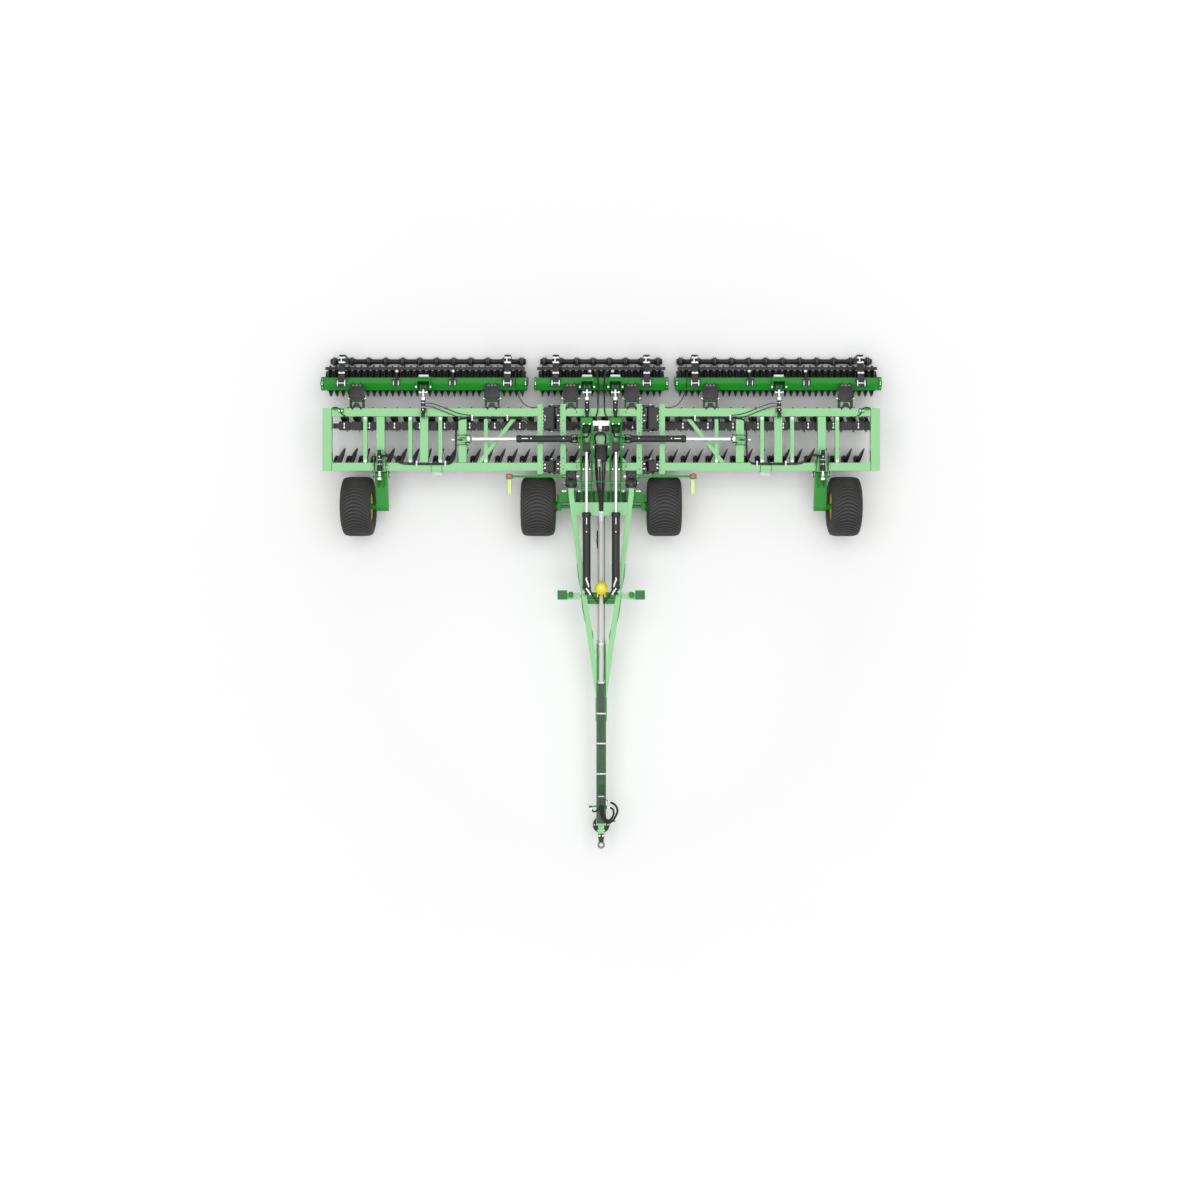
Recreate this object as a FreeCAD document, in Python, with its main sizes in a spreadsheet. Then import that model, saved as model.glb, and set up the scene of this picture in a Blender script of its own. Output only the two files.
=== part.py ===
import FreeCAD, Part

import math
import os
import re
import Sketcher

from FreeCAD import Placement, Rotation, Vector

# Towed high-speed disc harrow, working position, millimetres.
# X runs across the machine, Y from the drawbar (front, -Y) to the rollers, Z up.
# The origin is on the ground, in the middle of the machine's plan.

SIZES = {
    # Frame tubes
    "frame_half": 5530.0,
    "tube_side": 160.0,
    "frame_base": 770.0,
    "front_y": 2687.0,
    "rear_y": 3767.0,
    "end_width": 180.0,
    "brace_width": 76.0,
    "brace_height": 130.0,
    "beam_width": 110.0,
    "beam_front": 2530.0,
    "beam_rear": 3935.0,
    "cross_height": 150.0,
    "cross_inner": 2753.0,
    "brace_fold": 2291.0,
    "brace_in": 319.0,
    "brace_mid": 278.0,
    "brace_out": 308.0,
    "brace_foot": 2480.0,
    "brace_head": 1640.0,
    # Wing fold hinges
    "fold_x": 981.0,
    "lug_wall": 30.0,
    "hinge_root": 176.0,
    "fold_gap": 6.0,
    "knuckle_front": 198.0,
    "knuckle_rear": 428.0,
    "rear_hinge_y": 3655.0,
    "hinge_pin": 35.0,
    "pin_head": 12.0,
    "pin_play": 0.3,
    "rim_reach": 16.0,
    # Centre frame
    "mid_y": 3264.0,
    "mid_half": 500.0,
    "side_x": 755.0,
    # Frame tilt hinge on the drawbar
    "tilt_y": 2369.0,
    "tilt_z": 900.0,
    "leg_x": 597.0,
    "leg_width": 105.0,
    "leg_height": 200.0,
    "tilt_pin": 40.0,
    "tilt_eye": 95.0,
    "tilt_lug": 28.0,
    "tilt_gap": 6.0,
    # Towers for the tilt cylinders
    "tower_x": 288.0,
    "tower_gap": 176.0,
    "tower_wall": 25.0,
    "tower_pin_y": 3030.0,
    "tower_pin_z": 1450.0,
    "tower_back": 150.0,
    "tower_front": 70.0,
    "tower_crown": 48.0,
    "tower_neck": 250.0,
    "tower_toe": 100.0,
    "tower_step": 60.0,
    "tower_heel": 130.0,
    "tower_boss": 80.0,
    # Transport axle
    "axle_half": 880.0,
    "axle_front": 1986.0,
    "axle_rear": 2226.0,
    "axle_low": 480.0,
    "axle_high": 720.0,
    "axle_chamfer": 90.0,
    "axle_wall": 80.0,
    "axle_drop": 100.0,
    "axle_tube": 38.0,
    # Wheels
    "tyre_radius": 595.0,
    "tyre_width": 620.0,
    "transport_width": 686.0,
    "rim_radius": 286.0,
    "bead_inset": 60.0,
    "rim_wall": 14.0,
    "hub_radius": 105.0,
    "hub_length": 150.0,
    "spindle": 60.0,
    "spindle_end": 20.0,
    "wheel_y": 1916.0,
    "transport_x": 1259.0,
    "wheel_inset": 665.0,
    # Wing wheel arms
    "arm_offset": 485.0,
    "arm_nose": 90.0,
    "lever_foot": 260.0,
    "arm_width": 240.0,
    "arm_y": 2540.0,
    "arm_z": 800.0,
    "arm_lug": 24.0,
    "arm_lift": 15.0,
    "arm_pin": 35.0,
    "arm_eye": 60.0,
    "lever_y": 2440.0,
    "lever_eye": 40.0,
    "lever_z": 1050.0,
    "lift_base_y": 2970.0,
    "lift_base_z": 1060.0,
    # Discs
    "disc_radius": 255.0,
    "disc_wall": 7.0,
    "disc_dish": 42.0,
    "disc_z": 270.0,
    "disc_count": 43.0,
    "disc_margin": 217.5,
    "disc_angle": 22.0,
    "front_disc_y": 2900.0,
    "rear_disc_y": 3690.0,
    "disc_hub": 52.0,
    "hub_reach": 50.0,
    "arm_wall": 30.0,
    "blade_half": 45.0,
    "blade_skew": 12.0,
    "front_knee": 195.0,
    "rear_knee": 85.0,
    "gang_y": 3518.0,
    "gang_side": 100.0,
    "gang_block": 160.0,
    "block_width": 215.0,
    "gang_end": 1045.0,
    # Drawbar
    "leg_bend_y": 2150.0,
    "leg_mid_x": 352.0,
    "leg_mid_y": 200.0,
    "leg_mid_z": 850.0,
    "leg_tip_x": 50.0,
    "leg_tip_y": -1900.0,
    "leg_tip_z": 700.0,
    "bar_width": 200.0,
    "bar_start_y": -760.0,
    "bar_end_y": -4470.0,
    "bar_end_z": 516.0,
    "bar_height": 200.0,
    "cross_inset": 20.0,
    "cross_y": 1845.0,
    "cross_depth": 260.0,
    "member_y": 120.0,
    "tie_y": 0.0,
    "tie_depth": 70.0,
    "member_depth": 130.0,
    "member_low": 780.0,
    "member_high": 920.0,
    "tilt_base_y": 205.0,
    "tilt_base_z": 1050.0,
    "rest_x": 765.0,
    "rest_y": 145.0,
    "rest_half": 95.0,
    "rest_cap": 25.0,
    "rest_depth": 170.0,
    "rest_pad": 30.0,
    "rest_gap": 6.0,
    "pad_x": 3268.0,
    "eye_y": -4880.0,
    "eye_z": 500.0,
    "eye_radius": 76.0,
    "eye_bore": 36.0,
    "eye_height": 60.0,
    "neck_root": 60.0,
    "neck_width": 120.0,
    "jack_y": -4540.0,
    "foot_radius": 170.0,
    "foot_height": 25.0,
    "jack_radius": 45.0,
    # Tilt, fold, lift and roller cylinders
    "tilt_bore": 80.0,
    "tilt_barrel": 1565.0,
    "tilt_rod": 30.0,
    "fold_base_x": 520.0,
    "fold_base_z": 1150.0,
    "fold_pin_x": 2620.0,
    "fold_pin_z": 1120.0,
    "fold_y": 3220.0,
    "fold_bore": 65.0,
    "fold_barrel": 1140.0,
    "fold_eye": 60.0,
    "fold_foot": 120.0,
    "tilt_clevis": 60.0,
    "small_eye": 50.0,
    "tang_gap": 14.0,
    "fold_rod": 35.0,
    "small_bore": 45.0,
    "small_rod": 24.0,
    "lift_barrel": 370.0,
    "press_barrel": 355.0,
    "rod_play": 1.0,
    "pin_radius": 18.0,
    "eye_half": 35.0,
    "clevis_gap": 6.0,
    "clevis_foot": 50.0,
    "clevis_head": 8.0,
    "clevis_wall": 20.0,
    # Rollers
    "roller_hinge_y": 4052.0,
    "roller_hinge_z": 850.0,
    "roller_lug": 28.0,
    "knuckle_half": 60.0,
    "roller_eye": 75.0,
    "roller_pin": 30.0,
    "bracket_half": 105.0,
    "bracket_inset": 677.0,
    "wing_bracket_in": 2168.0,
    "centre_bracket": 606.0,
    "roller_beam_y": 4350.0,
    "roller_beam_z": 760.0,
    "roller_beam": 180.0,
    "roller_beam_in": 1475.0,
    "beam_overhang": 50.0,
    "roller_beam_centre": 1340.0,
    "roller_y": 4468.0,
    "roller_z": 315.0,
    "ring_radius": 315.0,
    "ring_core": 215.0,
    "ring_pitch": 125.0,
    "ring_inset": 45.0,
    "ring_outset": 70.0,
    "centre_inset": 90.0,
    "hanger_half": 90.0,
    "hanger_toe": 40.0,
    "hanger_wall": 25.0,
    "roller_shaft": 45.0,
    "press_centre_x": 280.0,
    "press_base_y": 3700.0,
    "press_z": 1080.0,
    "press_pin_y": 4250.0,
    # Rear crumbler baskets
    "basket_y": 4890.0,
    "basket_z": 100.0,
    "basket_radius": 95.0,
    "basket_shaft": 22.0,
    "basket_tube": 48.0,
    "basket_ring": 16.0,
    "basket_pitch": 255.0,
    "arm_rise": 90.0,
    "arm_foot": 30.0,
    "basket_arm": 40.0,
    "arm_thickness": 110.0,
    "arm_reach": 1650.0,
    "arm_centre": 905.0,
    # Lamps, manifold, hoses
    "lamp_y": 2488.0,
    "lamp_z": 1010.0,
    "lamp_x": 1814.0,
    "lamp_bar": 40.0,
    "case_inner": 60.0,
    "case_outer": 70.0,
    "case_half": 45.0,
    "case_height": 150.0,
    "strip_lift": 30.0,
    "strip_wall": 18.0,
    "strip_width": 90.0,
    "strip_reach": 340.0,
    "shelf_front": 130.0,
    "shelf_rear": 170.0,
    "shelf_z": 940.0,
    "shelf_wall": 15.0,
    "block_half": 150.0,
    "block_height": 115.0,
    "sphere_radius": 128.0,
    "plate_reach": 70.0,
    "plate_wall": 16.0,
    "plate_inset": 20.0,
    "sphere_y": 278.0,
    "sphere_z": 1180.0,
    "hose_radius": 15.0,
    "hose_step": 33.0,
    "hose_count": 5.0,
    "conduit_radius": 38.0,
    "conduit_end_y": -1600.0,
    "conduit_gap": 8.0,
    "conduit_seat": 1.6,
}

# Places that follow other sizes
FOLLOWING = {
    "wing_wheel_x": "frame_half - wheel_inset",
    "arm_x": "wing_wheel_x - arm_offset",
    "disc_first": "frame_half - disc_margin",
    "disc_pitch": "disc_first * 2 / (disc_count - 0.5)",
    "wing_bracket_out": "frame_half - bracket_inset",
    "roller_beam_out": "frame_half + beam_overhang",
    "roller_in": "roller_beam_in + ring_inset",
    "roller_out": "roller_beam_out - ring_outset",
    "roller_centre": "roller_beam_centre - centre_inset",
    "press_x": "(roller_in + roller_out) / 2",
    "arm_out": "press_x + arm_reach",
    "arm_in": "press_x - arm_reach",
}

HALF = 0.5
SIDES = {"left": -1, "right": 1}
AXES = {"x": Vector(1, 0, 0), "y": Vector(0, 1, 0), "z": Vector(0, 0, 1)}
# The turn that lays a cylinder's or a sketch's normal along each axis
NORMALS = {
    "x": Rotation(Vector(1, 1, 1), 120),
    "y": Rotation(Vector(1, 0, 0), -90),
    "z": Rotation(),
}
# A plate's outline is drawn in the plane across its axis: "x" in Y-Z, "y" in X-Z, "z" in X-Y
OUTLINES = {
    "x": Rotation(Vector(1, 1, 1), 120),
    "y": Rotation(Vector(1, 0, 0), 90),
    "z": Rotation(),
}

doc = FreeCAD.newDocument("DiscHarrow")
sheet = doc.addObject("Spreadsheet::Sheet", "Sizes")
places = doc.addObject("App::VarSet", "Places")
nodes = []


def fill_sheet():
    """Write every driving size into its own aliased cell, and bind the places that follow."""
    for row, (name, value) in enumerate(SIZES.items(), start=1):
        sheet.set("A" + str(row), name)
        sheet.set("B" + str(row), str(value))
        sheet.setAlias("B" + str(row), name)
    doc.recompute()
    for name, expression in FOLLOWING.items():
        places.addProperty("App::PropertyFloat", name)
        places.setExpression(name, bound(expression))
    doc.recompute()


def read(name):
    """A size as a plain number, for the shapes that no feature makes."""
    return float(getattr(places, name) if name in FOLLOWING else sheet.get(name))


def bound(expression):
    """The expression with each size's name pointed at its cell or its bound place."""
    def cell(word):
        holder = "Sizes." if word.group() in SIZES else "Places." if word.group() in FOLLOWING else ""
        return holder + word.group()
    return re.sub(r"[a-z]+(?:_[a-z]+)*", cell, str(expression))


def flip(sign, expression):
    """A place across the machine, mirrored for the left side."""
    return str(expression) if sign > 0 else "-(" + str(expression) + ")"


def across(sign, inner, outer):
    """A span across the machine from inner to outer, mirrored for the left side."""
    low, high = (inner, outer) if sign > 0 else (flip(-1, outer), flip(-1, inner))
    return (low, high)


def about(middle, half):
    """A span of half either side of its middle."""
    return ("(" + str(middle) + ") - (" + str(half) + ")", "(" + str(middle) + ") + (" + str(half) + ")")


def box(name, x, y, z):
    """A block between the low and high ends of three spans."""
    solid = doc.addObject("Part::Box", name)
    for side, axis, (low, high) in zip(("Length", "Width", "Height"), "xyz", (x, y, z)):
        solid.setExpression(side, bound("(" + str(high) + ") - (" + str(low) + ")"))
        solid.setExpression("Placement.Base." + axis, bound(low))
    return solid


def bar(name, axis, radius, span, centre):
    """A round bar along an axis over its span; centre gives its other two coordinates."""
    solid = doc.addObject("Part::Cylinder", name)
    solid.Placement = Placement(Vector(), NORMALS[axis])
    solid.setExpression("Radius", bound(radius))
    low, high = span
    solid.setExpression("Height", bound("(" + str(high) + ") - (" + str(low) + ")"))
    others = [letter for letter in "xyz" if letter != axis]
    solid.setExpression("Placement.Base." + axis, bound(low))
    for letter, place in zip(others, centre):
        solid.setExpression("Placement.Base." + letter, bound(place))
    return solid


def draw(sketch, points):
    """A closed outline through points, each held to its place by the sheet."""
    count = len(points)
    for number in range(count):
        angle = 2 * math.pi * number / count
        after = 2 * math.pi * (number + 1) / count
        start = Vector(100 * math.cos(angle), 100 * math.sin(angle), 0)
        end = Vector(100 * math.cos(after), 100 * math.sin(after), 0)
        sketch.addGeometry(Part.LineSegment(start, end))
    for number in range(count):
        sketch.addConstraint(Sketcher.Constraint("Coincident", number, 2, (number + 1) % count, 1))
    for number, (along, up) in enumerate(points):
        for kind, place in (("DistanceX", along), ("DistanceY", up)):
            held = sketch.addConstraint(Sketcher.Constraint(kind, -1, 1, number, 1, 1.0))
            sketch.setExpression("Constraints[" + str(held) + "]", bound(place))


def plate(name, axis, points, span):
    """A plate with a drawn outline, laid across an axis over its span."""
    sketch = doc.addObject("Sketcher::SketchObject", name + "_outline")
    draw(sketch, points)
    sketch.Placement = Placement(Vector(), OUTLINES[axis])
    low, high = span
    sketch.setExpression("Placement.Base." + axis, bound(low))
    solid = doc.addObject("Part::Extrusion", name)
    solid.Base = sketch
    solid.DirMode = "Custom"
    solid.Dir = AXES[axis]
    solid.Solid = True
    solid.setExpression("LengthFwd", bound("(" + str(high) + ") - (" + str(low) + ")"))
    return solid


def fuse(name, pieces):
    """One solid from pieces that meet."""
    joined = doc.addObject("Part::MultiFuse", name)
    joined.Shapes = pieces
    return joined


def cut(name, base, tool):
    """The base with the tool taken away."""
    result = doc.addObject("Part::Cut", name)
    result.Base = base
    result.Tool = tool
    return result


def group(name, pieces):
    """Like pieces that don't touch, kept as one sub-part."""
    together = doc.addObject("Part::Compound", name)
    together.Links = pieces
    return together


def node(label, solid):
    """Name a finished sub-part; its label is its file's name."""
    solid.Label = label
    nodes.append(solid)
    return solid


def bored(name, solid, axis, radius, span, centre):
    """The solid with a round hole along an axis."""
    return cut(name, solid, bar(name + "_bore", axis, radius, span, centre))


def beam(name, start, end, width, height):
    """A skew box beam between two points, its sides upright."""
    run = end - start
    solid = Part.makeBox(run.Length, width, height, Vector(0, -width * HALF, -height * HALF))
    flat = math.degrees(math.atan2(run.y, run.x))
    rise = math.degrees(math.asin(run.z / run.Length))
    turn = Rotation(Vector(0, 0, 1), flat).multiply(Rotation(Vector(0, 1, 0), -rise))
    feature = doc.addObject("Part::Feature", name)
    feature.Shape = solid
    feature.Placement = Placement(start, turn)
    return feature


def pole(name, start, end, radius):
    """A skew round bar between two points."""
    run = end - start
    feature = doc.addObject("Part::Feature", name)
    feature.Shape = Part.makeCylinder(radius, run.Length)
    feature.Placement = Placement(start, Rotation(Vector(0, 0, 1), run))
    return feature


def mirrored_point(sign, x, y, z):
    """A point on one side of the machine."""
    return Vector(sign * x, y, z)


def turned_body(name, points):
    """A body turned about its own X axis from an outline of (along, radius) points."""
    body = doc.addObject("PartDesign::Body", name)
    sketch = body.newObject("Sketcher::SketchObject", name + "_section")
    planes = {plane.Role: plane for plane in body.Origin.OriginFeatures}
    sketch.AttachmentSupport = [(planes["XZ_Plane"], "")]
    sketch.MapMode = "FlatFace"
    draw(sketch, points)
    turning = body.newObject("PartDesign::Revolution", name + "_turning")
    turning.Profile = sketch
    turning.ReferenceAxis = (sketch, ["H_Axis"])
    turning.Angle = 360.0
    body.Tip = turning
    return body, sketch, turning, planes


def place(solid, x, y, z):
    """Bind a sub-part's place to the sheet."""
    for axis, where in zip("xyz", (x, y, z)):
        solid.setExpression("Placement.Base." + axis, bound(where))


def row_of(body, feature, direction, step, count):
    """Repeat a body's feature along a direction, count times a step apart."""
    pattern = body.newObject("PartDesign::LinearPattern", body.Name + "_row")
    pattern.Originals = [feature]
    pattern.Direction = (direction, [""])
    pattern.setExpression("Length", bound("(" + str(step) + ") * (" + str(count) + " - 1)"))
    pattern.setExpression("Occurrences", bound(count))
    body.Tip = pattern
    return pattern


FRAME_Z = ("frame_base", "frame_base + tube_side")
FRAME_MID = "frame_base + tube_side / 2"


# --- Centre frame -----------------------------------------------------------

def centre_frame():
    """Tubes that meet face to face between two side beams, and the lugs that stand on them."""
    inner = "side_x - beam_width / 2"
    eye = "eye_half + clevis_gap"
    middle = [box("centre_mid", about(0, "mid_half"), about("mid_y", "tube_side / 2"), FRAME_Z)]
    pieces = [
        box("centre_front", about(0, inner), about("front_y", "tube_side / 2"), FRAME_Z),
        box("centre_rear", about(0, inner), about("rear_y", "tube_side / 2"), FRAME_Z),
    ]
    for side, sign in SIDES.items():
        pieces.append(box("side_beam_" + side, about(flip(sign, "side_x"), "beam_width / 2"),
                          ("beam_front", "beam_rear"), FRAME_Z))
        middle.append(box("mid_tie_" + side, across(sign, "mid_half", inner),
                          about("mid_y", "tube_side / 4"), about(FRAME_MID, "tube_side / 4")))
        for edge in (-1, 1):
            span = about("fold_y + " + str(edge) + " * (" + eye + " + clevis_wall / 2)", "clevis_wall / 2")
            middle.append(box("fold_anchor_" + side + str(edge + 1),
                              about(flip(sign, "fold_base_x"), "clevis_foot"), span, (FRAME_MID, "fold_base_z")))
            middle.append(bar("fold_anchor_eye_" + side + str(edge + 1), "y", "fold_eye", span,
                              (flip(sign, "fold_base_x"), "fold_base_z")))
        middle.append(bar("fold_base_pin_" + side, "y", "pin_radius", about("fold_y", eye + " + clevis_wall + clevis_head"),
                          (flip(sign, "fold_base_x"), "fold_base_z")))
        pieces.append(tilt_lugs(side, sign))
        pieces.append(roller_lugs("centre_" + side, flip(sign, "centre_bracket")))
        pieces.append(press_clevis("centre_" + side, flip(sign, "press_centre_x")))
    pieces.append(fuse("CentreMid", middle))
    return node("centre_frame", group("CentreFrame", pieces))


def tilt_lugs(side, sign):
    """Two plates forward of the front tube that hold the tilt hinge pin."""
    reach = "leg_width / 2 + tilt_gap"
    plates = []
    for edge in (-1, 1):
        middle = flip(sign, "leg_x") + " + " + str(edge) + " * (" + reach + " + tilt_lug / 2)"
        span = about(middle, "tilt_lug / 2")
        name = "tilt_lug_" + side + str(edge + 1)
        plates.append(box(name, span, ("tilt_y", "front_y - tube_side / 2"), about("tilt_z", "tilt_eye * 0.72")))
        plates.append(bar(name + "_eye", "x", "tilt_eye", span, ("tilt_y", "tilt_z")))
    pin = about(flip(sign, "leg_x"), reach + " + tilt_lug + pin_head")
    plates.append(bar("tilt_pin_" + side, "x", "tilt_pin", pin, ("tilt_y", "tilt_z")))
    return fuse("TiltLugs_" + side, plates)


def roller_lugs(name, middle):
    """Two plates behind a rear tube with a roller frame's hinge pin."""
    plates = []
    for edge in (-1, 1):
        centre = "(" + middle + ") + " + str(edge) + " * (bracket_half + fold_gap + roller_lug / 2)"
        span = about(centre, "roller_lug / 2")
        label = "roller_lug_" + name + str(edge + 1)
        plates.append(box(label, span, ("rear_y + tube_side / 2", "roller_hinge_y"),
                          about("roller_hinge_z", "roller_eye")))
        plates.append(bar(label + "_eye", "x", "roller_eye", span, ("roller_hinge_y", "roller_hinge_z")))
    span = about(middle, "bracket_half + fold_gap + roller_lug + pin_head")
    plates.append(bar("roller_pin_" + name, "x", "roller_pin", span, ("roller_hinge_y", "roller_hinge_z")))
    return fuse("RollerLugs_" + name, plates)


def press_clevis(name, middle):
    """The plates on a rear tube that hold a roller cylinder's base."""
    plates = []
    for edge in (-1, 1):
        centre = "(" + middle + ") + " + str(edge) + " * (eye_half + clevis_gap + clevis_wall / 2)"
        span = about(centre, "clevis_wall / 2")
        label = "press_clevis_" + name + str(edge + 1)
        plates.append(box(label, span, about("press_base_y", "clevis_foot"), (FRAME_Z[1], "press_z")))
        plates.append(bar(label + "_eye", "x", "small_eye", span, ("press_base_y", "press_z")))
    span = about(middle, "eye_half + clevis_gap + clevis_wall + clevis_head")
    plates.append(bar("press_pin_" + name, "x", "pin_radius", span, ("press_base_y", "press_z")))
    return fuse("PressClevis_" + name, plates)


def hinge_lugs():
    """The four black lug blocks, with their pins, that carry the wings."""
    blocks = []
    for side, sign in SIDES.items():
        for end, hinge_y, length in (("front", "front_y + 8", "knuckle_front"),
                                     ("rear", "rear_hinge_y", "knuckle_rear")):
            name = "lug_" + side + "_" + end
            root = "side_x + beam_width / 2"
            half = "(" + length + ") / 2 + fold_gap"
            pieces = [box(name + "_block",
                          across(sign, root, "fold_x - tube_side / 2 - rim_reach"),
                          about(hinge_y, half), FRAME_Z)]
            for edge in (-1, 1):
                centre = hinge_y + " + " + str(edge) + " * (" + half + " + lug_wall / 2)"
                span = about(centre, "lug_wall / 2")
                pieces.append(box(name + "_plate" + str(edge + 1), across(sign, root, "fold_x"),
                                  span, FRAME_Z))
                pieces.append(bar(name + "_eye" + str(edge + 1), "y", "tube_side / 2", span,
                                  (flip(sign, "fold_x"), FRAME_MID)))
            pieces.append(bar(name + "_pin", "y", "hinge_pin", about(hinge_y, half + " + lug_wall + pin_head"),
                              (flip(sign, "fold_x"), FRAME_MID)))
            blocks.append(fuse("Lug_" + side + "_" + end, pieces))
    return node("hinge_lugs", group("HingeLugs", blocks))


def tilt_towers():
    """Two pairs of tall plates from the rear tube over the frame to the transport axle."""
    towers = []
    profile = [
        ("rear_y - tube_side / 2", FRAME_Z[1]),
        ("tower_pin_y + tower_back", "tower_pin_z + tower_crown"),
        ("tower_pin_y - tower_front", "tower_pin_z + tower_crown"),
        ("tilt_y + tower_neck", "tilt_z + tilt_eye * 2"),
        ("tilt_y - tower_toe", "tilt_z - tower_wall"),
        ("axle_front + tower_step", "axle_high"),
        ("axle_rear + tower_step", "axle_high"),
        ("tilt_y + tower_heel", "tilt_z - tower_front"),
        ("front_y - tube_side / 2", FRAME_Z[1]),
    ]
    for side, sign in SIDES.items():
        for edge in (-1, 1):
            centre = flip(sign, "tower_x") + " + " + str(edge) + " * (tower_gap + tower_wall) / 2"
            span = about(centre, "tower_wall / 2")
            name = "tower_" + side + str(edge + 1)
            towers.append(fuse("Tower_" + side + str(edge + 1), [
                plate(name, "x", profile, span),
                bar(name + "_boss", "x", "tower_boss",
                    about(centre + " + " + str(edge) + " * 8", "tower_wall / 2 + 8"),
                    ("tower_pin_y", "tower_pin_z")),
            ]))
    return node("tilt_towers", group("TiltTowers", towers))


def transport_axle():
    """The rigid axle box with a drop plate and a spindle at each end."""
    corner = "axle_half - axle_chamfer"
    pieces = [
        plate("axle_box", "z", [
            ("-axle_half", "axle_front"), ("axle_half", "axle_front"), ("axle_half", "axle_rear - axle_chamfer"),
            (corner, "axle_rear"), ("-(" + corner + ")", "axle_rear"), ("-axle_half", "axle_rear - axle_chamfer"),
        ], ("axle_low", "axle_high")),
        bar("axle_tube", "x", "axle_tube", about(0, "axle_half - axle_wall / 2"), ("wheel_y", "tyre_radius")),
    ]
    for side, sign in SIDES.items():
        pieces.append(box("axle_plate_" + side, across(sign, "axle_half - axle_wall", "axle_half"),
                          ("wheel_y - axle_wall", "axle_rear - axle_chamfer"), about("tyre_radius", "axle_drop")))
        pieces.append(bar("axle_spindle_" + side, "x", "spindle",
                          across(sign, "axle_half - axle_wall / 2", "transport_x + hub_length / 2 + spindle_end"),
                          ("wheel_y", "tyre_radius")))
    return node("transport_axle", fuse("TransportAxle", pieces))


def manifold():
    """Valve block on its plate between the towers."""
    inner = "tower_x - tower_gap / 2 - tower_wall"
    pieces = [
        box("manifold_shelf", about(0, inner), ("mid_y + shelf_front", "rear_y - shelf_rear"), ("shelf_z", "shelf_z + shelf_wall")),
        box("manifold_block", about("-shelf_wall", "block_half"), ("mid_y + shelf_front + 2 * shelf_wall", "rear_y - shelf_rear - 2 * shelf_wall"),
            ("shelf_z + shelf_wall", "shelf_z + shelf_wall + block_height")),
    ]
    return node("manifold", fuse("Manifold", pieces))


def lamp_bars():
    """Outrigger bars from the centre frame's front corners, each with its lamp board."""
    arms = []
    for side, sign in SIDES.items():
        pieces = [
            box("lamp_post_" + side, about(flip(sign, "side_x"), "lamp_bar"),
                ("lamp_y - lamp_bar / 2", "beam_front"), ("frame_base + lamp_bar / 2", "lamp_z + lamp_bar / 2")),
            box("lamp_arm_" + side, across(sign, "side_x", "lamp_x"),
                about("lamp_y", "lamp_bar / 2"), about("lamp_z", "lamp_bar / 2")),
            box("lamp_case_" + side, across(sign, "lamp_x - case_inner", "lamp_x + case_outer"),
                about("lamp_y", "case_half"), about("lamp_z", "case_height / 2")),
            box("lamp_strip_" + side, about(flip(sign, "lamp_x"), "strip_width / 2"),
                ("lamp_y - strip_reach", "lamp_y - case_half"), about("lamp_z + strip_lift", "strip_wall / 2")),
        ]
        arms.append(fuse("LampBar_" + side, pieces))
    return node("lamp_bars", group("LampBars", arms))


# --- Discs -------------------------------------------------------------------

def disc_row(name, first_x, row_y, count, facing):
    """A row of dished discs with their hubs; facing is +1 where the hollow side looks to +X."""
    side = str(facing)
    rim = "disc_radius"
    points = [
        (side + " * disc_dish", rim),
        (side + " * (disc_dish - disc_wall)", rim),
        (side + " * (disc_dish * 0.45 - disc_wall)", rim + " * 0.7"),
        (side + " * (disc_dish * 0.11 - disc_wall)", rim + " * 0.35"),
        (side + " * (-disc_wall)", "disc_hub"),
        (side + " * (-disc_wall)", "0"),
        (side + " * (disc_wall * 2)", "0"),
        (side + " * (disc_wall * 2)", "disc_hub * 0.8"),
        (side + " * (disc_wall * 0.3)", "disc_hub"),
        (side + " * (disc_dish * 0.11)", rim + " * 0.35"),
        (side + " * (disc_dish * 0.45)", rim + " * 0.7"),
    ]
    body, sketch, turning, planes = turned_body(name, points)
    skew = Rotation(Vector(0, -facing, 0), read("disc_angle"))
    sketch.AttachmentOffset = Placement(Vector(), skew)
    sketch.setExpression("AttachmentOffset.Rotation.Angle", bound("disc_angle"))
    body.AllowCompound = True
    row_of(body, turning, planes["X_Axis"], "disc_pitch", count)
    place(body, first_x, row_y, "disc_z")
    return body


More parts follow.
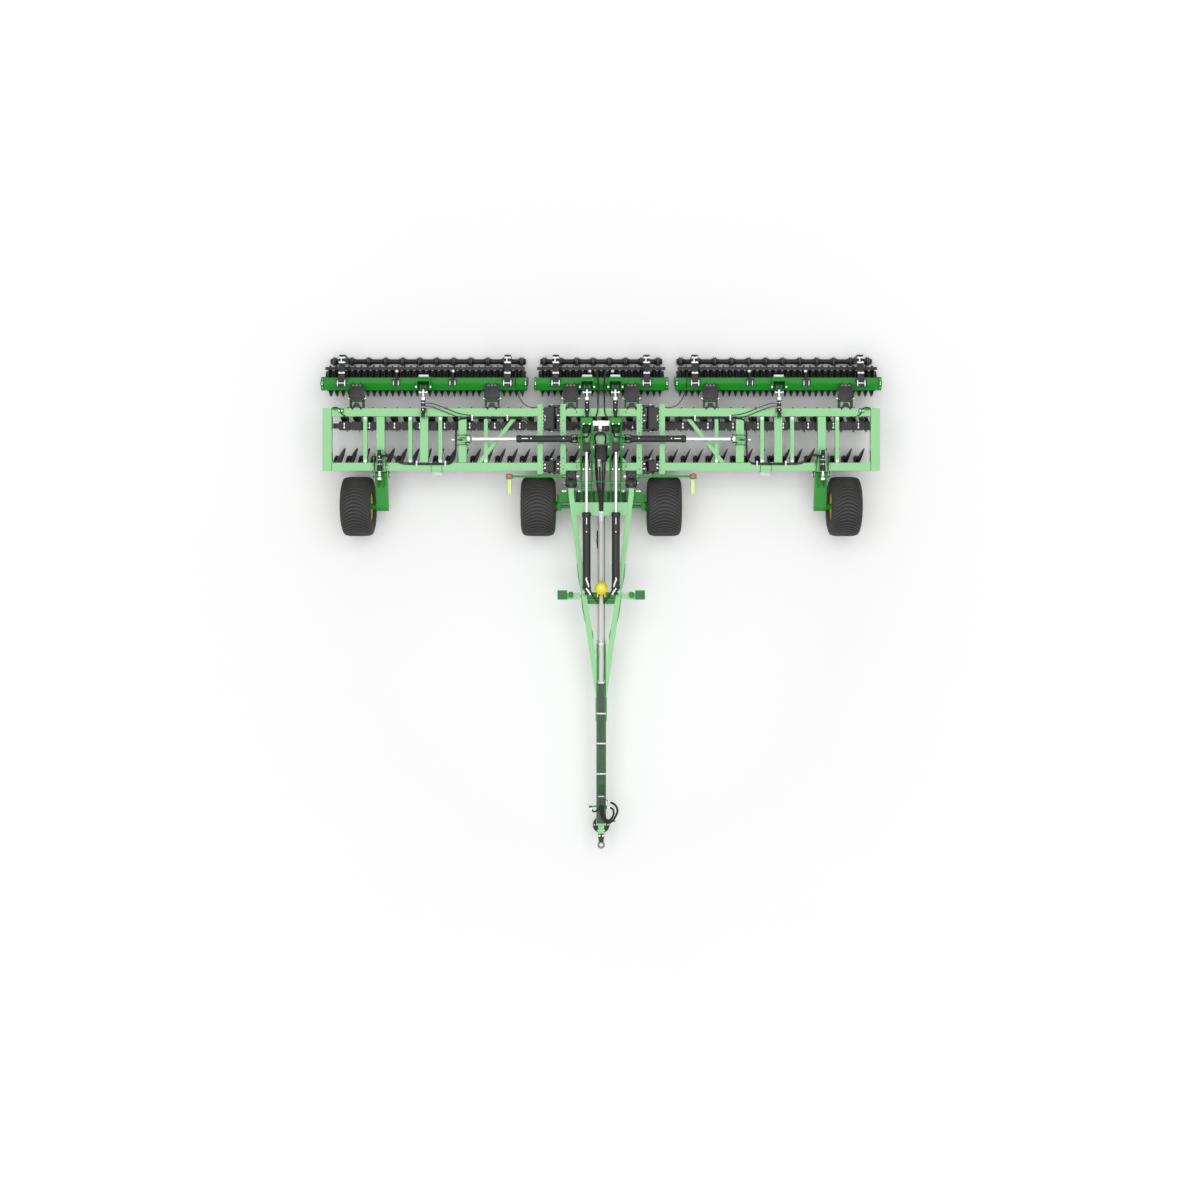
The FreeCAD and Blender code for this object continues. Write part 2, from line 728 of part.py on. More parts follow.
def arm_row(name, first_x, row_y, count, facing, points):
    """A row of disc arms: a bent plate each, with the hub its disc is bolted to."""
    body = doc.addObject("PartDesign::Body", name)
    body.AllowCompound = True
    planes = {plane.Role: plane for plane in body.Origin.OriginFeatures}
    outline = body.newObject("Sketcher::SketchObject", name + "_outline")
    outline.AttachmentSupport = [(planes["YZ_Plane"], "")]
    outline.MapMode = "FlatFace"
    near = "-(hub_reach + arm_wall)" if facing > 0 else "hub_reach"
    outline.setExpression("AttachmentOffset.Base.z", bound(near))
    draw(outline, points)
    pad = body.newObject("PartDesign::Pad", name + "_pad")
    pad.Profile = outline
    pad.setExpression("Length", bound("arm_wall"))
    hub_face = body.newObject("Sketcher::SketchObject", name + "_hub_face")
    hub_face.AttachmentSupport = [(planes["YZ_Plane"], "")]
    hub_face.MapMode = "FlatFace"
    hub_face.AttachmentOffset = Placement(Vector(), Rotation(Vector(0, -facing, 0), read("disc_angle")))
    hub_face.setExpression("AttachmentOffset.Rotation.Angle", bound("disc_angle"))
    start = "-(hub_reach + arm_wall / 2)" if facing > 0 else "disc_wall"
    for axis, share in (("x", "sin(disc_angle * 1deg) * -1 * " + str(facing)), ("z", "cos(disc_angle * 1deg)")):
        hub_face.setExpression("AttachmentOffset.Base." + axis, bound("(" + start + ") * " + share))
    hub_face.addGeometry(Part.Circle(Vector(), Vector(0, 0, 1), read("disc_hub")))
    hub_face.addConstraint(Sketcher.Constraint("Coincident", 0, 3, -1, 1))
    held = hub_face.addConstraint(Sketcher.Constraint("Radius", 0, read("disc_hub")))
    hub_face.setExpression("Constraints[" + str(held) + "]", bound("disc_hub"))
    hub = body.newObject("PartDesign::Pad", name + "_hub")
    hub.Profile = hub_face
    hub.setExpression("Length", bound("hub_reach + arm_wall / 2 - disc_wall"))
    body.Tip = hub
    pattern = row_of(body, pad, planes["X_Axis"], "disc_pitch", count)
    pattern.Originals = [pad, hub]
    place(body, first_x, row_y, "disc_z")
    return body


def disc_gang(side, front, rear, span):
    """The discs and arms of one frame section; front and rear give the first disc and the count."""
    top = "frame_base - disc_z"
    back = "gang_y - rear_disc_y"
    front_arm = [
        ("front_y - front_disc_y + blade_half", top),
        ("front_y - front_disc_y - blade_half", top),
        ("front_y - front_disc_y - blade_half - blade_skew", top + " - front_knee"),
        ("-disc_hub", "-disc_hub * 0.6"),
        ("-disc_hub * 0.5", "-disc_hub"),
        ("disc_hub * 0.7", "-disc_hub"),
        ("disc_hub", "0"),
        ("disc_hub * 0.6", "disc_hub"),
        ("front_y - front_disc_y + blade_half + blade_skew", top + " - front_knee"),
    ]
    gang_low = "frame_base - gang_block - disc_z"
    rear_arm = [
        (back + " + blade_half", gang_low),
        (back + " - blade_half", gang_low),
        (back + " - blade_half", gang_low + " - rear_knee"),
        ("-disc_hub", "-disc_hub * 0.6"),
        ("-disc_hub * 0.5", "-disc_hub"),
        ("disc_hub * 0.7", "-disc_hub"),
        ("disc_hub", "0"),
        ("disc_hub * 0.6", "disc_hub"),
        (back + " + blade_half + blade_skew", gang_low + " - rear_knee"),
    ]
    discs = [
        disc_row("front_discs_" + side, front[0], "front_disc_y", front[1], 1),
        disc_row("rear_discs_" + side, rear[0], "rear_disc_y", rear[1], -1),
    ]
    node("discs_" + side, group("Discs_" + side, discs))
    arms = arm_row("front_arms_" + side, front[0], "front_disc_y", front[1], 1, front_arm)
    rear_arms = arm_row("rear_arms_" + side, rear[0], "rear_disc_y", rear[1], -1, rear_arm)
    blocks = [rear_arms, box("gang_tube_" + side, span, about("gang_y", "gang_side / 2"),
                  about("frame_base - gang_block / 2", "gang_side / 2"))]
    for number in range(rear[1]):
        middle = rear[0] + " + hub_reach + arm_wall / 2 + " + str(number) + " * disc_pitch"
        blocks.append(box("gang_block_" + side + str(number), about(middle, "block_width / 2"),
                          about("gang_y", "gang_block / 2"), ("frame_base - gang_block", "frame_base")))
    node("disc_arms_" + side, group("DiscArms_" + side, [arms, fuse("Gang_" + side, blocks)]))


# --- Wings -------------------------------------------------------------------

def wing_frame(side, sign):
    """The tubes of one wing, which meet face to face, and the lugs that stand on them."""
    start = "fold_x + hinge_root"
    inner = start + " + beam_width"
    inner_end = "frame_half - end_width"
    between = ("front_y + tube_side / 2", "rear_y - tube_side / 2")
    front = box("wing_front_" + side, across(sign, inner, inner_end), about("front_y", "tube_side / 2"), FRAME_Z)
    rear = box("wing_rear_" + side, across(sign, inner, inner_end), about("rear_y", "tube_side / 2"), FRAME_Z)
    pieces = [
        front, rear,
        box("wing_end_" + side, across(sign, inner_end, "frame_half"),
            ("front_y - tube_side / 2", "rear_y + tube_side / 2"), FRAME_Z),
        box("wing_inner_" + side, across(sign, start, inner), ("beam_front", "beam_rear"), FRAME_Z),
    ]
    for number, middle in enumerate(("arm_x", "press_x", "cross_inner")):
        pieces.append(box("wing_cross_" + side + str(number), about(flip(sign, middle), "tube_side / 2"),
                          between, ("frame_base", "frame_base + cross_height")))
    braces = []
    for number, middle in enumerate(("arm_x + brace_out", "press_x + brace_mid", "press_x - brace_in",
                                     "brace_fold")):
        braces.append(box("wing_brace_" + side + str(number), about(flip(sign, middle), "brace_width / 2"),
                          between, ("frame_base", "frame_base + brace_height")))
    middle_z = read("frame_base") + read("brace_height") * HALF
    diagonal = beam("wing_diagonal_" + side,
                    mirrored_point(sign, read("brace_foot"), read("front_y"), middle_z),
                    mirrored_point(sign, read("brace_head"), read("rear_y"), middle_z),
                    read("brace_width"), read("brace_height"))
    crossed = fuse("wing_crossed_" + side, [front, rear, braces[-1]])
    pieces += braces + [cut("wing_stay_" + side, diagonal, crossed)]
    pieces += fold_bracket(side, sign)
    pieces += [
        arm_lugs(side, sign),
        lift_clevis(side, sign),
        roller_lugs("out_" + side, flip(sign, "wing_bracket_out")),
        roller_lugs("in_" + side, flip(sign, "wing_bracket_in")),
        press_clevis(side, flip(sign, "press_x")),
        box("rest_plate_" + side, about(flip(sign, "pad_x"), "rest_half"),
            ("front_y - tube_side / 2 - rest_pad", "front_y - tube_side / 2"), FRAME_Z),
    ]
    return node("wing_frame_" + side, group("WingFrame_" + side, pieces))


def fold_bracket(side, sign):
    """Clevis plates standing on the inner wide cross tube for the fold cylinder's rod."""
    plates = []
    for edge in (-1, 1):
        span = about("fold_y + " + str(edge) + " * (eye_half + clevis_gap + clevis_wall / 2)",
                     "clevis_wall / 2")
        name = "fold_bracket_" + side + str(edge + 1)
        foot = about(flip(sign, "cross_inner"), "fold_foot / 2")
        plates.append(fuse("FoldBracket_" + side + str(edge + 1), [
            box(name, foot, span, ("frame_base + cross_height", "fold_pin_z - fold_eye / 3")),
            box(name + "_nose", across(sign, "fold_pin_x", "cross_inner"), span,
                ("fold_pin_z - fold_eye", "fold_pin_z + fold_eye / 2")),
            bar(name + "_eye", "y", "fold_eye", span, (flip(sign, "fold_pin_x"), "fold_pin_z")),
        ]))
    return plates


def arm_lugs(side, sign):
    """Two plates ahead of a wing's front tube that hold its wheel arm."""
    plates = []
    reach = "arm_width / 2 + fold_gap"
    for edge in (-1, 1):
        centre = flip(sign, "arm_x") + " + " + str(edge) + " * (" + reach + " + arm_lug / 2)"
        span = about(centre, "arm_lug / 2")
        name = "arm_lug_" + side + str(edge + 1)
        plates.append(box(name, span, ("arm_y", "front_y - tube_side / 2"), about("arm_z + arm_lift", "arm_eye - arm_lift")))
        plates.append(bar(name + "_eye", "x", "arm_eye", span, ("arm_y", "arm_z")))
    plates.append(bar("arm_pin_" + side, "x", "arm_pin", about(flip(sign, "arm_x"), reach + " + arm_lug + pin_head / 2"),
                      ("arm_y", "arm_z")))
    return fuse("ArmLugs_" + side, plates)


def lift_clevis(side, sign):
    """Plates on the outer wide cross tube for the wheel cylinder's base."""
    plates = []
    for edge in (-1, 1):
        centre = flip(sign, "arm_x") + " + " + str(edge) + " * (eye_half + clevis_gap + clevis_wall / 2)"
        span = about(centre, "clevis_wall / 2")
        name = "lift_clevis_" + side + str(edge + 1)
        plates.append(box(name, span, about("lift_base_y", "clevis_foot"), ("frame_base + cross_height", "lift_base_z")))
        plates.append(bar(name + "_eye", "x", "small_eye", span, ("lift_base_y", "lift_base_z")))
    span = about(flip(sign, "arm_x"), "eye_half + clevis_gap + clevis_wall + clevis_head")
    plates.append(bar("lift_pin_" + side, "x", "pin_radius", span, ("lift_base_y", "lift_base_z")))
    return fuse("LiftClevis_" + side, plates)


def wing_hinge(side, sign):
    """The knuckle blocks that turn on the centre frame's pins."""
    blocks = []
    for end, hinge_y, length in (("front", "front_y + 8", "knuckle_front"),
                                 ("rear", "rear_hinge_y", "knuckle_rear")):
        name = "knuckle_" + side + "_" + end
        span = about(hinge_y, "(" + length + ") / 2")
        block = fuse("KnuckleBlock_" + side + "_" + end, [
            box(name, across(sign, "fold_x", "fold_x + hinge_root"), span, FRAME_Z),
            bar(name + "_eye", "y", "tube_side / 2", span, (flip(sign, "fold_x"), FRAME_MID)),
        ])
        blocks.append(bored("Knuckle_" + side + "_" + end, block, "y", "hinge_pin + pin_play",
                            span, (flip(sign, "fold_x"), FRAME_MID)))
    return node("wing_hinge_" + side, group("WingHinge_" + side, blocks))


# --- Wheels ------------------------------------------------------------------

def wheel(side, sign, kind, centre_x, width):
    """A wide tyre on a dished rim."""
    half = width + " / 2"
    tread = "tyre_radius"
    tyre_points = []
    shape = [(-0.81, 0.49), (-0.95, 0.57), (-1.0, 0.72), (-0.985, 0.875), (-0.88, 0.965), (-0.55, 0.993),
             (0.0, 1.0)]
    mirrored = [(-along, up) for along, up in reversed(shape[:-1])]
    for along, up in shape + mirrored:
        radius = "rim_radius + pin_play" if up < 0.5 else tread + " * " + str(up)
        tyre_points.append((half + " * " + str(along), radius))
    tyre = turned_body("Tyre_" + kind + "_" + side, tyre_points)[0]
    place(tyre, flip(sign, centre_x), "wheel_y", "tyre_radius")
    node(kind + "_tyre_" + side, tyre)
    out = str(sign)
    rim_half = "(" + half + " - bead_inset)"
    rim_points = [
        (out + " * -" + rim_half, "rim_radius"),
        (out + " * " + rim_half, "rim_radius"),
        (out + " * " + rim_half, "rim_radius - rim_wall"),
        (out + " * (hub_length / 2 + rim_wall)", "rim_radius - rim_wall * 2"),
        (out + " * hub_length / 2", "hub_radius"),
        (out + " * hub_length / 2", "spindle + pin_play"),
        (out + " * -hub_length / 2", "spindle + pin_play"),
        (out + " * -hub_length / 2", "hub_radius"),
        (out + " * (hub_length / 2 - rim_wall * 2)", "hub_radius"),
        (out + " * (hub_length / 2 - rim_wall)", "rim_radius - rim_wall * 3"),
        (out + " * -" + rim_half, "rim_radius - rim_wall"),
    ]
    rim = turned_body("Rim_" + kind + "_" + side, rim_points)[0]
    place(rim, flip(sign, centre_x), "wheel_y", "tyre_radius")
    node(kind + "_rim_" + side, rim)


def wheel_arm(side, sign):
    """The arm that lowers a wing wheel, with its spindle and its cylinder lever."""
    span = about(flip(sign, "arm_x"), "arm_width / 2")
    profile = [
        ("arm_y", "arm_z - arm_eye"),
        ("arm_y", "arm_z + arm_eye"),
        ("wheel_y - arm_nose / 3", "tyre_radius + arm_nose"),
        ("wheel_y - arm_nose", "tyre_radius + arm_nose / 3"),
        ("wheel_y - arm_nose", "tyre_radius - arm_nose * 2 / 3"),
        ("wheel_y", "tyre_radius - arm_nose * 10 / 9"),
    ]
    pieces = [
        plate("wheel_arm_box_" + side, "x", profile, span),
        bar("wheel_arm_eye_" + side, "x", "arm_eye", span, ("arm_y", "arm_z")),
        bar("wheel_spindle_" + side, "x", "spindle",
            across(sign, "arm_x", "wing_wheel_x + hub_length / 2 + spindle_end"), ("wheel_y", "tyre_radius")),
    ]
    for edge in (-1, 1):
        centre = flip(sign, "arm_x") + " + " + str(edge) + " * (eye_half + clevis_gap + clevis_wall / 2)"
        lever = about(centre, "clevis_wall / 2")
        name = "lever_" + side + str(edge + 1)
        pieces.append(plate(name, "x", [
            ("arm_y - lever_eye / 2", "arm_z + arm_eye - lever_eye / 2"),
            ("lever_y + lever_eye", "lever_z"),
            ("lever_y - lever_eye", "lever_z"),
            ("arm_y - lever_foot", "arm_z + lever_eye / 2"),
        ], lever))
        pieces.append(bar(name + "_eye", "x", "lever_eye", lever, ("lever_y", "lever_z")))
    arm = fuse("WheelArmSolid_" + side, pieces)
    return node("wheel_arm_" + side, bored("WheelArm_" + side, arm, "x", "arm_pin + pin_play", span,
                                           ("arm_y", "arm_z")))


# --- Rollers -----------------------------------------------------------------

def roller_frame(side, span, brackets, presses, arms):
    """The diamond-set beam of one roller, its hinge knuckles, hangers and basket arms."""
    low, high = span
    core = doc.addObject("Part::Box", "roller_beam_" + side)
    core.setExpression("Length", bound("(" + high + ") - (" + low + ")"))
    core.setExpression("Width", bound("roller_beam"))
    core.setExpression("Height", bound("roller_beam"))
    core.Placement = Placement(Vector(), Rotation(Vector(1, 0, 0), 45))
    place(core, low, "roller_beam_y", "roller_beam_z - roller_beam * sqrt(2) / 2")
    pieces = [core]
    knuckle = [
        ("roller_hinge_y", "roller_hinge_z + roller_eye"),
        ("roller_hinge_y", "roller_hinge_z - roller_eye"),
        ("roller_beam_y", "roller_beam_z - knuckle_half"),
        ("roller_beam_y", "roller_beam_z + knuckle_half + roller_beam / 2"),
    ]
    for number, middle in enumerate(brackets):
        half = about(middle, "bracket_half")
        name = "roller_knuckle_" + side + str(number)
        body = fuse(name + "_block", [
            plate(name, "x", knuckle, half),
            bar(name + "_eye", "x", "roller_eye", half, ("roller_hinge_y", "roller_hinge_z")),
        ])
        pieces.append(bored(name + "_bored", body, "x", "roller_pin + pin_play", half,
                            ("roller_hinge_y", "roller_hinge_z")))
    for number, middle in enumerate(presses):
        for edge in (-1, 1):
            centre = "(" + middle + ") + " + str(edge) + " * (eye_half + clevis_gap + clevis_wall / 2)"
            wall = about(centre, "clevis_wall / 2")
            name = "press_lever_" + side + str(number) + str(edge + 1)
            pieces.append(plate(name, "x", [
                ("roller_beam_y - knuckle_half", "roller_beam_z + knuckle_half / 3"),
                ("press_pin_y - eye_half", "press_z"),
                ("press_pin_y + eye_half", "press_z"),
                ("roller_beam_y + knuckle_half", "roller_beam_z + knuckle_half / 3"),
            ], wall))
            pieces.append(bar(name + "_eye", "x", "lever_eye", wall, ("press_pin_y", "press_z")))
    hanger = [
        ("roller_beam_y - hanger_half", "roller_beam_z + knuckle_half"),
        ("roller_y - hanger_half", "roller_z - hanger_toe"),
        ("roller_y - hanger_toe", "roller_z - hanger_half"),
        ("roller_y + hanger_toe", "roller_z - hanger_half"),
        ("roller_y + hanger_half", "roller_z - hanger_toe"),
        ("roller_beam_y + hanger_half + hanger_toe", "roller_beam_z + knuckle_half"),
    ]
    for number, edge in enumerate((low, high)):
        wall = (low, low + " + hanger_wall") if number == 0 else (high + " - hanger_wall", high)
        name = "roller_hanger_" + side + str(number)
        body = plate(name, "x", hanger, wall)
        pieces.append(bored(name + "_bored", body, "x", "roller_shaft + pin_play", wall,
                            ("roller_y", "roller_z")))
    basket_arm = [
        ("roller_beam_y", "roller_beam_z"),
        ("roller_beam_y", "roller_beam_z + arm_rise"),
        ("roller_beam_y + arm_rise", "roller_beam_z + arm_rise"),
        ("basket_y + basket_arm", "roller_beam_z - basket_arm / 2"),
        ("basket_y + basket_arm", "basket_z - arm_foot"),
        ("basket_y - basket_arm", "basket_z - arm_foot"),
        ("basket_y - basket_arm", "roller_beam_z - arm_rise / 2"),
    ]
    for number, middle in enumerate(arms):
        wall = about(middle, "arm_thickness / 2")
        name = "basket_arm_" + side + str(number)
        body = plate(name, "x", basket_arm, wall)
        pieces.append(bored(name + "_bored", body, "x", "basket_shaft + pin_play", wall,
                            ("basket_y", "basket_z")))
    return node("roller_frame_" + side, fuse("RollerFrame_" + side, pieces))


def ring_roller(side, span, beam_span):
    """Sharp rings side by side on a drum, turning on two stub shafts."""
    low, high = span
    beam_low, beam_high = beam_span
    half_pitch = "ring_pitch / 2"
    points = [
        ("0", "0"),
        ("0", "ring_core"),
        (half_pitch + " * 0.55", "ring_core"),
        (half_pitch + " * 0.92", "ring_radius"),
        (half_pitch + " * 1.08", "ring_radius"),
        (half_pitch + " * 1.45", "ring_core"),
        ("ring_pitch", "ring_core"),
        ("ring_pitch", "0"),
    ]
    body, sketch, turning, planes = turned_body("Rings_" + side, points)
    count = "floor(((" + high + ") - (" + low + ")) / ring_pitch)"
    row_of(body, turning, planes["X_Axis"], "ring_pitch", count)
    place(body, low, "roller_y", "roller_z")
    shaft = bar("roller_shaft_" + side, "x", "roller_shaft",
                ("(" + beam_low + ") - 6", "(" + beam_high + ") + 6"), ("roller_y", "roller_z"))
    return node("ring_roller_" + side, fuse("RingRoller_" + side, [body, shaft]))


def basket(side, cells):
    """A slim crumbler: sharp rings along a tube, in cells between the arms."""
    pieces = [bar("basket_shaft_" + side, "x", "basket_shaft", (cells[0][0], cells[-1][1]),
                  ("basket_y", "basket_z"))]
    middle = "basket_pitch / 2"
    points = [
        ("0", "0"),
        ("0", "basket_tube"),
        (middle + " - basket_ring", "basket_tube"),
        (middle + " - basket_ring / 2", "basket_radius"),
        (middle + " + basket_ring / 2", "basket_radius"),
        (middle + " + basket_ring", "basket_tube"),
        ("basket_pitch", "basket_tube"),
        ("basket_pitch", "0"),
    ]
    for number, (low, high) in enumerate(cells):
        name = "basket_" + side + str(number)
        body, sketch, turning, planes = turned_body(name + "_rings", points)
        length = "((" + high + ") - (" + low + "))"
        row_of(body, turning, planes["X_Axis"], "basket_pitch", "max(1; floor(" + length + " / basket_pitch))")
        place(body, low, "basket_y", "basket_z")
        pieces += [body, bar(name + "_tube", "x", "basket_tube", (low, high), ("basket_y", "basket_z"))]
    return node("basket_" + side, fuse("Basket_" + side, pieces))


# --- Cylinders ---------------------------------------------------------------

def cylinder(base, pin, axis, sizes, clevis):
    """A hydraulic cylinder: a bored barrel with its base eye, and a rod with its end eye."""
    bore, length, rod = sizes
    distance = (pin - base).Length
    along = (pin - base) / distance
    eye_half = read("eye_half")
    eye_radius = bore * 0.6 + 12
    tang = clevis + read("tang_gap")
    barrel = Part.makeCylinder(bore, length - tang, base + along * tang, along)
    barrel = barrel.fuse(Part.makeCylinder(eye_half * 0.8, tang + 5, base, along))
    barrel = barrel.fuse(Part.makeCylinder(eye_radius, 2 * eye_half, base - axis * eye_half, axis))
    depth = tang + 2 * eye_half
    barrel = barrel.cut(Part.makeCylinder(rod + read("rod_play"), length - depth + 1, base + along * depth, along))
    barrel = barrel.cut(Part.makeCylinder(read("pin_radius") + read("pin_play"), 2 * eye_half + 2,
                                          base - axis * (eye_half + 1), axis))
    inside = length - 2 * bore
    rod_solid = Part.makeCylinder(rod, distance - inside, base + along * inside, along)
    rod_solid = rod_solid.fuse(Part.makeCylinder(eye_radius * 0.8, 2 * eye_half, pin - axis * eye_half, axis))
    return barrel, rod_solid


def shaped(name, solids):
    """A feature from Part shapes."""
    feature = doc.addObject("Part::Feature", name)
    feature.Shape = solids[0] if len(solids) == 1 else Part.makeCompound(solids)
    return feature


def all_cylinders():
    """Every cylinder of the machine, as barrels and rods."""
    x_axis = AXES["x"]
    y_axis = AXES["y"]
    barrels = []
    rods = []
    for sign in SIDES.values():
        base = mirrored_point(sign, read("tower_x"), read("tilt_base_y"), read("tilt_base_z"))
        pin = mirrored_point(sign, read("tower_x"), read("tower_pin_y"), read("tower_pin_z"))
        barrel, rod = cylinder(base, pin, x_axis,
                               (read("tilt_bore"), read("tilt_barrel"), read("tilt_rod")), read("tilt_clevis"))
        barrels.append(barrel)
        rods.append(rod)
    node("tilt_barrels", shaped("TiltBarrels", barrels))
    node("tilt_rods", shaped("TiltRods", rods))
    for side, sign in SIDES.items():
        base = mirrored_point(sign, read("fold_base_x"), read("fold_y"), read("fold_base_z"))
        pin = mirrored_point(sign, read("fold_pin_x"), read("fold_y"), read("fold_pin_z"))
        barrel, rod = cylinder(base, pin, y_axis,
                               (read("fold_bore"), read("fold_barrel"), read("fold_rod")), read("fold_eye"))
        node("fold_barrel_" + side, shaped("FoldBarrel_" + side, [barrel]))
        node("fold_rod_" + side, shaped("FoldRod_" + side, [rod]))
        base = mirrored_point(sign, read("arm_x"), read("lift_base_y"), read("lift_base_z"))
        pin = mirrored_point(sign, read("arm_x"), read("lever_y"), read("lever_z"))
        barrel, rod = cylinder(base, pin, x_axis,
                               (read("small_bore"), read("lift_barrel"), read("small_rod")), read("small_eye"))
        node("lift_barrel_" + side, shaped("LiftBarrel_" + side, [barrel]))
        node("lift_rod_" + side, shaped("LiftRod_" + side, [rod]))
    places = {"left": [-read("press_x")], "right": [read("press_x")],
              "centre": [-read("press_centre_x"), read("press_centre_x")]}
    for side, row in places.items():
        barrels = []
        rods = []
        for x in row:
            base = Vector(x, read("press_base_y"), read("press_z"))
            pin = Vector(x, read("press_pin_y"), read("press_z"))
            barrel, rod = cylinder(base, pin, x_axis,
                                   (read("small_bore"), read("press_barrel"), read("small_rod")),
                                   read("small_eye"))
            barrels.append(barrel)
            rods.append(rod)
        node("press_barrel_" + side, shaped("PressBarrel_" + side, barrels))
        node("press_rod_" + side, shaped("PressRod_" + side, rods))


# --- Drawbar -----------------------------------------------------------------

def bar_height_at(y):
    """Middle height of the drawbar's single beam at a place along it."""
    share = (y - read("leg_tip_y")) / (read("bar_end_y") - read("leg_tip_y"))
    return read("leg_tip_z") + share * (read("bar_end_z") - read("leg_tip_z"))


def tongue_frame():
    """Two legs from the tilt hinge that meet in a single beam, tied by two cross members."""
    pieces = []
    width = read("leg_width")
    height = read("leg_height")
    for side, sign in SIDES.items():
        hinge = mirrored_point(sign, read("leg_x"), read("tilt_y"), read("tilt_z"))
        bend = mirrored_point(sign, read("leg_x"), read("leg_bend_y"), read("tilt_z"))
        middle = mirrored_point(sign, read("leg_mid_x"), read("leg_mid_y"), read("leg_mid_z"))
        tip = mirrored_point(sign, read("leg_tip_x"), read("leg_tip_y"), read("leg_tip_z"))
        eye = bar("leg_eye_" + side, "x", "tilt_eye", about(flip(sign, "leg_x"), "leg_width / 2"),
                  ("tilt_y", "tilt_z"))
        leg = fuse("Leg_" + side, [
            eye,
            beam("leg_root_" + side, hinge, bend + Vector(0, -30, 0), width, 2 * read("tilt_eye")),
            beam("leg_rear_" + side, bend, middle, width, height),
            beam("leg_front_" + side, middle + Vector(0, 20, 0), tip, width, height),
        ])
        pieces.append(bored("LegBored_" + side, leg, "x", "tilt_pin + pin_play",
                            about(flip(sign, "leg_x"), "leg_width / 2 + 5"), ("tilt_y", "tilt_z")))
    start = Vector(0, read("bar_start_y"), bar_height_at(read("bar_start_y")))
    end = Vector(0, read("bar_end_y"), bar_height_at(read("bar_end_y")))
    pieces.append(beam("tongue_bar", start, end, read("bar_width"), read("bar_height")))
    pieces.append(box("tongue_cross", about(0, "leg_x - leg_width / 2 - cross_inset"), about("cross_y", "cross_depth / 2"),
                      about("tilt_z", "leg_height / 2")))
    pieces.append(box("tongue_member", about(0, "rest_x + rest_half"), about("member_y", "member_depth / 2"),
                      ("member_low", "member_high")))
    pieces.append(box("tongue_neck", about(0, "neck_width / 2"), ("eye_y + eye_radius * 0.7", "bar_end_y + neck_root"),
                      about("eye_z", "neck_width / 2")))
    pieces.append(box("tongue_tie", about(0, "leg_mid_x - leg_width / 2"), about("tie_y", "tie_depth / 2"),
                      about("leg_mid_z - 40", "tie_depth / 2")))
    for side, sign in SIDES.items():
        for edge in (-1, 1):
            centre = flip(sign, "tower_x") + " + " + str(edge) + " * (eye_half + clevis_gap + clevis_wall / 2)"
            wall = about(centre, "clevis_wall / 2")
            name = "tilt_clevis_" + side + str(edge + 1)
            pieces.append(box(name, wall, ("member_y", "tilt_base_y + lever_eye"), ("member_low + cross_inset", "tilt_base_z")))
            pieces.append(bar(name + "_eye", "x", "tilt_clevis", wall, ("tilt_base_y", "tilt_base_z")))
        pieces.append(bar("tilt_base_pin_" + side, "x", "pin_radius",
                          about(flip(sign, "tower_x"), "eye_half + clevis_gap + clevis_wall + clevis_head"),
                          ("tilt_base_y", "tilt_base_z")))
    return node("tongue_frame", fuse("TongueFrame", pieces))


def wing_rests():
    """The two stands on the drawbar's cross member that take the folded wings."""
    stands = []
    top = "tilt_z + front_y - tube_side / 2 - rest_pad - tilt_y - rest_gap"
    for side, sign in SIDES.items():
        middle = flip(sign, "rest_x")
        pieces = [
            box("rest_post_" + side, about(middle, "rest_half * 0.5"), about("member_y", "member_depth / 2"),
                ("member_high", top + " - rest_cap")),
            box("rest_top_" + side, about(middle, "rest_half"), about("rest_y", "rest_depth / 2"), (top + " - rest_cap", top)),
        ]
        stands.append(fuse("Rest_" + side, pieces))
    return node("wing_rests", group("WingRests", stands))


def hitch_eye():
    """The towing ring at the drawbar's tip."""
    ring = fuse("hitch_ring", [
        bar("hitch_round", "z", "eye_radius", about("eye_z", "eye_height / 2"), ("0", "eye_y")),
        box("hitch_shank", about(0, "neck_width / 3"), ("eye_y", "eye_y + eye_radius * 0.7"), about("eye_z", "eye_height / 2")),
    ])
    trimmed = cut("hitch_trimmed", ring, box("hitch_trim", about(0, "bar_width"), ("eye_y + eye_radius * 0.7", "eye_y + 4 * eye_radius"),
                                             about("eye_z", "bar_height / 2")))
    return node("hitch_eye", bored("HitchEye", trimmed, "z", "eye_bore", about("eye_z", "eye_height / 2"),
                                   ("0", "eye_y")))


def parking_jack():
    """Round foot and column under the drawbar's tip."""
    pieces = [
        bar("jack_foot", "z", "foot_radius", ("0", "foot_height"), ("0", "jack_y")),
        bar("jack_column", "z", "jack_radius", ("0", "eye_z - neck_width / 2"), ("0", "jack_y")),
    ]
    return node("parking_jack", fuse("ParkingJack", pieces))


def accumulator():
    """Yellow pressure sphere held between two plates on the cross member."""
    sphere = doc.addObject("Part::Sphere", "sphere")
    sphere.setExpression("Radius", bound("sphere_radius"))
    sphere.Placement = Placement(Vector(), Rotation(Vector(1, 0, 0), 90))
    place(sphere, 0, "sphere_y", "sphere_z")
    pieces = [sphere]
    for edge in (-1, 1):
        pieces.append(box("sphere_plate" + str(edge + 1), about(str(edge) + " * plate_reach", "plate_wall / 2"),
                          ("member_y - plate_inset", "sphere_y + plate_inset"), ("member_high", "sphere_z - 1.5 * plate_inset")))
    return node("accumulator", fuse("Accumulator", pieces))


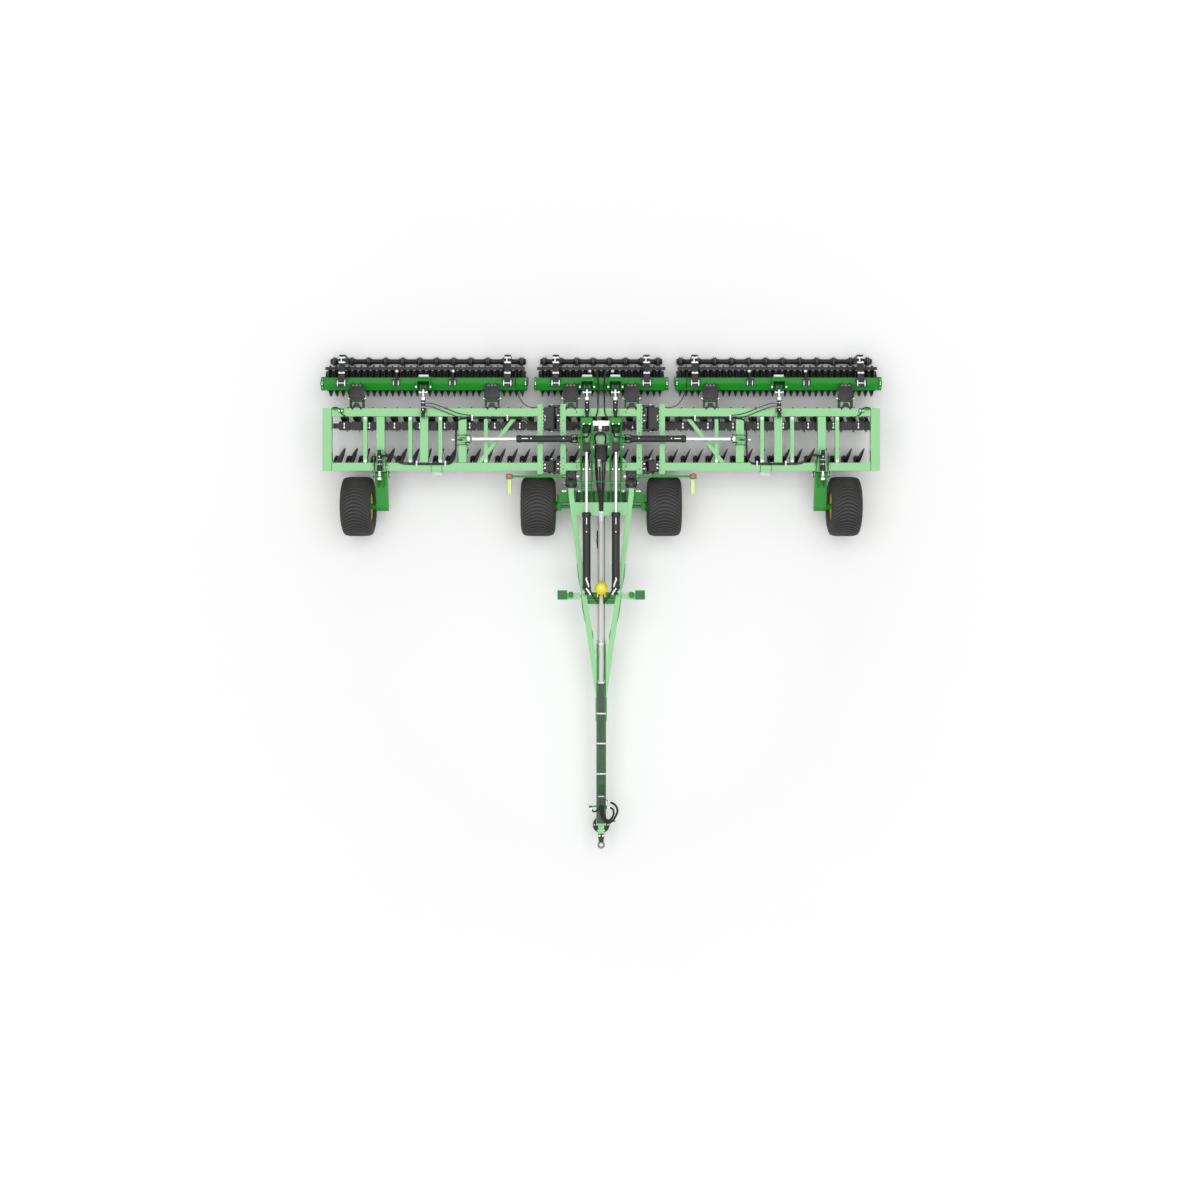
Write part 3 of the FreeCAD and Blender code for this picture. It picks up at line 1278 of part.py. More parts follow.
def tube(name, points, radius):
    """A round tube along straight runs joined by tangent arcs."""
    edges = []
    start = points[0]
    for number in range(1, len(points) - 1):
        corner = points[number]
        back = points[number - 1] - corner
        ahead = points[number + 1] - corner
        reach = 0.45 * min(back.Length, ahead.Length)
        before = corner + back / back.Length * reach
        after = corner + ahead / ahead.Length * reach
        turn = math.pi - back.getAngle(ahead)
        arc_radius = reach / math.tan(turn / 2)
        inward = back / back.Length + ahead / ahead.Length
        middle = corner + inward / inward.Length * (arc_radius / math.cos(turn / 2) - arc_radius)
        edges.append(Part.LineSegment(start, before).toShape())
        edges.append(Part.Arc(before, middle, after).toShape())
        start = after
    edges.append(Part.LineSegment(start, points[-1]).toShape())
    path = Part.Wire(edges)
    first = points[1] - points[0]
    section = Part.Wire([Part.makeCircle(radius, points[0], first)])
    feature = doc.addObject("Part::Feature", name)
    feature.Shape = path.makePipeShell([section], True, False)
    return feature


def hose_run():
    """The hose conduit between the legs, and the hoses clipped along the single beam."""
    radius = read("conduit_radius")
    end_y = read("conduit_end_y")
    lift = read("bar_height") * HALF
    over = lift + radius + read("conduit_gap")
    rear = Vector(0, read("cross_y") - read("cross_depth") * HALF - read("conduit_seat"), read("tilt_z") + radius)
    crest = Vector(0, read("member_y"), bar_height_at(read("member_y")) + over)
    end = Vector(0, end_y, bar_height_at(end_y) + over)
    node("hose_conduit", tube("HoseConduit", [rear, crest, end], radius))
    hoses = []
    count = int(read("hose_count"))
    hose = read("hose_radius")
    for number in range(count):
        x = (number - (count - 1) * HALF) * read("hose_step")
        far = read("bar_end_y") + 40
        start = Vector(x, end_y - 12, bar_height_at(end_y - 12) + lift + hose + 0.8)
        finish = Vector(x, far, bar_height_at(far) + lift + hose + 0.8)
        hoses.append(pole("hose_" + str(number), start, finish, hose))
    node("hose_bundle", group("HoseBundle", hoses))


# --- Assembly ----------------------------------------------------------------

def build():
    """Build every sub-part."""
    fill_sheet()
    tongue_frame()
    wing_rests()
    hitch_eye()
    parking_jack()
    accumulator()
    hose_run()
    centre_frame()
    hinge_lugs()
    tilt_towers()
    transport_axle()
    manifold()
    lamp_bars()
    first = "-disc_first"
    step = " * disc_pitch"
    disc_gang("left", (first, 18), (first + " + 0.5" + step, 17), ("-(frame_half - end_width)", "-gang_end"))
    disc_gang("centre", (first + " + 18" + step, 8), (first + " + 17.5" + step, 8),
              ("-(fold_x - 50)", "fold_x - 50"))
    disc_gang("right", (first + " + 26" + step, 17), (first + " + 25.5" + step, 18),
              ("gang_end", "frame_half - end_width"))
    for side, sign in SIDES.items():
        wing_frame(side, sign)
        wing_hinge(side, sign)
        wheel_arm(side, sign)
        wheel(side, sign, "transport", "transport_x", "transport_width")
        wheel(side, sign, "wing", "wing_wheel_x", "tyre_width")
        beam_span = across(sign, "roller_beam_in", "roller_beam_out")
        roller_frame(side, beam_span,
                     [flip(sign, "wing_bracket_out"), flip(sign, "wing_bracket_in")],
                     [flip(sign, "press_x")], [flip(sign, "arm_out"), flip(sign, "arm_in")])
        ring_roller(side, across(sign, "roller_in", "roller_out"), beam_span)
        gap = "(arm_thickness / 2 + 10)"
        cells = [
            across(sign, "roller_in + 20", "arm_in - " + gap),
            across(sign, "arm_in + " + gap, "arm_out - " + gap),
            across(sign, "arm_out + " + gap, "roller_out - 20"),
        ]
        basket(side, cells if sign > 0 else cells[::-1])
    centre_span = about(0, "roller_beam_centre")
    roller_frame("centre", centre_span, ["-centre_bracket", "centre_bracket"],
                 ["-press_centre_x", "press_centre_x"], ["-arm_centre", "arm_centre"])
    ring_roller("centre", about(0, "roller_centre"), centre_span)
    gap = "(arm_thickness / 2 + 10)"
    basket("centre", [
        ("-(roller_centre - 20)", "-arm_centre - " + gap),
        ("-arm_centre + " + gap, "arm_centre - " + gap),
        ("arm_centre + " + gap, "roller_centre - 20"),
    ])
    all_cylinders()


def write_parts():
    """Check every object, then write each sub-part as its own STEP file."""
    doc.recompute()
    for item in doc.Objects:
        faults = [state for state in item.State if state in ("Invalid", "Error")]
        if faults:
            raise RuntimeError(item.Label + " did not build: " + ", ".join(faults))
    for solid in nodes:
        if solid.Shape.isNull() or not solid.Shape.isValid():
            raise RuntimeError(solid.Label + " has no valid shape")
    os.makedirs("parts", exist_ok=True)
    for solid in nodes:
        solid.Shape.exportStep("parts/" + solid.Label + ".step")
    print(len(nodes), "sub-parts written")


build()
write_parts()
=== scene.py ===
"""Dress of a folding high-speed disc harrow, working position.

Metres, X across the machine, Y from the drawbar to the rollers, Z up from the ground.
"""

from __future__ import annotations

import logging
import math
from dataclasses import dataclass, field
from enum import Enum
from typing import Iterable, Sequence

import bmesh
import bpy
from mathutils import Matrix, Vector

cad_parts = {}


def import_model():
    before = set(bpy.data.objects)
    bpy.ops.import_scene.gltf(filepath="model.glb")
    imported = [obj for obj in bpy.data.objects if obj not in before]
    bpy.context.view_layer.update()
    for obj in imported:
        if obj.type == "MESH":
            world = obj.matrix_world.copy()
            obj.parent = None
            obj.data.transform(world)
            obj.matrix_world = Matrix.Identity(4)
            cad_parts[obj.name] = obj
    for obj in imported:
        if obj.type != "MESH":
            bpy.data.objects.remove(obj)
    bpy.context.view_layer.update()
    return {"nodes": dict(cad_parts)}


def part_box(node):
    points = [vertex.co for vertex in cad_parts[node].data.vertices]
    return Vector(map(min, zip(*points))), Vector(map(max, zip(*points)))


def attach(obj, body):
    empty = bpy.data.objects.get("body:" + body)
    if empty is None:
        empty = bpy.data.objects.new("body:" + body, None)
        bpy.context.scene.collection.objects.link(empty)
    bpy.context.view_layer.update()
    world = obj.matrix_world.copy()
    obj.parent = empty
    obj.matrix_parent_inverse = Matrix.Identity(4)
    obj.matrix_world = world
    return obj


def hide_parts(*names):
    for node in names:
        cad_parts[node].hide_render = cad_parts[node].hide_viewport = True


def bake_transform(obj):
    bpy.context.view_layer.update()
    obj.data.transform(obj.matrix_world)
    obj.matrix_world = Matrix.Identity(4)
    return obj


LOG = logging.getLogger("disc_harrow")

# Radii of the bevels, in metres.
THIN_EDGE = 0.002
FINE_EDGE = 0.003
EDGE = 0.004
SOFT_EDGE = 0.006
# Angle, in degrees, past which the edge between two faces is shaded sharp.
SHARP_ANGLE = 34
# Points nearer than this, in metres, are one point.
SAME_POINT = 1e-5

Point = Sequence[float]
SIDES = {"left": -1.0, "right": 1.0}
SECTIONS = ("left", "centre", "right")

# Places that several pieces share, in metres: the towers, the wing wheels' arms and the outer press
# cylinders on each side, and the line of the fold cylinders along the machine.
TOWER_X = 0.288
ARM_X = 4.38
PRESS_X = 3.515
FOLD_Y = 3.22


# --- Finishes ---

def set_inputs(target: bpy.types.Node, values: dict[str, float | Sequence[float]]) -> None:
    """Set the inputs of a node by their names."""
    for name, value in values.items():
        target.inputs[name].default_value = value


def add_node(tree: bpy.types.NodeTree, kind: str, values: dict[str, float | Sequence[float]]
        | None = None) -> bpy.types.Node:
    """Add a shader node.

    Args:
        tree: The tree that gets it.
        kind: Its type, without the "ShaderNode" that all of them start with.
        values: Values of its inputs by name.

    Returns:
        The node.
    """
    made = tree.nodes.new("ShaderNode" + kind)
    set_inputs(made, values or {})
    return made


def wire(tree: bpy.types.NodeTree, *pairs: tuple[bpy.types.NodeSocket, bpy.types.NodeSocket]) -> None:
    """Link outputs to inputs."""
    for source, target in pairs:
        tree.links.new(source, target)


@dataclass(frozen=True)
class Finish:
    """A surface with its colour drift, its gloss and its fine relief.

    Attributes:
        name: Name of the material.
        colour: Main colour, linear.
        aged: Colour of the patches where it is dusty or faded.
        roughness: Roughness of the clean surface.
        metallic: Share of bare metal.
        coat: Weight of the clear coat.
        grain: Size of the colour patches, in cycles per metre.
        relief: Height of the fine relief, in metres.
        rounding: Radius that edges appear rounded to, in metres.
        ageing: Share of the aged colour at most.
        specular: Level of the mirror-like reflection, 0.5 for most surfaces.
    """

    name: str
    colour: tuple[float, float, float]
    aged: tuple[float, float, float]
    roughness: float
    metallic: float = 0.0
    coat: float = 0.0
    grain: float = 6.0
    relief: float = 0.0004
    rounding: float = 0.0
    ageing: float = 0.6
    specular: float = 0.5

    def material(self) -> bpy.types.Material:
        """The node material of this finish, made once.

        Returns:
            The material, shared by every piece that has this finish.
        """
        known = bpy.data.materials.get(self.name)
        if known is not None:
            return known
        made = bpy.data.materials.new(self.name)
        made.use_nodes = True
        tree = made.node_tree
        shader = tree.nodes["Principled BSDF"]
        set_inputs(shader, {"Metallic": self.metallic, "Coat Weight": self.coat, "Coat Roughness": 0.06,
                "Specular IOR Level": self.specular})
        place = add_node(tree, "TexCoord").outputs["Object"]
        patches = add_node(tree, "TexNoise", {"Scale": self.grain, "Detail": 6.0, "Roughness": 0.6})
        spread = add_node(tree, "MapRange", {"From Min": 0.42, "From Max": 0.72, "To Max": self.ageing})
        tint = add_node(tree, "Mix")
        tint.data_type = "RGBA"
        set_inputs(tint, {"A": (*self.colour, 1.0), "B": (*self.aged, 1.0)})
        gloss = add_node(tree, "MapRange",
            {"To Min": max(self.roughness - 0.06, 0.03), "To Max": min(self.roughness + 0.12, 1.0)})
        fine = add_node(tree, "TexNoise", {"Scale": self.grain * 25.0, "Detail": 3.0})
        bump = add_node(tree, "Bump", {"Strength": 0.5, "Distance": self.relief})
        wire(tree, (place, patches.inputs["Vector"]), (place, fine.inputs["Vector"]),
            (patches.outputs["Fac"], spread.inputs["Value"]),
            (spread.outputs["Result"], tint.inputs["Factor"]),
            (tint.outputs["Result"], shader.inputs["Base Color"]),
            (patches.outputs["Fac"], gloss.inputs["Value"]),
            (gloss.outputs["Result"], shader.inputs["Roughness"]),
            (fine.outputs["Fac"], bump.inputs["Height"]), (bump.outputs["Normal"], shader.inputs["Normal"]))
        if self.rounding:
            edge = add_node(tree, "Bevel", {"Radius": self.rounding})
            edge.samples = 4
            wire(tree, (edge.outputs["Normal"], bump.inputs["Normal"]))
        return made


# The green paint lightened to paint in the sheen that the overhead light puts on the frames' upper faces.
LIT_GREEN_PAINT = Finish("lit_green_paint", (0.16, 0.56, 0.165), (0.18, 0.58, 0.185), 0.2, coat=1.0, grain=3.0,
    rounding=0.014, specular=0.6)
ARM_PAINT = Finish("arm_paint", (0.01, 0.29, 0.018), (0.016, 0.32, 0.026), 0.36, coat=0.12, grain=4.0,
    rounding=0.014, specular=0.3)
# A darker copy of the green paint: weld seams and small plates, and painted shade along tube edges, in
# channels and beside the conduit.
SEAM_AND_SHADE_PAINT = Finish("seam_and_shade_paint", (0.01, 0.13, 0.02), (0.02, 0.17, 0.03), 0.4, grain=8.0)
BLACK_PAINT = Finish("black_paint", (0.012, 0.012, 0.013), (0.034, 0.034, 0.032), 0.42, coat=0.05)
YELLOW_PAINT = Finish("yellow_paint", (0.62, 0.59, 0.03), (0.5, 0.46, 0.035), 0.45, coat=0.1)
CHROME = Finish("chrome_rod", (0.86, 0.86, 0.87), (0.78, 0.78, 0.79), 0.1, metallic=1.0, grain=9.0,
    relief=0.00005, ageing=0.4)
ZINC = Finish("zinc_plate", (0.74, 0.75, 0.76), (0.55, 0.56, 0.57), 0.32, metallic=1.0, grain=30.0)
DISC_STEEL = Finish("disc_steel", (0.02, 0.02, 0.021), (0.09, 0.088, 0.085), 0.4, metallic=0.35, grain=12.0)
TREAD_RUBBER = Finish("tread_rubber", (0.034, 0.033, 0.032), (0.05, 0.049, 0.047), 0.55, grain=10.0,
    relief=0.0005)
TYRE_RUBBER = Finish("tyre_rubber", (0.016, 0.016, 0.017), (0.035, 0.034, 0.033), 0.62, grain=10.0,
    relief=0.0006)
HOSE_SLEEVE = Finish("hose_sleeve", (0.075, 0.1, 0.08), (0.12, 0.14, 0.12), 0.6, grain=12.0)
# A near-black green: painted shade under lids, between plates and on the axle's and drawbar's tops.
DEEP_SHADE_PAINT = Finish("deep_shade_paint", (0.003, 0.045, 0.006), (0.006, 0.06, 0.01), 0.5, grain=8.0)
HOSE_RUBBER = Finish("hose_rubber", (0.02, 0.02, 0.021), (0.04, 0.04, 0.04), 0.5, grain=30.0)
PALE_PLASTIC = Finish("pale_plastic", (0.72, 0.86, 0.68), (0.6, 0.72, 0.56), 0.35, grain=8.0)
VALVE_ALLOY = Finish("valve_alloy", (0.5, 0.51, 0.52), (0.36, 0.37, 0.38), 0.55, grain=20.0, specular=0.3)
FORGED_STEEL = Finish("forged_steel", (0.16, 0.16, 0.165), (0.09, 0.088, 0.085), 0.5, metallic=0.7,
    grain=14.0)
LAMP_RED = Finish("lamp_red", (0.52, 0.09, 0.07), (0.42, 0.07, 0.06), 0.18, coat=0.8, grain=40.0)
LAMP_YELLOW = Finish("lamp_yellow", (0.72, 0.86, 0.3), (0.6, 0.75, 0.25), 0.25, coat=0.5, grain=40.0)
WHITE_PLASTIC = Finish("white_plastic", (0.82, 0.83, 0.84), (0.7, 0.7, 0.69), 0.3, grain=20.0)
# The finish that most shapes of a slot's pieces have.
USUAL_FINISH = {"bare_steel": DISC_STEEL, "black_paint": BLACK_PAINT, "chrome_rod": ZINC,
    "forged_steel": FORGED_STEEL, "green_paint": ARM_PAINT, "hose_rubber": HOSE_RUBBER,
    "tyre_rubber": TYRE_RUBBER, "valve_alloy": VALVE_ALLOY, "yellow_paint": YELLOW_PAINT}


# --- Shapes ---

def block(low: Point, high: Point, bevel: float = EDGE, segments: int = 2) -> bmesh.types.BMesh:
    """A rectangular block with rounded edges.

    Args:
        low: One corner.
        high: The opposite corner.
        bevel: Radius of the edges.
        segments: Steps round each edge.

    Returns:
        The block's mesh.
    """
    made = bmesh.new()
    bmesh.ops.create_cube(made, size=1.0)
    size = [abs(far - near) for near, far in zip(low, high)]
    bmesh.ops.scale(made, vec=size, verts=made.verts)
    bmesh.ops.translate(made, vec=(Vector(high) + Vector(low)) / 2, verts=made.verts)
    return rounded(made, bevel, segments)


def rounded(shape: bmesh.types.BMesh, bevel: float, segments: int = 2,
        least: float = 0.6) -> bmesh.types.BMesh:
    """A shape with its sharp edges bevelled.

    Args:
        shape: The mesh, changed in place.
        bevel: Radius of the edges; 0 leaves them sharp.
        segments: Steps round each edge.
        least: Smallest angle between two faces, in radians, whose edge is bevelled.

    Returns:
        The same mesh.
    """
    if bevel:
        sharp = [edge for edge in shape.edges if edge.calc_face_angle(0.0) > least]
        bmesh.ops.bevel(shape, geom=sharp, offset=bevel, segments=segments, profile=0.5, affect="EDGES",
            material=-1, clamp_overlap=True)
    return shape


def rod(start: Point, end: Point, radius: float, sides: int = 20, bevel: float = 0.0,
        end_radius: float | None = None) -> bmesh.types.BMesh:
    """A round bar, or a cone where end_radius is given, between two points.

    Args:
        start: Middle of the first end.
        end: Middle of the far end.
        radius: Radius at the start.
        sides: Steps round the bar.
        bevel: Radius of the end edges.
        end_radius: Radius at the far end.

    Returns:
        The bar's mesh.
    """
    made = bmesh.new()
    run = Vector(end) - Vector(start)
    far = radius if end_radius is None else end_radius
    bmesh.ops.create_cone(made, cap_ends=True, segments=sides, radius1=radius, radius2=far, depth=run.length)
    rounded(made, bevel)
    way = Vector((0, 0, 1)).rotation_difference(run).to_matrix().to_4x4()
    middle = Matrix.Translation((Vector(end) + Vector(start)) / 2)
    bmesh.ops.transform(made, matrix=middle @ way, verts=made.verts)
    return made


def turned(profile: Sequence[tuple[float, float]], steps: int = 48) -> bmesh.types.BMesh:
    """A closed solid turned about X from a profile of (x, radius) points.

    Args:
        profile: Points along the outline; the ends lie on the axis or are joined into a loop.
        steps: Steps round the axis.

    Returns:
        The turned mesh, centred on the X axis.
    """
    made = bmesh.new()
    points = [made.verts.new((x, 0.0, radius)) for x, radius in profile]
    edges = [made.edges.new(pair) for pair in zip(points, points[1:])]
    if profile[0][1] > 0.0:
        edges.append(made.edges.new((points[-1], points[0])))
    bmesh.ops.spin(made, geom=points + edges, cent=(0, 0, 0), axis=(1, 0, 0), angle=2 * math.pi, steps=steps,
        use_merge=True)
    bmesh.ops.remove_doubles(made, verts=made.verts, dist=SAME_POINT)
    bmesh.ops.recalc_face_normals(made, faces=made.faces)
    return made


class Plane(Enum):
    """The plane that a slab's outline is drawn in."""

    YZ = "x"
    XZ = "y"
    XY = "z"


def slab(plane: Plane, outline: Sequence[tuple[float, float]], low: float, high: float,
        bevel: float = FINE_EDGE) -> bmesh.types.BMesh:
    """A plate with a drawn outline.

    Args:
        plane: The plane of the outline.
        outline: Its points, in that plane's two axes.
        low: One face of the plate, across the plane.
        high: The other face.
        bevel: Radius of the edges.

    Returns:
        The plate's mesh.
    """
    low, high = sorted((low, high))

    def corner(u: float, v: float) -> tuple[float, float, float]:
        """A point of the outline on the plate's low face."""
        return {Plane.YZ: (low, u, v), Plane.XZ: (u, low, v), Plane.XY: (u, v, low)}[plane]

    made = bmesh.new()
    face = made.faces.new([made.verts.new(corner(u, v)) for u, v in outline])
    lift = Vector({Plane.YZ: (1, 0, 0), Plane.XZ: (0, 1, 0), Plane.XY: (0, 0, 1)}[plane])
    raised = bmesh.ops.extrude_face_region(made, geom=[face], use_keep_orig=True)["geom"]
    bmesh.ops.translate(made, vec=lift * (high - low),
        verts=[item for item in raised if isinstance(item, bmesh.types.BMVert)])
    bmesh.ops.recalc_face_normals(made, faces=made.faces)
    return rounded(made, bevel)


def hose(points: Sequence[Point], radius: float, sides: int = 4, closed: bool = False) -> bmesh.types.BMesh:
    """A round hose along a smooth line.

    Args:
        points: Control points of its line.
        radius: The hose's radius.
        sides: Steps round half the hose, as a curve's bevel counts them.
        closed: Whether the line joins its own start.

    Returns:
        The hose's mesh with capped ends.
    """
    line = bpy.data.curves.new("hose_line", "CURVE")
    line.dimensions = "3D"
    spline = line.splines.new("NURBS")
    spline.points.add(len(points) - 1)
    for held, place in zip(spline.points, points):
        held.co = (*place, 1.0)
    spline.order_u = 3
    spline.use_endpoint_u = not closed
    spline.use_cyclic_u = closed
    spline.resolution_u = 6
    line.bevel_depth = radius
    line.bevel_resolution = sides
    line.use_fill_caps = True
    holder = bpy.data.objects.new("hose_line", line)
    bpy.context.scene.collection.objects.link(holder)
    graph = bpy.context.evaluated_depsgraph_get()
    data = bpy.data.meshes.new_from_object(holder.evaluated_get(graph))
    made = bmesh.new()
    made.from_mesh(data)
    bpy.data.objects.remove(holder)
    bpy.data.meshes.remove(data)
    bpy.data.curves.remove(line)
    bmesh.ops.remove_doubles(made, verts=made.verts, dist=SAME_POINT)
    bmesh.ops.recalc_face_normals(made, faces=made.faces)
    return made


def bolt(size: float, proud: float) -> bmesh.types.BMesh:
    """A hexagon head on its washer, standing on the XY plane at the origin.

    Args:
        size: Width across the head.
        proud: Height of the head over its washer.

    Returns:
        The fastener's mesh.
    """
    made = rod((0, 0, -0.002), (0, 0, proud * 0.25), size * 0.75, sides=14)
    data = bpy.data.meshes.new("head")
    head = rod((0, 0, proud * 0.2), (0, 0, proud), size * 0.55, sides=6, bevel=proud * 0.12)
    head.to_mesh(data)
    head.free()
    made.from_mesh(data)
    bpy.data.meshes.remove(data)
    return made


def at(place: Point, way: Matrix | None = None) -> Matrix:
    """A placement: a turn and then a move."""
    return Matrix.Translation(Vector(place)) @ (way or Matrix.Identity(4))


def turn(degrees: float, axis: str) -> Matrix:
    """A turn about one of the axes."""
    return Matrix.Rotation(math.radians(degrees), 4, axis)


def facing(direction: Point) -> Matrix:
    """The turn that lays Z along a direction."""
    return Vector((0, 0, 1)).rotation_difference(Vector(direction)).to_matrix().to_4x4()


@dataclass
class Piece:
    """One object in the making, gathered from smaller shapes in one or more finishes.

    Attributes:
        name: Name of the object.
        body: Body that it rides on.
        slot: Slot of the record that its main finish belongs to.
    """

    name: str
    body: str
    slot: str
    mesh: bmesh.types.BMesh = field(default_factory=bmesh.new)
    finishes: list[Finish] = field(default_factory=list)

    def add(self, shape: bmesh.types.BMesh, finish: Finish | None = None,
            places: Iterable[Matrix] = (Matrix.Identity(4),)) -> None:
        """Stamp a shape into the piece once for each place, and let the shape go.

        Args:
            shape: The shape's mesh.
            finish: Its finish; the usual one of the piece's slot if none is given.
            places: Where it goes.
        """
        finish = finish or USUAL_FINISH[self.slot]
        if finish not in self.finishes:
            self.finishes.append(finish)
        number = self.finishes.index(finish)
        for face in shape.faces:
            face.material_index = number
        pattern = bpy.data.meshes.new("pattern")
        shape.to_mesh(pattern)
        shape.free()
        for place in places:
            copy = pattern.copy()
            copy.transform(place)
            if place.determinant() < 0:
                copy.flip_normals()
            self.mesh.from_mesh(copy)
            bpy.data.meshes.remove(copy)
        bpy.data.meshes.remove(pattern)

    def done(self, replaces: Sequence[str] = (), joined: tuple[str, str, Point, Point]
            | None = None) -> bpy.types.Object:
        """Make the object and put it on its body, or, where joined is given, leave it unparented in world
        space.

        Args:
            replaces: CAD nodes that it stands for.
            joined: The two bodies of a piece that crosses a joint, and where it does; only whether it is
                given is read.

        Returns:
            The finished object.
        """
        data = bpy.data.meshes.new(self.name)
        self.mesh.to_mesh(data)
        self.mesh.free()
        for finish in self.finishes:
            data.materials.append(finish.material())
        data.shade_smooth()
        data.set_sharp_from_angle(angle=math.radians(SHARP_ANGLE))
        made = bpy.data.objects.new(self.name, data)
        bpy.context.scene.collection.objects.link(made)
        if joined:
            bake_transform(made)
        else:
            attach(made, self.body)
        if replaces:
            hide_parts(*replaces)
        LOG.info("%s on %s: %d faces", self.name, self.body, len(data.polygons))
        return made


# --- Studio ---

@dataclass
class Studio:
    """The floor, the light and the camera.

    Attributes:
        floor_half: Half the floor's width.
        lamp_side: Side of the square lamp.
        lamp_height: Height of the lamp over the floor.
        lamp_power: Its power, in watts.
        sky: Strength of the sky's light.
        eye: Place of the camera.
        lens: Its focal length, in millimetres.
        white_from: Distance from the machine where the floor starts to look whiter.
        white_to: Distance where it looks whitest.
        near_lift: How much whiter it looks at the machine.
        white_lift: How much whiter it looks far away.
    """

    floor_half: float = 60.0
    lamp_side: float = 26.0
    lamp_height: float = 21.0
    lamp_power: float = 3250.0
    sky: float = 0.485
    eye: tuple[float, float, float] = (-0.024, 0.042, 34.0)
    lens: float = 50.0
    white_from: float = 5.0
    white_to: float = 41.0
    near_lift: float = 0.05
    white_lift: float = 0.75

    @staticmethod
    def seen_rays(tree: bpy.types.NodeTree) -> bpy.types.NodeSocket:
        """Tell the rays that show the background from those that light the machine.

        Args:
            tree: Nodes of the floor or the sky.

        Returns:
            A value of 1 for camera, glossy and transmission rays.
        """
        path = add_node(tree, "LightPath")
        found = path.outputs["Is Camera Ray"]
        for name in ("Is Glossy Ray", "Is Transmission Ray"):
            either = add_node(tree, "Math")
            either.operation = "MAXIMUM"
            wire(tree, (found, either.inputs[0]), (path.outputs[name], either.inputs[1]))
            found = either.outputs["Value"]
        return found

    def floor_finish(self) -> bpy.types.Material:
        """The floor's finish, which looks white far from the machine and keeps the shadow near it.

        Returns:
            The floor's material.
        """
        made = Finish("studio_floor", (0.965, 0.965, 0.97), (0.955, 0.955, 0.96), 0.9, grain=0.3,
            relief=0.0).material()
        tree = made.node_tree
        place = add_node(tree, "TexCoord")
        reach = add_node(tree, "VectorMath")
        reach.operation = "LENGTH"
        lift = add_node(tree, "MapRange", {"From Min": self.white_from, "From Max": self.white_to,
                "To Min": self.near_lift, "To Max": self.white_lift})
        held = add_node(tree, "Math")
        held.operation = "MULTIPLY"
        glow = add_node(tree, "Emission")
        both = add_node(tree, "AddShader")
        wire(tree, (place.outputs["Object"], reach.inputs[0]), (reach.outputs["Value"], lift.inputs["Value"]),
            (lift.outputs["Result"], held.inputs[0]), (self.seen_rays(tree), held.inputs[1]),
            (held.outputs["Value"], glow.inputs["Strength"]), (tree.nodes["Principled BSDF"].outputs["BSDF"],
                both.inputs[0]), (glow.outputs["Emission"], both.inputs[1]),
            (both.outputs["Shader"], tree.nodes["Material Output"].inputs["Surface"]))
        return made

    def white_sky(self, tree: bpy.types.NodeTree) -> None:
        """Light the scene with an even sky that the camera sees as white.

        Args:
            tree: The world's nodes.
        """
        even = tree.nodes["Background"]
        even.inputs["Color"].default_value = (1, 1, 1, 1)
        level = add_node(tree, "MapRange", {"To Min": self.sky, "To Max": 1.0})
        wire(tree, (self.seen_rays(tree), level.inputs["Value"]),
            (level.outputs["Result"], even.inputs["Strength"]))

    def build(self) -> None:
        """Make the floor, the sky, the lamp and the camera."""
        scene = bpy.context.scene
        scene.view_settings.view_transform = "Standard"
        ground = bmesh.new()
        bmesh.ops.create_grid(ground, x_segments=2, y_segments=2, size=self.floor_half)
        data = bpy.data.meshes.new("studio_floor")
        ground.to_mesh(data)
        ground.free()
        data.materials.append(self.floor_finish())
        floor = bpy.data.objects.new("studio_floor", data)
        scene.collection.objects.link(floor)
        world = bpy.data.worlds.new("studio_sky")
        world.use_nodes = True
        self.white_sky(world.node_tree)
        scene.world = world
        lamp = bpy.data.lights.new("softbox", "AREA")
        lamp.shape = "SQUARE"
        lamp.size = self.lamp_side
        lamp.energy = self.lamp_power
        holder = bpy.data.objects.new("softbox", lamp)
        holder.location = (0.0, 0.0, self.lamp_height)
        holder.visible_camera = False
        scene.collection.objects.link(holder)
        view = bpy.data.cameras.new("camera")
        view.lens = self.lens
        view.sensor_width = 36.0
        view.clip_end = 200.0
        camera = bpy.data.objects.new("camera", view)
        camera.location = self.eye
        scene.collection.objects.link(camera)
        scene.camera = camera


# --- Paintwork of the CAD nodes ---

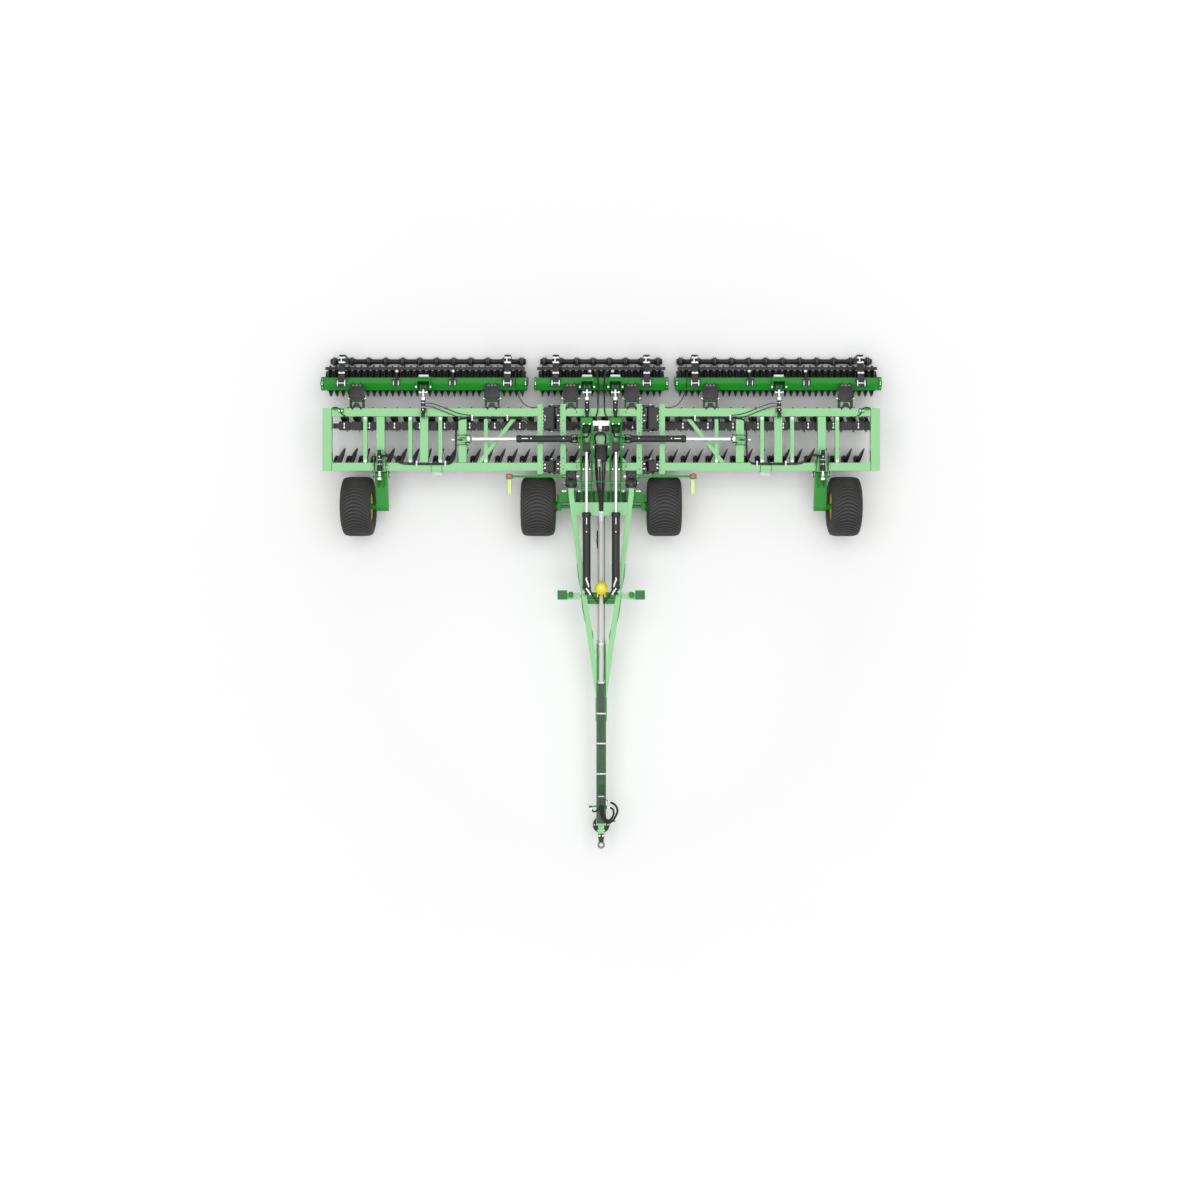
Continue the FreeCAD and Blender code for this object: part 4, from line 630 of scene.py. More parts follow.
@dataclass
class Paintwork:
    """The finish of each CAD node that stays in view, by the start of its name."""

    # Frames and rests take the green lightened with painted sheen; arms, towers, axle and lamp bars take the
    # green's own colour.
    by_name: tuple[tuple[str, Finish], ...] = (("wing_frame", LIT_GREEN_PAINT), ("centre_frame", LIT_GREEN_PAINT),
        ("tongue_frame", LIT_GREEN_PAINT), ("wing_rests", LIT_GREEN_PAINT), ("lamp_bars", ARM_PAINT),
        ("tilt_towers", ARM_PAINT), ("transport_axle", ARM_PAINT), ("wheel_arm", ARM_PAINT),
        ("roller_frame", ARM_PAINT), ("hinge_lugs", BLACK_PAINT), ("wing_hinge", BLACK_PAINT),
        ("disc_arms", BLACK_PAINT), ("discs", DISC_STEEL), ("basket", BLACK_PAINT),
        ("ring_roller", BLACK_PAINT), ("transport_tyre", TYRE_RUBBER), ("wing_tyre", TYRE_RUBBER),
        ("wing_rim", YELLOW_PAINT), ("transport_rim", YELLOW_PAINT), ("fold_rod", CHROME),
        ("tilt_rods", CHROME), ("lift_rod", CHROME), ("press_rod", CHROME), ("fold_barrel", BLACK_PAINT),
        ("tilt_barrels", BLACK_PAINT), ("lift_barrel", BLACK_PAINT), ("press_barrel", BLACK_PAINT),
        ("manifold", VALVE_ALLOY), ("accumulator", YELLOW_PAINT), ("hose_conduit", PALE_PLASTIC),
        ("hose_bundle", HOSE_SLEEVE), ("hitch_eye", FORGED_STEEL), ("parking_jack", BLACK_PAINT))

    def dress(self, nodes: dict[str, bpy.types.Object]) -> None:
        """Give every node its finish.

        Args:
            nodes: The CAD nodes by name.
        """
        for name, node in nodes.items():
            finish = next(found for start, found in self.by_name if name.startswith(start))
            for held in node.material_slots:
                held.material = finish.material()
            if not node.material_slots:
                node.data.materials.append(finish.material())


# --- Rollers and crumblers ---

@dataclass
class RingRoller:
    """One roller of sharp rings on a drum, with its end plates."""

    section: str
    pitch: float = 0.125
    tip: float = 0.007
    drum: float = 0.205
    flank: float = 0.045
    steps: int = 56

    def count(self) -> int:
        """How many rings stand side by side on the drum."""
        low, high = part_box("ring_roller_" + self.section)
        return round((high.x - low.x - 0.14) / self.pitch)

    def build(self) -> bpy.types.Object:
        """Model the rings, the drum ends and their bolts.

        Returns:
            The roller's object.
        """
        low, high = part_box("ring_roller_" + self.section)
        middle = (low + high) / 2
        radius = (high.z - low.z) / 2
        count = self.count()
        start = middle.x - (count - 1) * self.pitch / 2
        piece = Piece("rings_" + self.section, "roller_" + self.section, "black_paint")
        ring = turned([(-self.pitch / 2, self.drum - 0.01), (-self.pitch / 2, self.drum),
                (-self.flank, self.drum), (-self.flank * 0.75, self.drum + 0.02), (-self.tip, radius - 0.004),
                (0.0, radius), (self.tip, radius - 0.004), (self.flank * 0.75, self.drum + 0.02),
                (self.flank, self.drum), (self.pitch / 2, self.drum), (self.pitch / 2, self.drum - 0.01)],
            self.steps)
        piece.add(ring, places=[at((start + number * self.pitch, middle.y, middle.z))
                for number in range(count)])
        for sign in (-1.0, 1.0):
            end = middle.x + sign * count * self.pitch / 2
            cap = turned([(0.0, 0.0), (0.0, self.drum - 0.004), (0.012, self.drum - 0.004), (0.012, 0.09),
                    (0.02, 0.075), (0.02, 0.0)], 32)
            piece.add(cap, places=[at((end, middle.y, middle.z), Matrix.Scale(sign, 4, (1, 0, 0)))])
            tip = high.x if sign > 0 else low.x
            piece.add(rod((end, middle.y, middle.z), (tip, middle.y, middle.z), 0.04, 18, EDGE), FORGED_STEEL)
            turns = [turn(60 * number, "X") for number in range(6)]
            piece.add(bolt(0.022, 0.014), ZINC,
                [at((end + sign * 0.012, middle.y, middle.z)) @ way @ at((0, 0, 0.13), facing((sign, 0, 0)))
                    for way in turns])
        return piece.done(["ring_roller_" + self.section])


@dataclass
class Crumbler:
    """The rear crumbler: a tube with waisted collars that each end in a pair of sharp rims.

    Attributes:
        section: Which roller it follows.
        tube: Radius of the tube.
        pitch: Wanted distance between two collars.
        inset: Distance of the outermost collar from the tube's end.
        reach: Half the length of a collar.
        rim: Half the distance between a collar's two rims.
    """

    section: str
    tube: float = 0.05
    pitch: float = 0.343
    inset: float = 0.075
    reach: float = 0.085
    rim: float = 0.014

    def build(self) -> bpy.types.Object:
        """Model the tube and the collars, with bright bare-steel rims for wear on their edges and for painted
        glints.

        Returns:
            The crumbler's object.
        """
        low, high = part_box("basket_" + self.section)
        middle = (low + high) / 2
        radius = (high.z - low.z) / 2
        piece = Piece("crumbler_rings_" + self.section, "crumbler_" + self.section, "black_paint")
        piece.add(rod((low.x + 0.004, middle.y, middle.z), (high.x - 0.004, middle.y, middle.z), self.tube,
                24, SOFT_EDGE))
        half = [(self.reach, self.tube - 0.004), (self.reach, self.tube + 0.003),
            (self.reach * 0.6, self.tube + 0.012), (self.rim + 0.016, radius - 0.014),
            (self.rim + 0.005, radius - 0.001), (self.rim - 0.004, radius - 0.002),
            (self.rim * 0.4, radius - 0.022)]
        collar = turned([(-x, r) for x, r in half] + half[::-1], 36)
        # Bare-steel bands on the rims: worn edges, lighter than the black paint to paint in the glints along
        # them.
        rim = turned([(self.rim - 0.003, radius - 0.006), (self.rim - 0.003, radius),
                (self.rim + 0.004, radius), (self.rim + 0.004, radius - 0.006)], 36)
        span = high.x - low.x - 2 * self.inset
        count = round(span / self.pitch) + 1
        spots = [at((low.x + self.inset + number * span / (count - 1), middle.y, middle.z))
            for number in range(count)]
        piece.add(collar, places=spots)
        piece.add(rim, FORGED_STEEL, spots + [spot @ Matrix.Scale(-1, 4, (1, 0, 0)) for spot in spots])
        return piece.done(["basket_" + self.section])


# --- Discs ---

@dataclass
class DiscGang:
    """The front and rear rows of dished discs of one section of the frame.

    Attributes:
        section: Which part of the frame.
        pitch: Distance between two discs of a row.
        radius: Radius of a disc.
        tilt: Angle of a disc to the way of travel, in degrees.
        sheet: Thickness of a disc.
        dish: Depth of its hollow.
        margin: Distance of the outermost disc from the frame's end.
        front_reach: Distance of the front row from the foremost edge.
        rear_reach: Distance of the rear row from the rearmost edge.
        gang_y: Place of the suspension blocks along the machine.
        steps: Steps round a disc.
    """

    section: str
    pitch: float = 0.25
    radius: float = 0.255
    tilt: float = 22.0
    sheet: float = 0.007
    dish: float = 0.042
    margin: float = 0.2175
    front_reach: float = 0.252
    rear_reach: float = 0.223
    gang_y: float = 3.518
    steps: int = 40

    def disc(self) -> bmesh.types.BMesh:
        """One dished disc turned about X, hollow towards +X."""
        arc = [(share, self.dish * share * share) for share in (1.0, 0.85, 0.7, 0.5, 0.3)]
        outer = [(rise, self.radius * share) for share, rise in arc]
        inner = [(rise - self.sheet, self.radius * share) for share, rise in arc]
        inner[0] = (inner[0][0] + self.sheet * 0.6, inner[0][1] - 0.012)
        hub = [(self.sheet, 0.06), (self.sheet * 2.4, 0.05), (self.sheet * 2.4, 0.0)]
        return turned([(-self.sheet, 0.0), (-self.sheet, 0.05)] + inner[::-1] + outer + hub, self.steps)

    def places(self) -> list[tuple[float, float, float]]:
        """Middle of each disc, with the way that it faces: (x, y, facing)."""
        low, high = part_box("discs_" + self.section)
        first = -(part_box("wing_frame_right")[1].x - self.margin)
        runs = {"left": ((0.0, 18), (0.5, 17)), "centre": ((18.0, 8), (17.5, 8)),
            "right": ((26.0, 17), (25.5, 18))}[self.section]
        set_out = []
        for (start, count), y, way in zip(runs, (low.y + self.front_reach, high.y - self.rear_reach),
                (1.0, -1.0)):
            set_out += [(first + (start + number) * self.pitch, y, way) for number in range(count)]
        return set_out

    def build(self) -> None:
        """Set out both rows where the CAD discs stand, with their hub bolts and suspension blocks."""
        body = "centre" if self.section == "centre" else "wing_" + self.section
        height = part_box("discs_" + self.section)[0].z + self.radius
        piece = Piece("dished_discs_" + self.section, body, "bare_steel")
        lean = [at((x, y, height), turn(-way * self.tilt, "Z") @ Matrix.Scale(way, 4, (1, 0, 0))) for x, y,
            way in self.places()]
        piece.add(self.disc(), places=lean)
        piece.add(bolt(0.016, 0.01), FORGED_STEEL,
            [place @ turn(72 * number, "X") @ at((self.sheet * 1.6, 0, 0.04), facing((1, 0, 0)))
                for place in lean for number in range(5)])
        piece.done(["discs_" + self.section])
        self.blocks(body)

    def blocks(self, body: str) -> None:
        """Ribs, clamp straps and nuts on the suspension blocks over the rear arms.

        Args:
            body: Body that carries the gang.
        """
        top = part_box("disc_arms_" + self.section)[1].z
        piece = Piece("gang_straps_" + self.section, body, "black_paint")
        rear = [x for x, _, way in self.places() if way < 0]
        rib = block((-0.009, -0.086, -0.05), (0.009, 0.086, 0.007))
        spots = [at((x + 0.065 + shift, self.gang_y, top)) for x in rear
            for shift in (-0.08, -0.028, 0.028, 0.08)]
        piece.add(rib, places=spots)
        strap = block((-0.006, -0.05, 0.0), (0.006, 0.05, 0.014))
        piece.add(strap, ZINC, [at((x + 0.065, self.gang_y, top)) for x in rear[::2]])
        piece.add(bolt(0.02, 0.012), ZINC, [at((x + 0.065, self.gang_y + y, top + 0.004)) for x in rear[::2]
                for y in (-0.04, 0.04)])
        piece.done()


# --- Wheels ---

@dataclass
class Wheel:
    """A tyre with curved cross lugs, on its dished yellow rim.

    Attributes:
        place: Which pair of wheels, one of PLACES.
        side: Which wheel of the pair.
        lug_count: Number of lugs round the tyre.
        lug_height: Height of a lug.
        nuts: Number of wheel nuts.
    """

    place: str
    side: str
    lug_count: int = 52
    lug_height: float = 0.018
    nuts: int = 10
    PLACES = ("transport", "wing")

    def build(self) -> None:
        """Model the tyre and the rim."""
        low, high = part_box(self.place + "_tyre_" + self.side)
        middle = (low + high) / 2
        radius, half = (high.z - low.z) / 2, (high.x - low.x) / 2
        rim_low, rim_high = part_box(self.place + "_rim_" + self.side)
        bead = (rim_high.z - rim_low.z) / 2
        crown = radius - self.lug_height
        body = self.place + "_wheel_" + self.side
        tyre = Piece(self.place + "_tread_" + self.side, body, "tyre_rubber")
        outline = [(half * 0.74, bead - 0.004), (half * 0.80, bead + 0.012), (half * 0.92, bead + 0.07),
            (half * 0.995, bead + 0.15), (half * 0.985, crown - 0.10), (half * 0.93, crown - 0.045),
            (half * 0.84, crown - 0.018), (half * 0.6, crown - 0.006), (half * 0.3, crown - 0.001),
            (0.0, crown)]
        mirrored = [(-x, r) for x, r in outline[:-1]]
        tyre.add(turned(outline + mirrored[::-1], 72), places=[at(middle)])
        tyre.add(self.lug(half, radius), TREAD_RUBBER, [at(middle) @ turn(360 * number / self.lug_count, "X")
                for number in range(self.lug_count)])
        tyre.done([self.place + "_tyre_" + self.side])
        self.rim_trim(middle, (rim_high.x - rim_low.x) / 2, bead, body)

    def rim_trim(self, middle: Vector, edge: float, radius: float, body: str) -> None:
        """Model the lip, the hub cap, the nuts and the valve on the outer face of the rim.

        Args:
            middle: Middle of the wheel.
            edge: Half the rim's width.
            radius: The rim's radius.
            body: Body that turns with the wheel.
        """
        trim = Piece("rim_trim_" + self.place + "_" + self.side, body, "yellow_paint")
        out = at(middle, turn(0 if middle.x > 0 else 180, "Z"))
        trim.add(turned([(edge - 0.016, radius - 0.010), (edge - 0.014, radius + 0.006),
                (edge - 0.004, radius + 0.009), (edge, radius + 0.004), (edge + 0.001, radius - 0.008),
                (edge - 0.004, radius - 0.018)], 72), places=[out])
        trim.add(turned([(0.0735, 0.112), (0.084, 0.112), (0.09, 0.122), (0.09, 0.158), (0.085, 0.168),
                (0.074, 0.168)], 60), places=[out])
        trim.add(turned([(0.1, 0.0), (0.1, 0.064), (0.0745, 0.064), (0.0745, 0.094), (0.083, 0.094),
                (0.087, 0.079), (0.112, 0.075), (0.122, 0.062), (0.122, 0.0)], 40), ARM_PAINT, [out])
        around = [out @ turn(360 * number / self.nuts, "X") for number in range(self.nuts)]
        trim.add(bolt(0.027, 0.022), ZINC,
            [way @ at((0.089, 0.0, 0.14), facing((1, 0, 0))) for way in around])
        trim.add(rod((0.078, 0.0, 0.222), (0.118, 0.0, 0.236), 0.006, sides=10), HOSE_RUBBER, [out])
        trim.done()

    def lug(self, half: float, radius: float) -> bmesh.types.BMesh:
        """One curved bar across the tread, at the top of the wheel about the origin.

        Args:
            half: Half the tyre's width.
            radius: The tyre's radius.

        Returns:
            The lug's mesh.
        """
        made = bmesh.new()
        rows = []
        width = 0.03
        for number in range(13):
            share = number / 6.0 - 1.0
            x = share * half * 0.88
            drop = 0.028 * abs(share) ** 6 + 0.005 * share * share
            back = 0.17 * share * share
            top = radius - drop
            ring = []
            for along, depth in ((-width / 2 - 0.006, self.lug_height + 0.01), (-width / 2, 0.0),
                    (width / 2, 0.0), (width / 2 + 0.006, self.lug_height + 0.01)):
                angle = (back + along) / radius
                r = top - depth
                ring.append(made.verts.new((x, -math.sin(angle) * r, math.cos(angle) * r)))
            rows.append(ring)
        for first, second in zip(rows, rows[1:]):
            for number in range(4):
                after = (number + 1) % 4
                made.faces.new((first[number], first[after], second[after], second[number]))
        made.faces.new(rows[0][::-1])
        made.faces.new(rows[-1])
        bmesh.ops.recalc_face_normals(made, faces=made.faces)
        return made


# --- Hoses and lamps on the wings ---

@dataclass
class WingHoses:
    """The hoses clipped along a wing's tubes, and their clamps.

    Attributes:
        side: Which wing.
        rear_run: Points of the pair of hoses along the rear tube, then down to the front tube.
        spur: Points of the hose to the roller's cylinder.
        loop: Points of the hose over to the roller's beam.
        radius: Radius of a hose.
    """

    side: str
    rear_run: tuple[tuple[float, float, float], ...] = ((1.30, 3.560, 0.90), (1.42, 3.590, 0.95),
        (1.56, 3.665, 0.942), (1.80, 3.668, 0.938), (2.40, 3.668, 0.938), (2.66, 3.668, 0.938),
        (2.80, 3.655, 0.935), (2.872, 3.56, 0.90), (2.882, 3.40, 0.86), (2.882, 3.05, 0.86),
        (2.895, 2.87, 0.90), (2.96, 2.762, 0.948), (3.12, 2.752, 0.948), (3.90, 2.752, 0.948),
        (4.02, 2.80, 0.96), (4.10, 2.90, 1.01), (4.20, 2.93, 1.06), (4.29, 2.90, 1.06), (4.335, 2.90, 1.06))
    spur: tuple[tuple[float, float, float], ...] = ((2.55, 3.700, 0.946), (2.80, 3.72, 0.95),
        (3.05, 3.83, 0.99), (3.25, 3.90, 1.03), (3.36, 3.93, 1.08), (3.44, 3.93, 1.08), (3.468, 3.93, 1.08))
    loop: tuple[tuple[float, float, float], ...] = ((1.71, 4.56, 0.86), (1.70, 4.46, 0.905),
        (1.70, 4.34, 0.915), (1.69, 4.24, 0.895), (1.66, 4.14, 0.90), (1.61, 4.03, 0.93), (1.54, 3.93, 0.955),
        (1.44, 3.87, 0.95), (1.34, 3.855, 0.945), (1.26, 3.86, 0.92))
    radius: float = 0.0105

    def build(self) -> None:
        """Lay the runs along the tubes with their clamps, and the loop over to the roller's beam."""
        sign = SIDES[self.side]
        body = "wing_" + self.side

        def mirrored(points: Sequence[Point], shift: float = 0.0) -> list[tuple[float, float, float]]:
            """A run's points on this wing, moved aside by shift."""
            return [(sign * (x + shift * 0.6), y - shift, z) for x, y, z in points]

        piece = Piece("tube_hoses_" + self.side, body, "hose_rubber")
        for number in range(2):
            piece.add(hose(mirrored(self.rear_run, number * self.radius * 2.4), self.radius))
        for number in range(2):
            piece.add(hose(mirrored(self.spur, number * self.radius * (2.4 + 3.2 * number)),
                    self.radius * 0.8))
        piece.done()
        loop = Piece("roller_hoses_" + self.side, body, "hose_rubber")
        loop.add(hose([(sign * x, y, z) for x, y, z in self.loop], self.radius * 0.8))
        loop.done(joined=("roller_arms_" + self.side, body, (sign * 1.64, 4.16, 0.9),
                (sign * 1.6, 3.96, 0.92)))
        straps = Piece("hose_clamps_" + self.side, body, "chrome_rod")
        clamp = block((-0.016, -0.065, -0.016), (0.016, 0.05, 0.022), SOFT_EDGE)
        spots = [(1.86, 3.662, 0.938), (2.56, 3.662, 0.938), (3.09, 2.752, 0.948), (3.66, 2.752, 0.948)]
        places = [at((sign * x, y, z)) for x, y, z in spots]
        straps.add(clamp, WHITE_PLASTIC, places)
        straps.add(bolt(0.016, 0.01), places=[place @ at((0, 0.03, 0.021)) for place in places])
        straps.done()


@dataclass
class MarkerLamp:
    """A red lens at the end of the lamp bar, and the pale marker strip ahead of it."""

    side: str
    lens: float = 0.052
    strip_width: float = 0.08

    def build(self) -> None:
        """Model the lens, its base and the strip on its bracket."""
        sign = SIDES[self.side]
        low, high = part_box("lamp_bars")
        x = sign * (high.x - 0.065)
        y = high.y - 0.045
        piece = Piece("marker_lamp_" + self.side, "centre", "green_paint")
        lens = turned([(0.0, 0.0), (0.0, self.lens), (0.012, self.lens), (0.018, self.lens * 0.9),
                (0.026, self.lens * 0.5), (0.028, 0.0)], 32)
        up = turn(-90, "Y")
        piece.add(lens, LAMP_RED, [at((x, y, high.z - 0.004), up)])
        base = rod((x, y, high.z - 0.02), (x, y, high.z - 0.002), self.lens + 0.006, 28, FINE_EDGE)
        piece.add(base, BLACK_PAINT)
        strip_x = sign * (high.x - 0.07)
        rear = high.y - 0.09
        piece.add(block((strip_x - self.strip_width / 2, low.y - 0.004, low.z + 0.25),
                (strip_x + self.strip_width / 2, rear, low.z + 0.266), 0.005), LAMP_YELLOW)
        piece.add(block((strip_x - self.strip_width * 0.3, low.y + 0.02, low.z + 0.262),
                (strip_x + self.strip_width * 0.3, rear - 0.03, low.z + 0.27), FINE_EDGE), LAMP_YELLOW)
        piece.done()


# --- Roller beams ---

@dataclass
class RollerBeam:
    """The black brackets, clamps and scrapers that are bolted round one roller's beam.

    Attributes:
        section: Which roller.
        knuckle: Half the width of a hinge knuckle.
        arm: Half the width of a crumbler arm.
        sheet: Thickness of a bracket plate.
        finger: Half the width of a scraper finger.
        hinges: Middles of the knuckles of each section.
        arms: Middles of the crumbler arms.
        presses: Middles of the cylinders that press the roller down.
    """

    section: str
    knuckle: float = 0.105
    arm: float = 0.055
    sheet: float = 0.008
    finger: float = 0.03
    hinges: dict[str, tuple[float, float]] = field(default_factory=lambda: {"left": (-4.853, -2.168),
            "centre": (-0.606, 0.606), "right": (2.168, 4.853)})
    arms: dict[str, tuple[float, float]] = field(default_factory=lambda: {"left": (-5.165, -1.865),
            "centre": (-0.905, 0.905), "right": (1.865, 5.165)})
    presses: dict[str, tuple[float, ...]] = field(default_factory=lambda: {"left": (-PRESS_X,),
            "centre": (-0.28, 0.28), "right": (PRESS_X,)})

    def __post_init__(self) -> None:
        """Read the beam's place from the frame."""
        self.body = "roller_arms_" + self.section
        self.low, self.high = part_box("roller_frame_" + self.section)
        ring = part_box("ring_roller_" + self.section)
        self.roller = (ring[0] + ring[1]) / 2
        self.beam_y = self.roller.y - 0.118
        self.beam_z = self.roller.z + 0.445
        self.crest = 0.1273
        self.hinge_y = self.beam_y - 0.298
        self.hinge_z = self.beam_z + 0.09
        self.tube_y = self.hinge_y - 0.205

    def build(self) -> None:
        """Model every bracket on the beam."""
        self.black = Piece("beam_brackets_" + self.section, self.body, "black_paint")
        self.bright = Piece("beam_clamps_" + self.section, self.body, "chrome_rod")
        self.covers = Piece("lug_covers_" + self.section, "centre" if self.section == "centre"
            else "wing_" + self.section, "black_paint")
        for x in self.hinges[self.section]:
            self.hinge_plates(x)
            self.lug_covers(x)
        for x in self.arms[self.section]:
            self.crumbler_arm(x)
        for x in self.presses[self.section]:
            self.press_seat(x)
        self.rail_brackets()
        self.end_plates()
        self.scrapers()
        self.black.done()
        self.bright.done()
        self.covers.done()

    def lug_covers(self, x: float) -> None:
        """Black covers over the two lugs behind a tube, and the waisted plate between them.

        Args:
            x: Middle of the knuckle.
        """
        for side in (-1, 1):
            low, high = sorted((x + side * (self.knuckle + 0.003), x + side * (self.knuckle + 0.037)))
            self.covers.add(block((low, self.tube_y + 0.002, self.hinge_z - 0.078),
                    (high, self.hinge_y - 0.03, self.hinge_z + 0.079)))
            self.covers.add(rod((low, self.hinge_y, self.hinge_z), (high, self.hinge_y, self.hinge_z), 0.079,
                    36, EDGE))
            self.covers.add(block((x + side * 0.085 - 0.018, self.tube_y - 0.03, self.hinge_z + 0.05),
                    (x + side * 0.085 + 0.018, self.tube_y + 0.03, self.hinge_z + 0.086), SOFT_EDGE))
        neck = slab(Plane.XY, [(x - 0.10, self.tube_y + 0.004), (x - 0.045, self.tube_y + 0.004),
                (x, self.tube_y + 0.03), (x + 0.045, self.tube_y + 0.004), (x + 0.10, self.tube_y + 0.004),
                (x + 0.05, self.tube_y + 0.085), (x + 0.05, self.tube_y + 0.11),
                (x - 0.05, self.tube_y + 0.11), (x - 0.05, self.tube_y + 0.085)], self.hinge_z + 0.062,
            self.hinge_z + 0.074)
        self.covers.add(neck)

    def hinge_plates(self, x: float) -> None:
        """Folded plates over a knuckle, with three bolts in a row and the cross pin's washers.

        Args:
            x: Middle of the knuckle.
        """
        reach = self.knuckle + 0.02
        top = self.beam_z + 0.152
        cap = slab(Plane.XY, [(x - reach, self.beam_y - 0.012), (x + reach, self.beam_y - 0.012),
                (x + reach + 0.035, self.hinge_y + 0.065), (x + reach + 0.035, self.hinge_y),
                (x - reach - 0.035, self.hinge_y), (x - reach - 0.035, self.hinge_y + 0.065)], 0.0,
            self.sheet)
        slope = math.atan2(top - (self.hinge_z + 0.082), self.beam_y - self.hinge_y)
        tilt = at((0, self.beam_y, top + 0.004)) @ Matrix.Rotation(slope, 4, "X") @ at((0, -self.beam_y, 0))
        self.black.add(cap, places=[tilt])
        rib = slab(Plane.YZ, [(self.beam_y + 0.02, 0.0), (self.beam_y + 0.02, 0.02),
                (self.hinge_y + 0.09, 0.012), (self.hinge_y + 0.05, 0.0)], -0.006, 0.006, THIN_EDGE)
        self.black.add(rib, places=[tilt @ at((x + side * 0.6 * reach, 0, self.sheet)) for side in (-1, 1)])
        self.bright.add(bolt(0.03, 0.018), FORGED_STEEL,
            [tilt @ at((x + step * 0.07, self.beam_y - 0.05, self.sheet)) for step in (-1, 0, 1)])
        neck = slab(Plane.XY, [(x - 0.075, self.hinge_y + 0.03), (x + 0.075, self.hinge_y + 0.03),
                (x + 0.05, self.hinge_y - 0.03), (x + 0.05, self.hinge_y - 0.082),
                (x - 0.05, self.hinge_y - 0.082), (x - 0.05, self.hinge_y - 0.03)], self.hinge_z + 0.076,
            self.hinge_z + 0.088, EDGE)
        self.black.add(neck)
        self.black.add(block((x - self.knuckle, self.hinge_y - 0.04, self.hinge_z + 0.05),
                (x + self.knuckle, self.hinge_y + 0.05, self.hinge_z + 0.082), 0.01))
        washer = rod((0, 0, 0), (0, 0, 0.012), 0.044, 22, THIN_EDGE)
        head = rod((0, 0, 0.010), (0, 0, 0.026), 0.026, 6, THIN_EDGE)
        for side in (-1, 1):
            seat = at((x + side * (self.knuckle + 0.046), self.hinge_y, self.hinge_z), facing((side, 0, 0)))
            self.bright.add(washer.copy(), places=[seat])
            self.bright.add(head.copy(), places=[seat])
        washer.free()
        head.free()

    def crumbler_arm(self, x: float) -> None:
        """Black cover plates along a crumbler arm, with its clamp bars and U-bolt.

        Args:
            x: Middle of the arm.
        """
        end_y = self.high.y - 0.04
        outline = [(self.beam_y - 0.004, self.beam_z + 0.085), (self.beam_y - 0.004, self.beam_z + 0.10),
            (self.beam_y + 0.096, self.beam_z + 0.10), (end_y + 0.048, self.beam_z - 0.012),
            (end_y + 0.048, 0.066), (end_y - 0.048, 0.066), (end_y - 0.048, self.beam_z - 0.052)]
        for side in (-1, 1):
            wall = x + side * self.arm
            self.black.add(slab(Plane.YZ, outline, wall, wall + side * self.sheet))
        slope = math.atan2(-0.112, end_y - self.beam_y - 0.05)
        run = math.hypot(end_y + 0.045 - self.beam_y - 0.096, 0.11)
        lid = at((x, self.beam_y + 0.096, self.beam_z + 0.092), Matrix.Rotation(slope, 4, "X"))
        self.black.add(block((-self.arm - 0.004, 0.0, 0.0), (self.arm + 0.004, run, 0.01), FINE_EDGE),
            places=[lid])
        self.black.add(block((x - self.arm - 0.004, self.beam_y, self.beam_z + 0.088),
                (x + self.arm + 0.004, self.beam_y + 0.1, self.beam_z + 0.102)))
        saddle = self.arm + 0.055
        self.black.add(block((x - saddle, self.beam_y - 0.075, self.beam_z + 0.096),
                (x + saddle, self.beam_y + 0.09, self.beam_z + 0.118), SOFT_EDGE))
        bar = rod((-self.arm - 0.012, 0, 0), (self.arm + 0.012, 0, 0), 0.018, 16, EDGE)
        spots = [lid @ at((0, run * share, 0.02)) for share in (0.22, 0.66, 0.86)]
        self.bright.add(bar, places=spots)
        self.bright.add(block((-0.03, run * 0.64, 0.01), (0.0, run * 0.9, 0.024)), places=[lid])
        self.bright.add(bolt(0.03, 0.02), places=[spot @ at((side * self.arm * 0.7, 0, 0.016))
                for spot in spots for side in (-1, 1)])
        for side in (-1, 1):
            foot = x + side * 0.072
            hoop = [(foot, self.beam_y - 0.062, self.beam_z + 0.10),
                (foot, self.beam_y - 0.058, self.beam_z + 0.136), (foot, self.beam_y, self.beam_z + 0.150),
                (foot, self.beam_y + 0.062, self.beam_z + 0.136),
                (foot, self.beam_y + 0.066, self.beam_z + 0.10)]
            self.bright.add(hose(hoop, 0.013, 3))
        self.bright.add(rod((x - 0.072, self.beam_y, self.beam_z + 0.150),
                (x + 0.072, self.beam_y, self.beam_z + 0.150), 0.011, 14, THIN_EDGE))

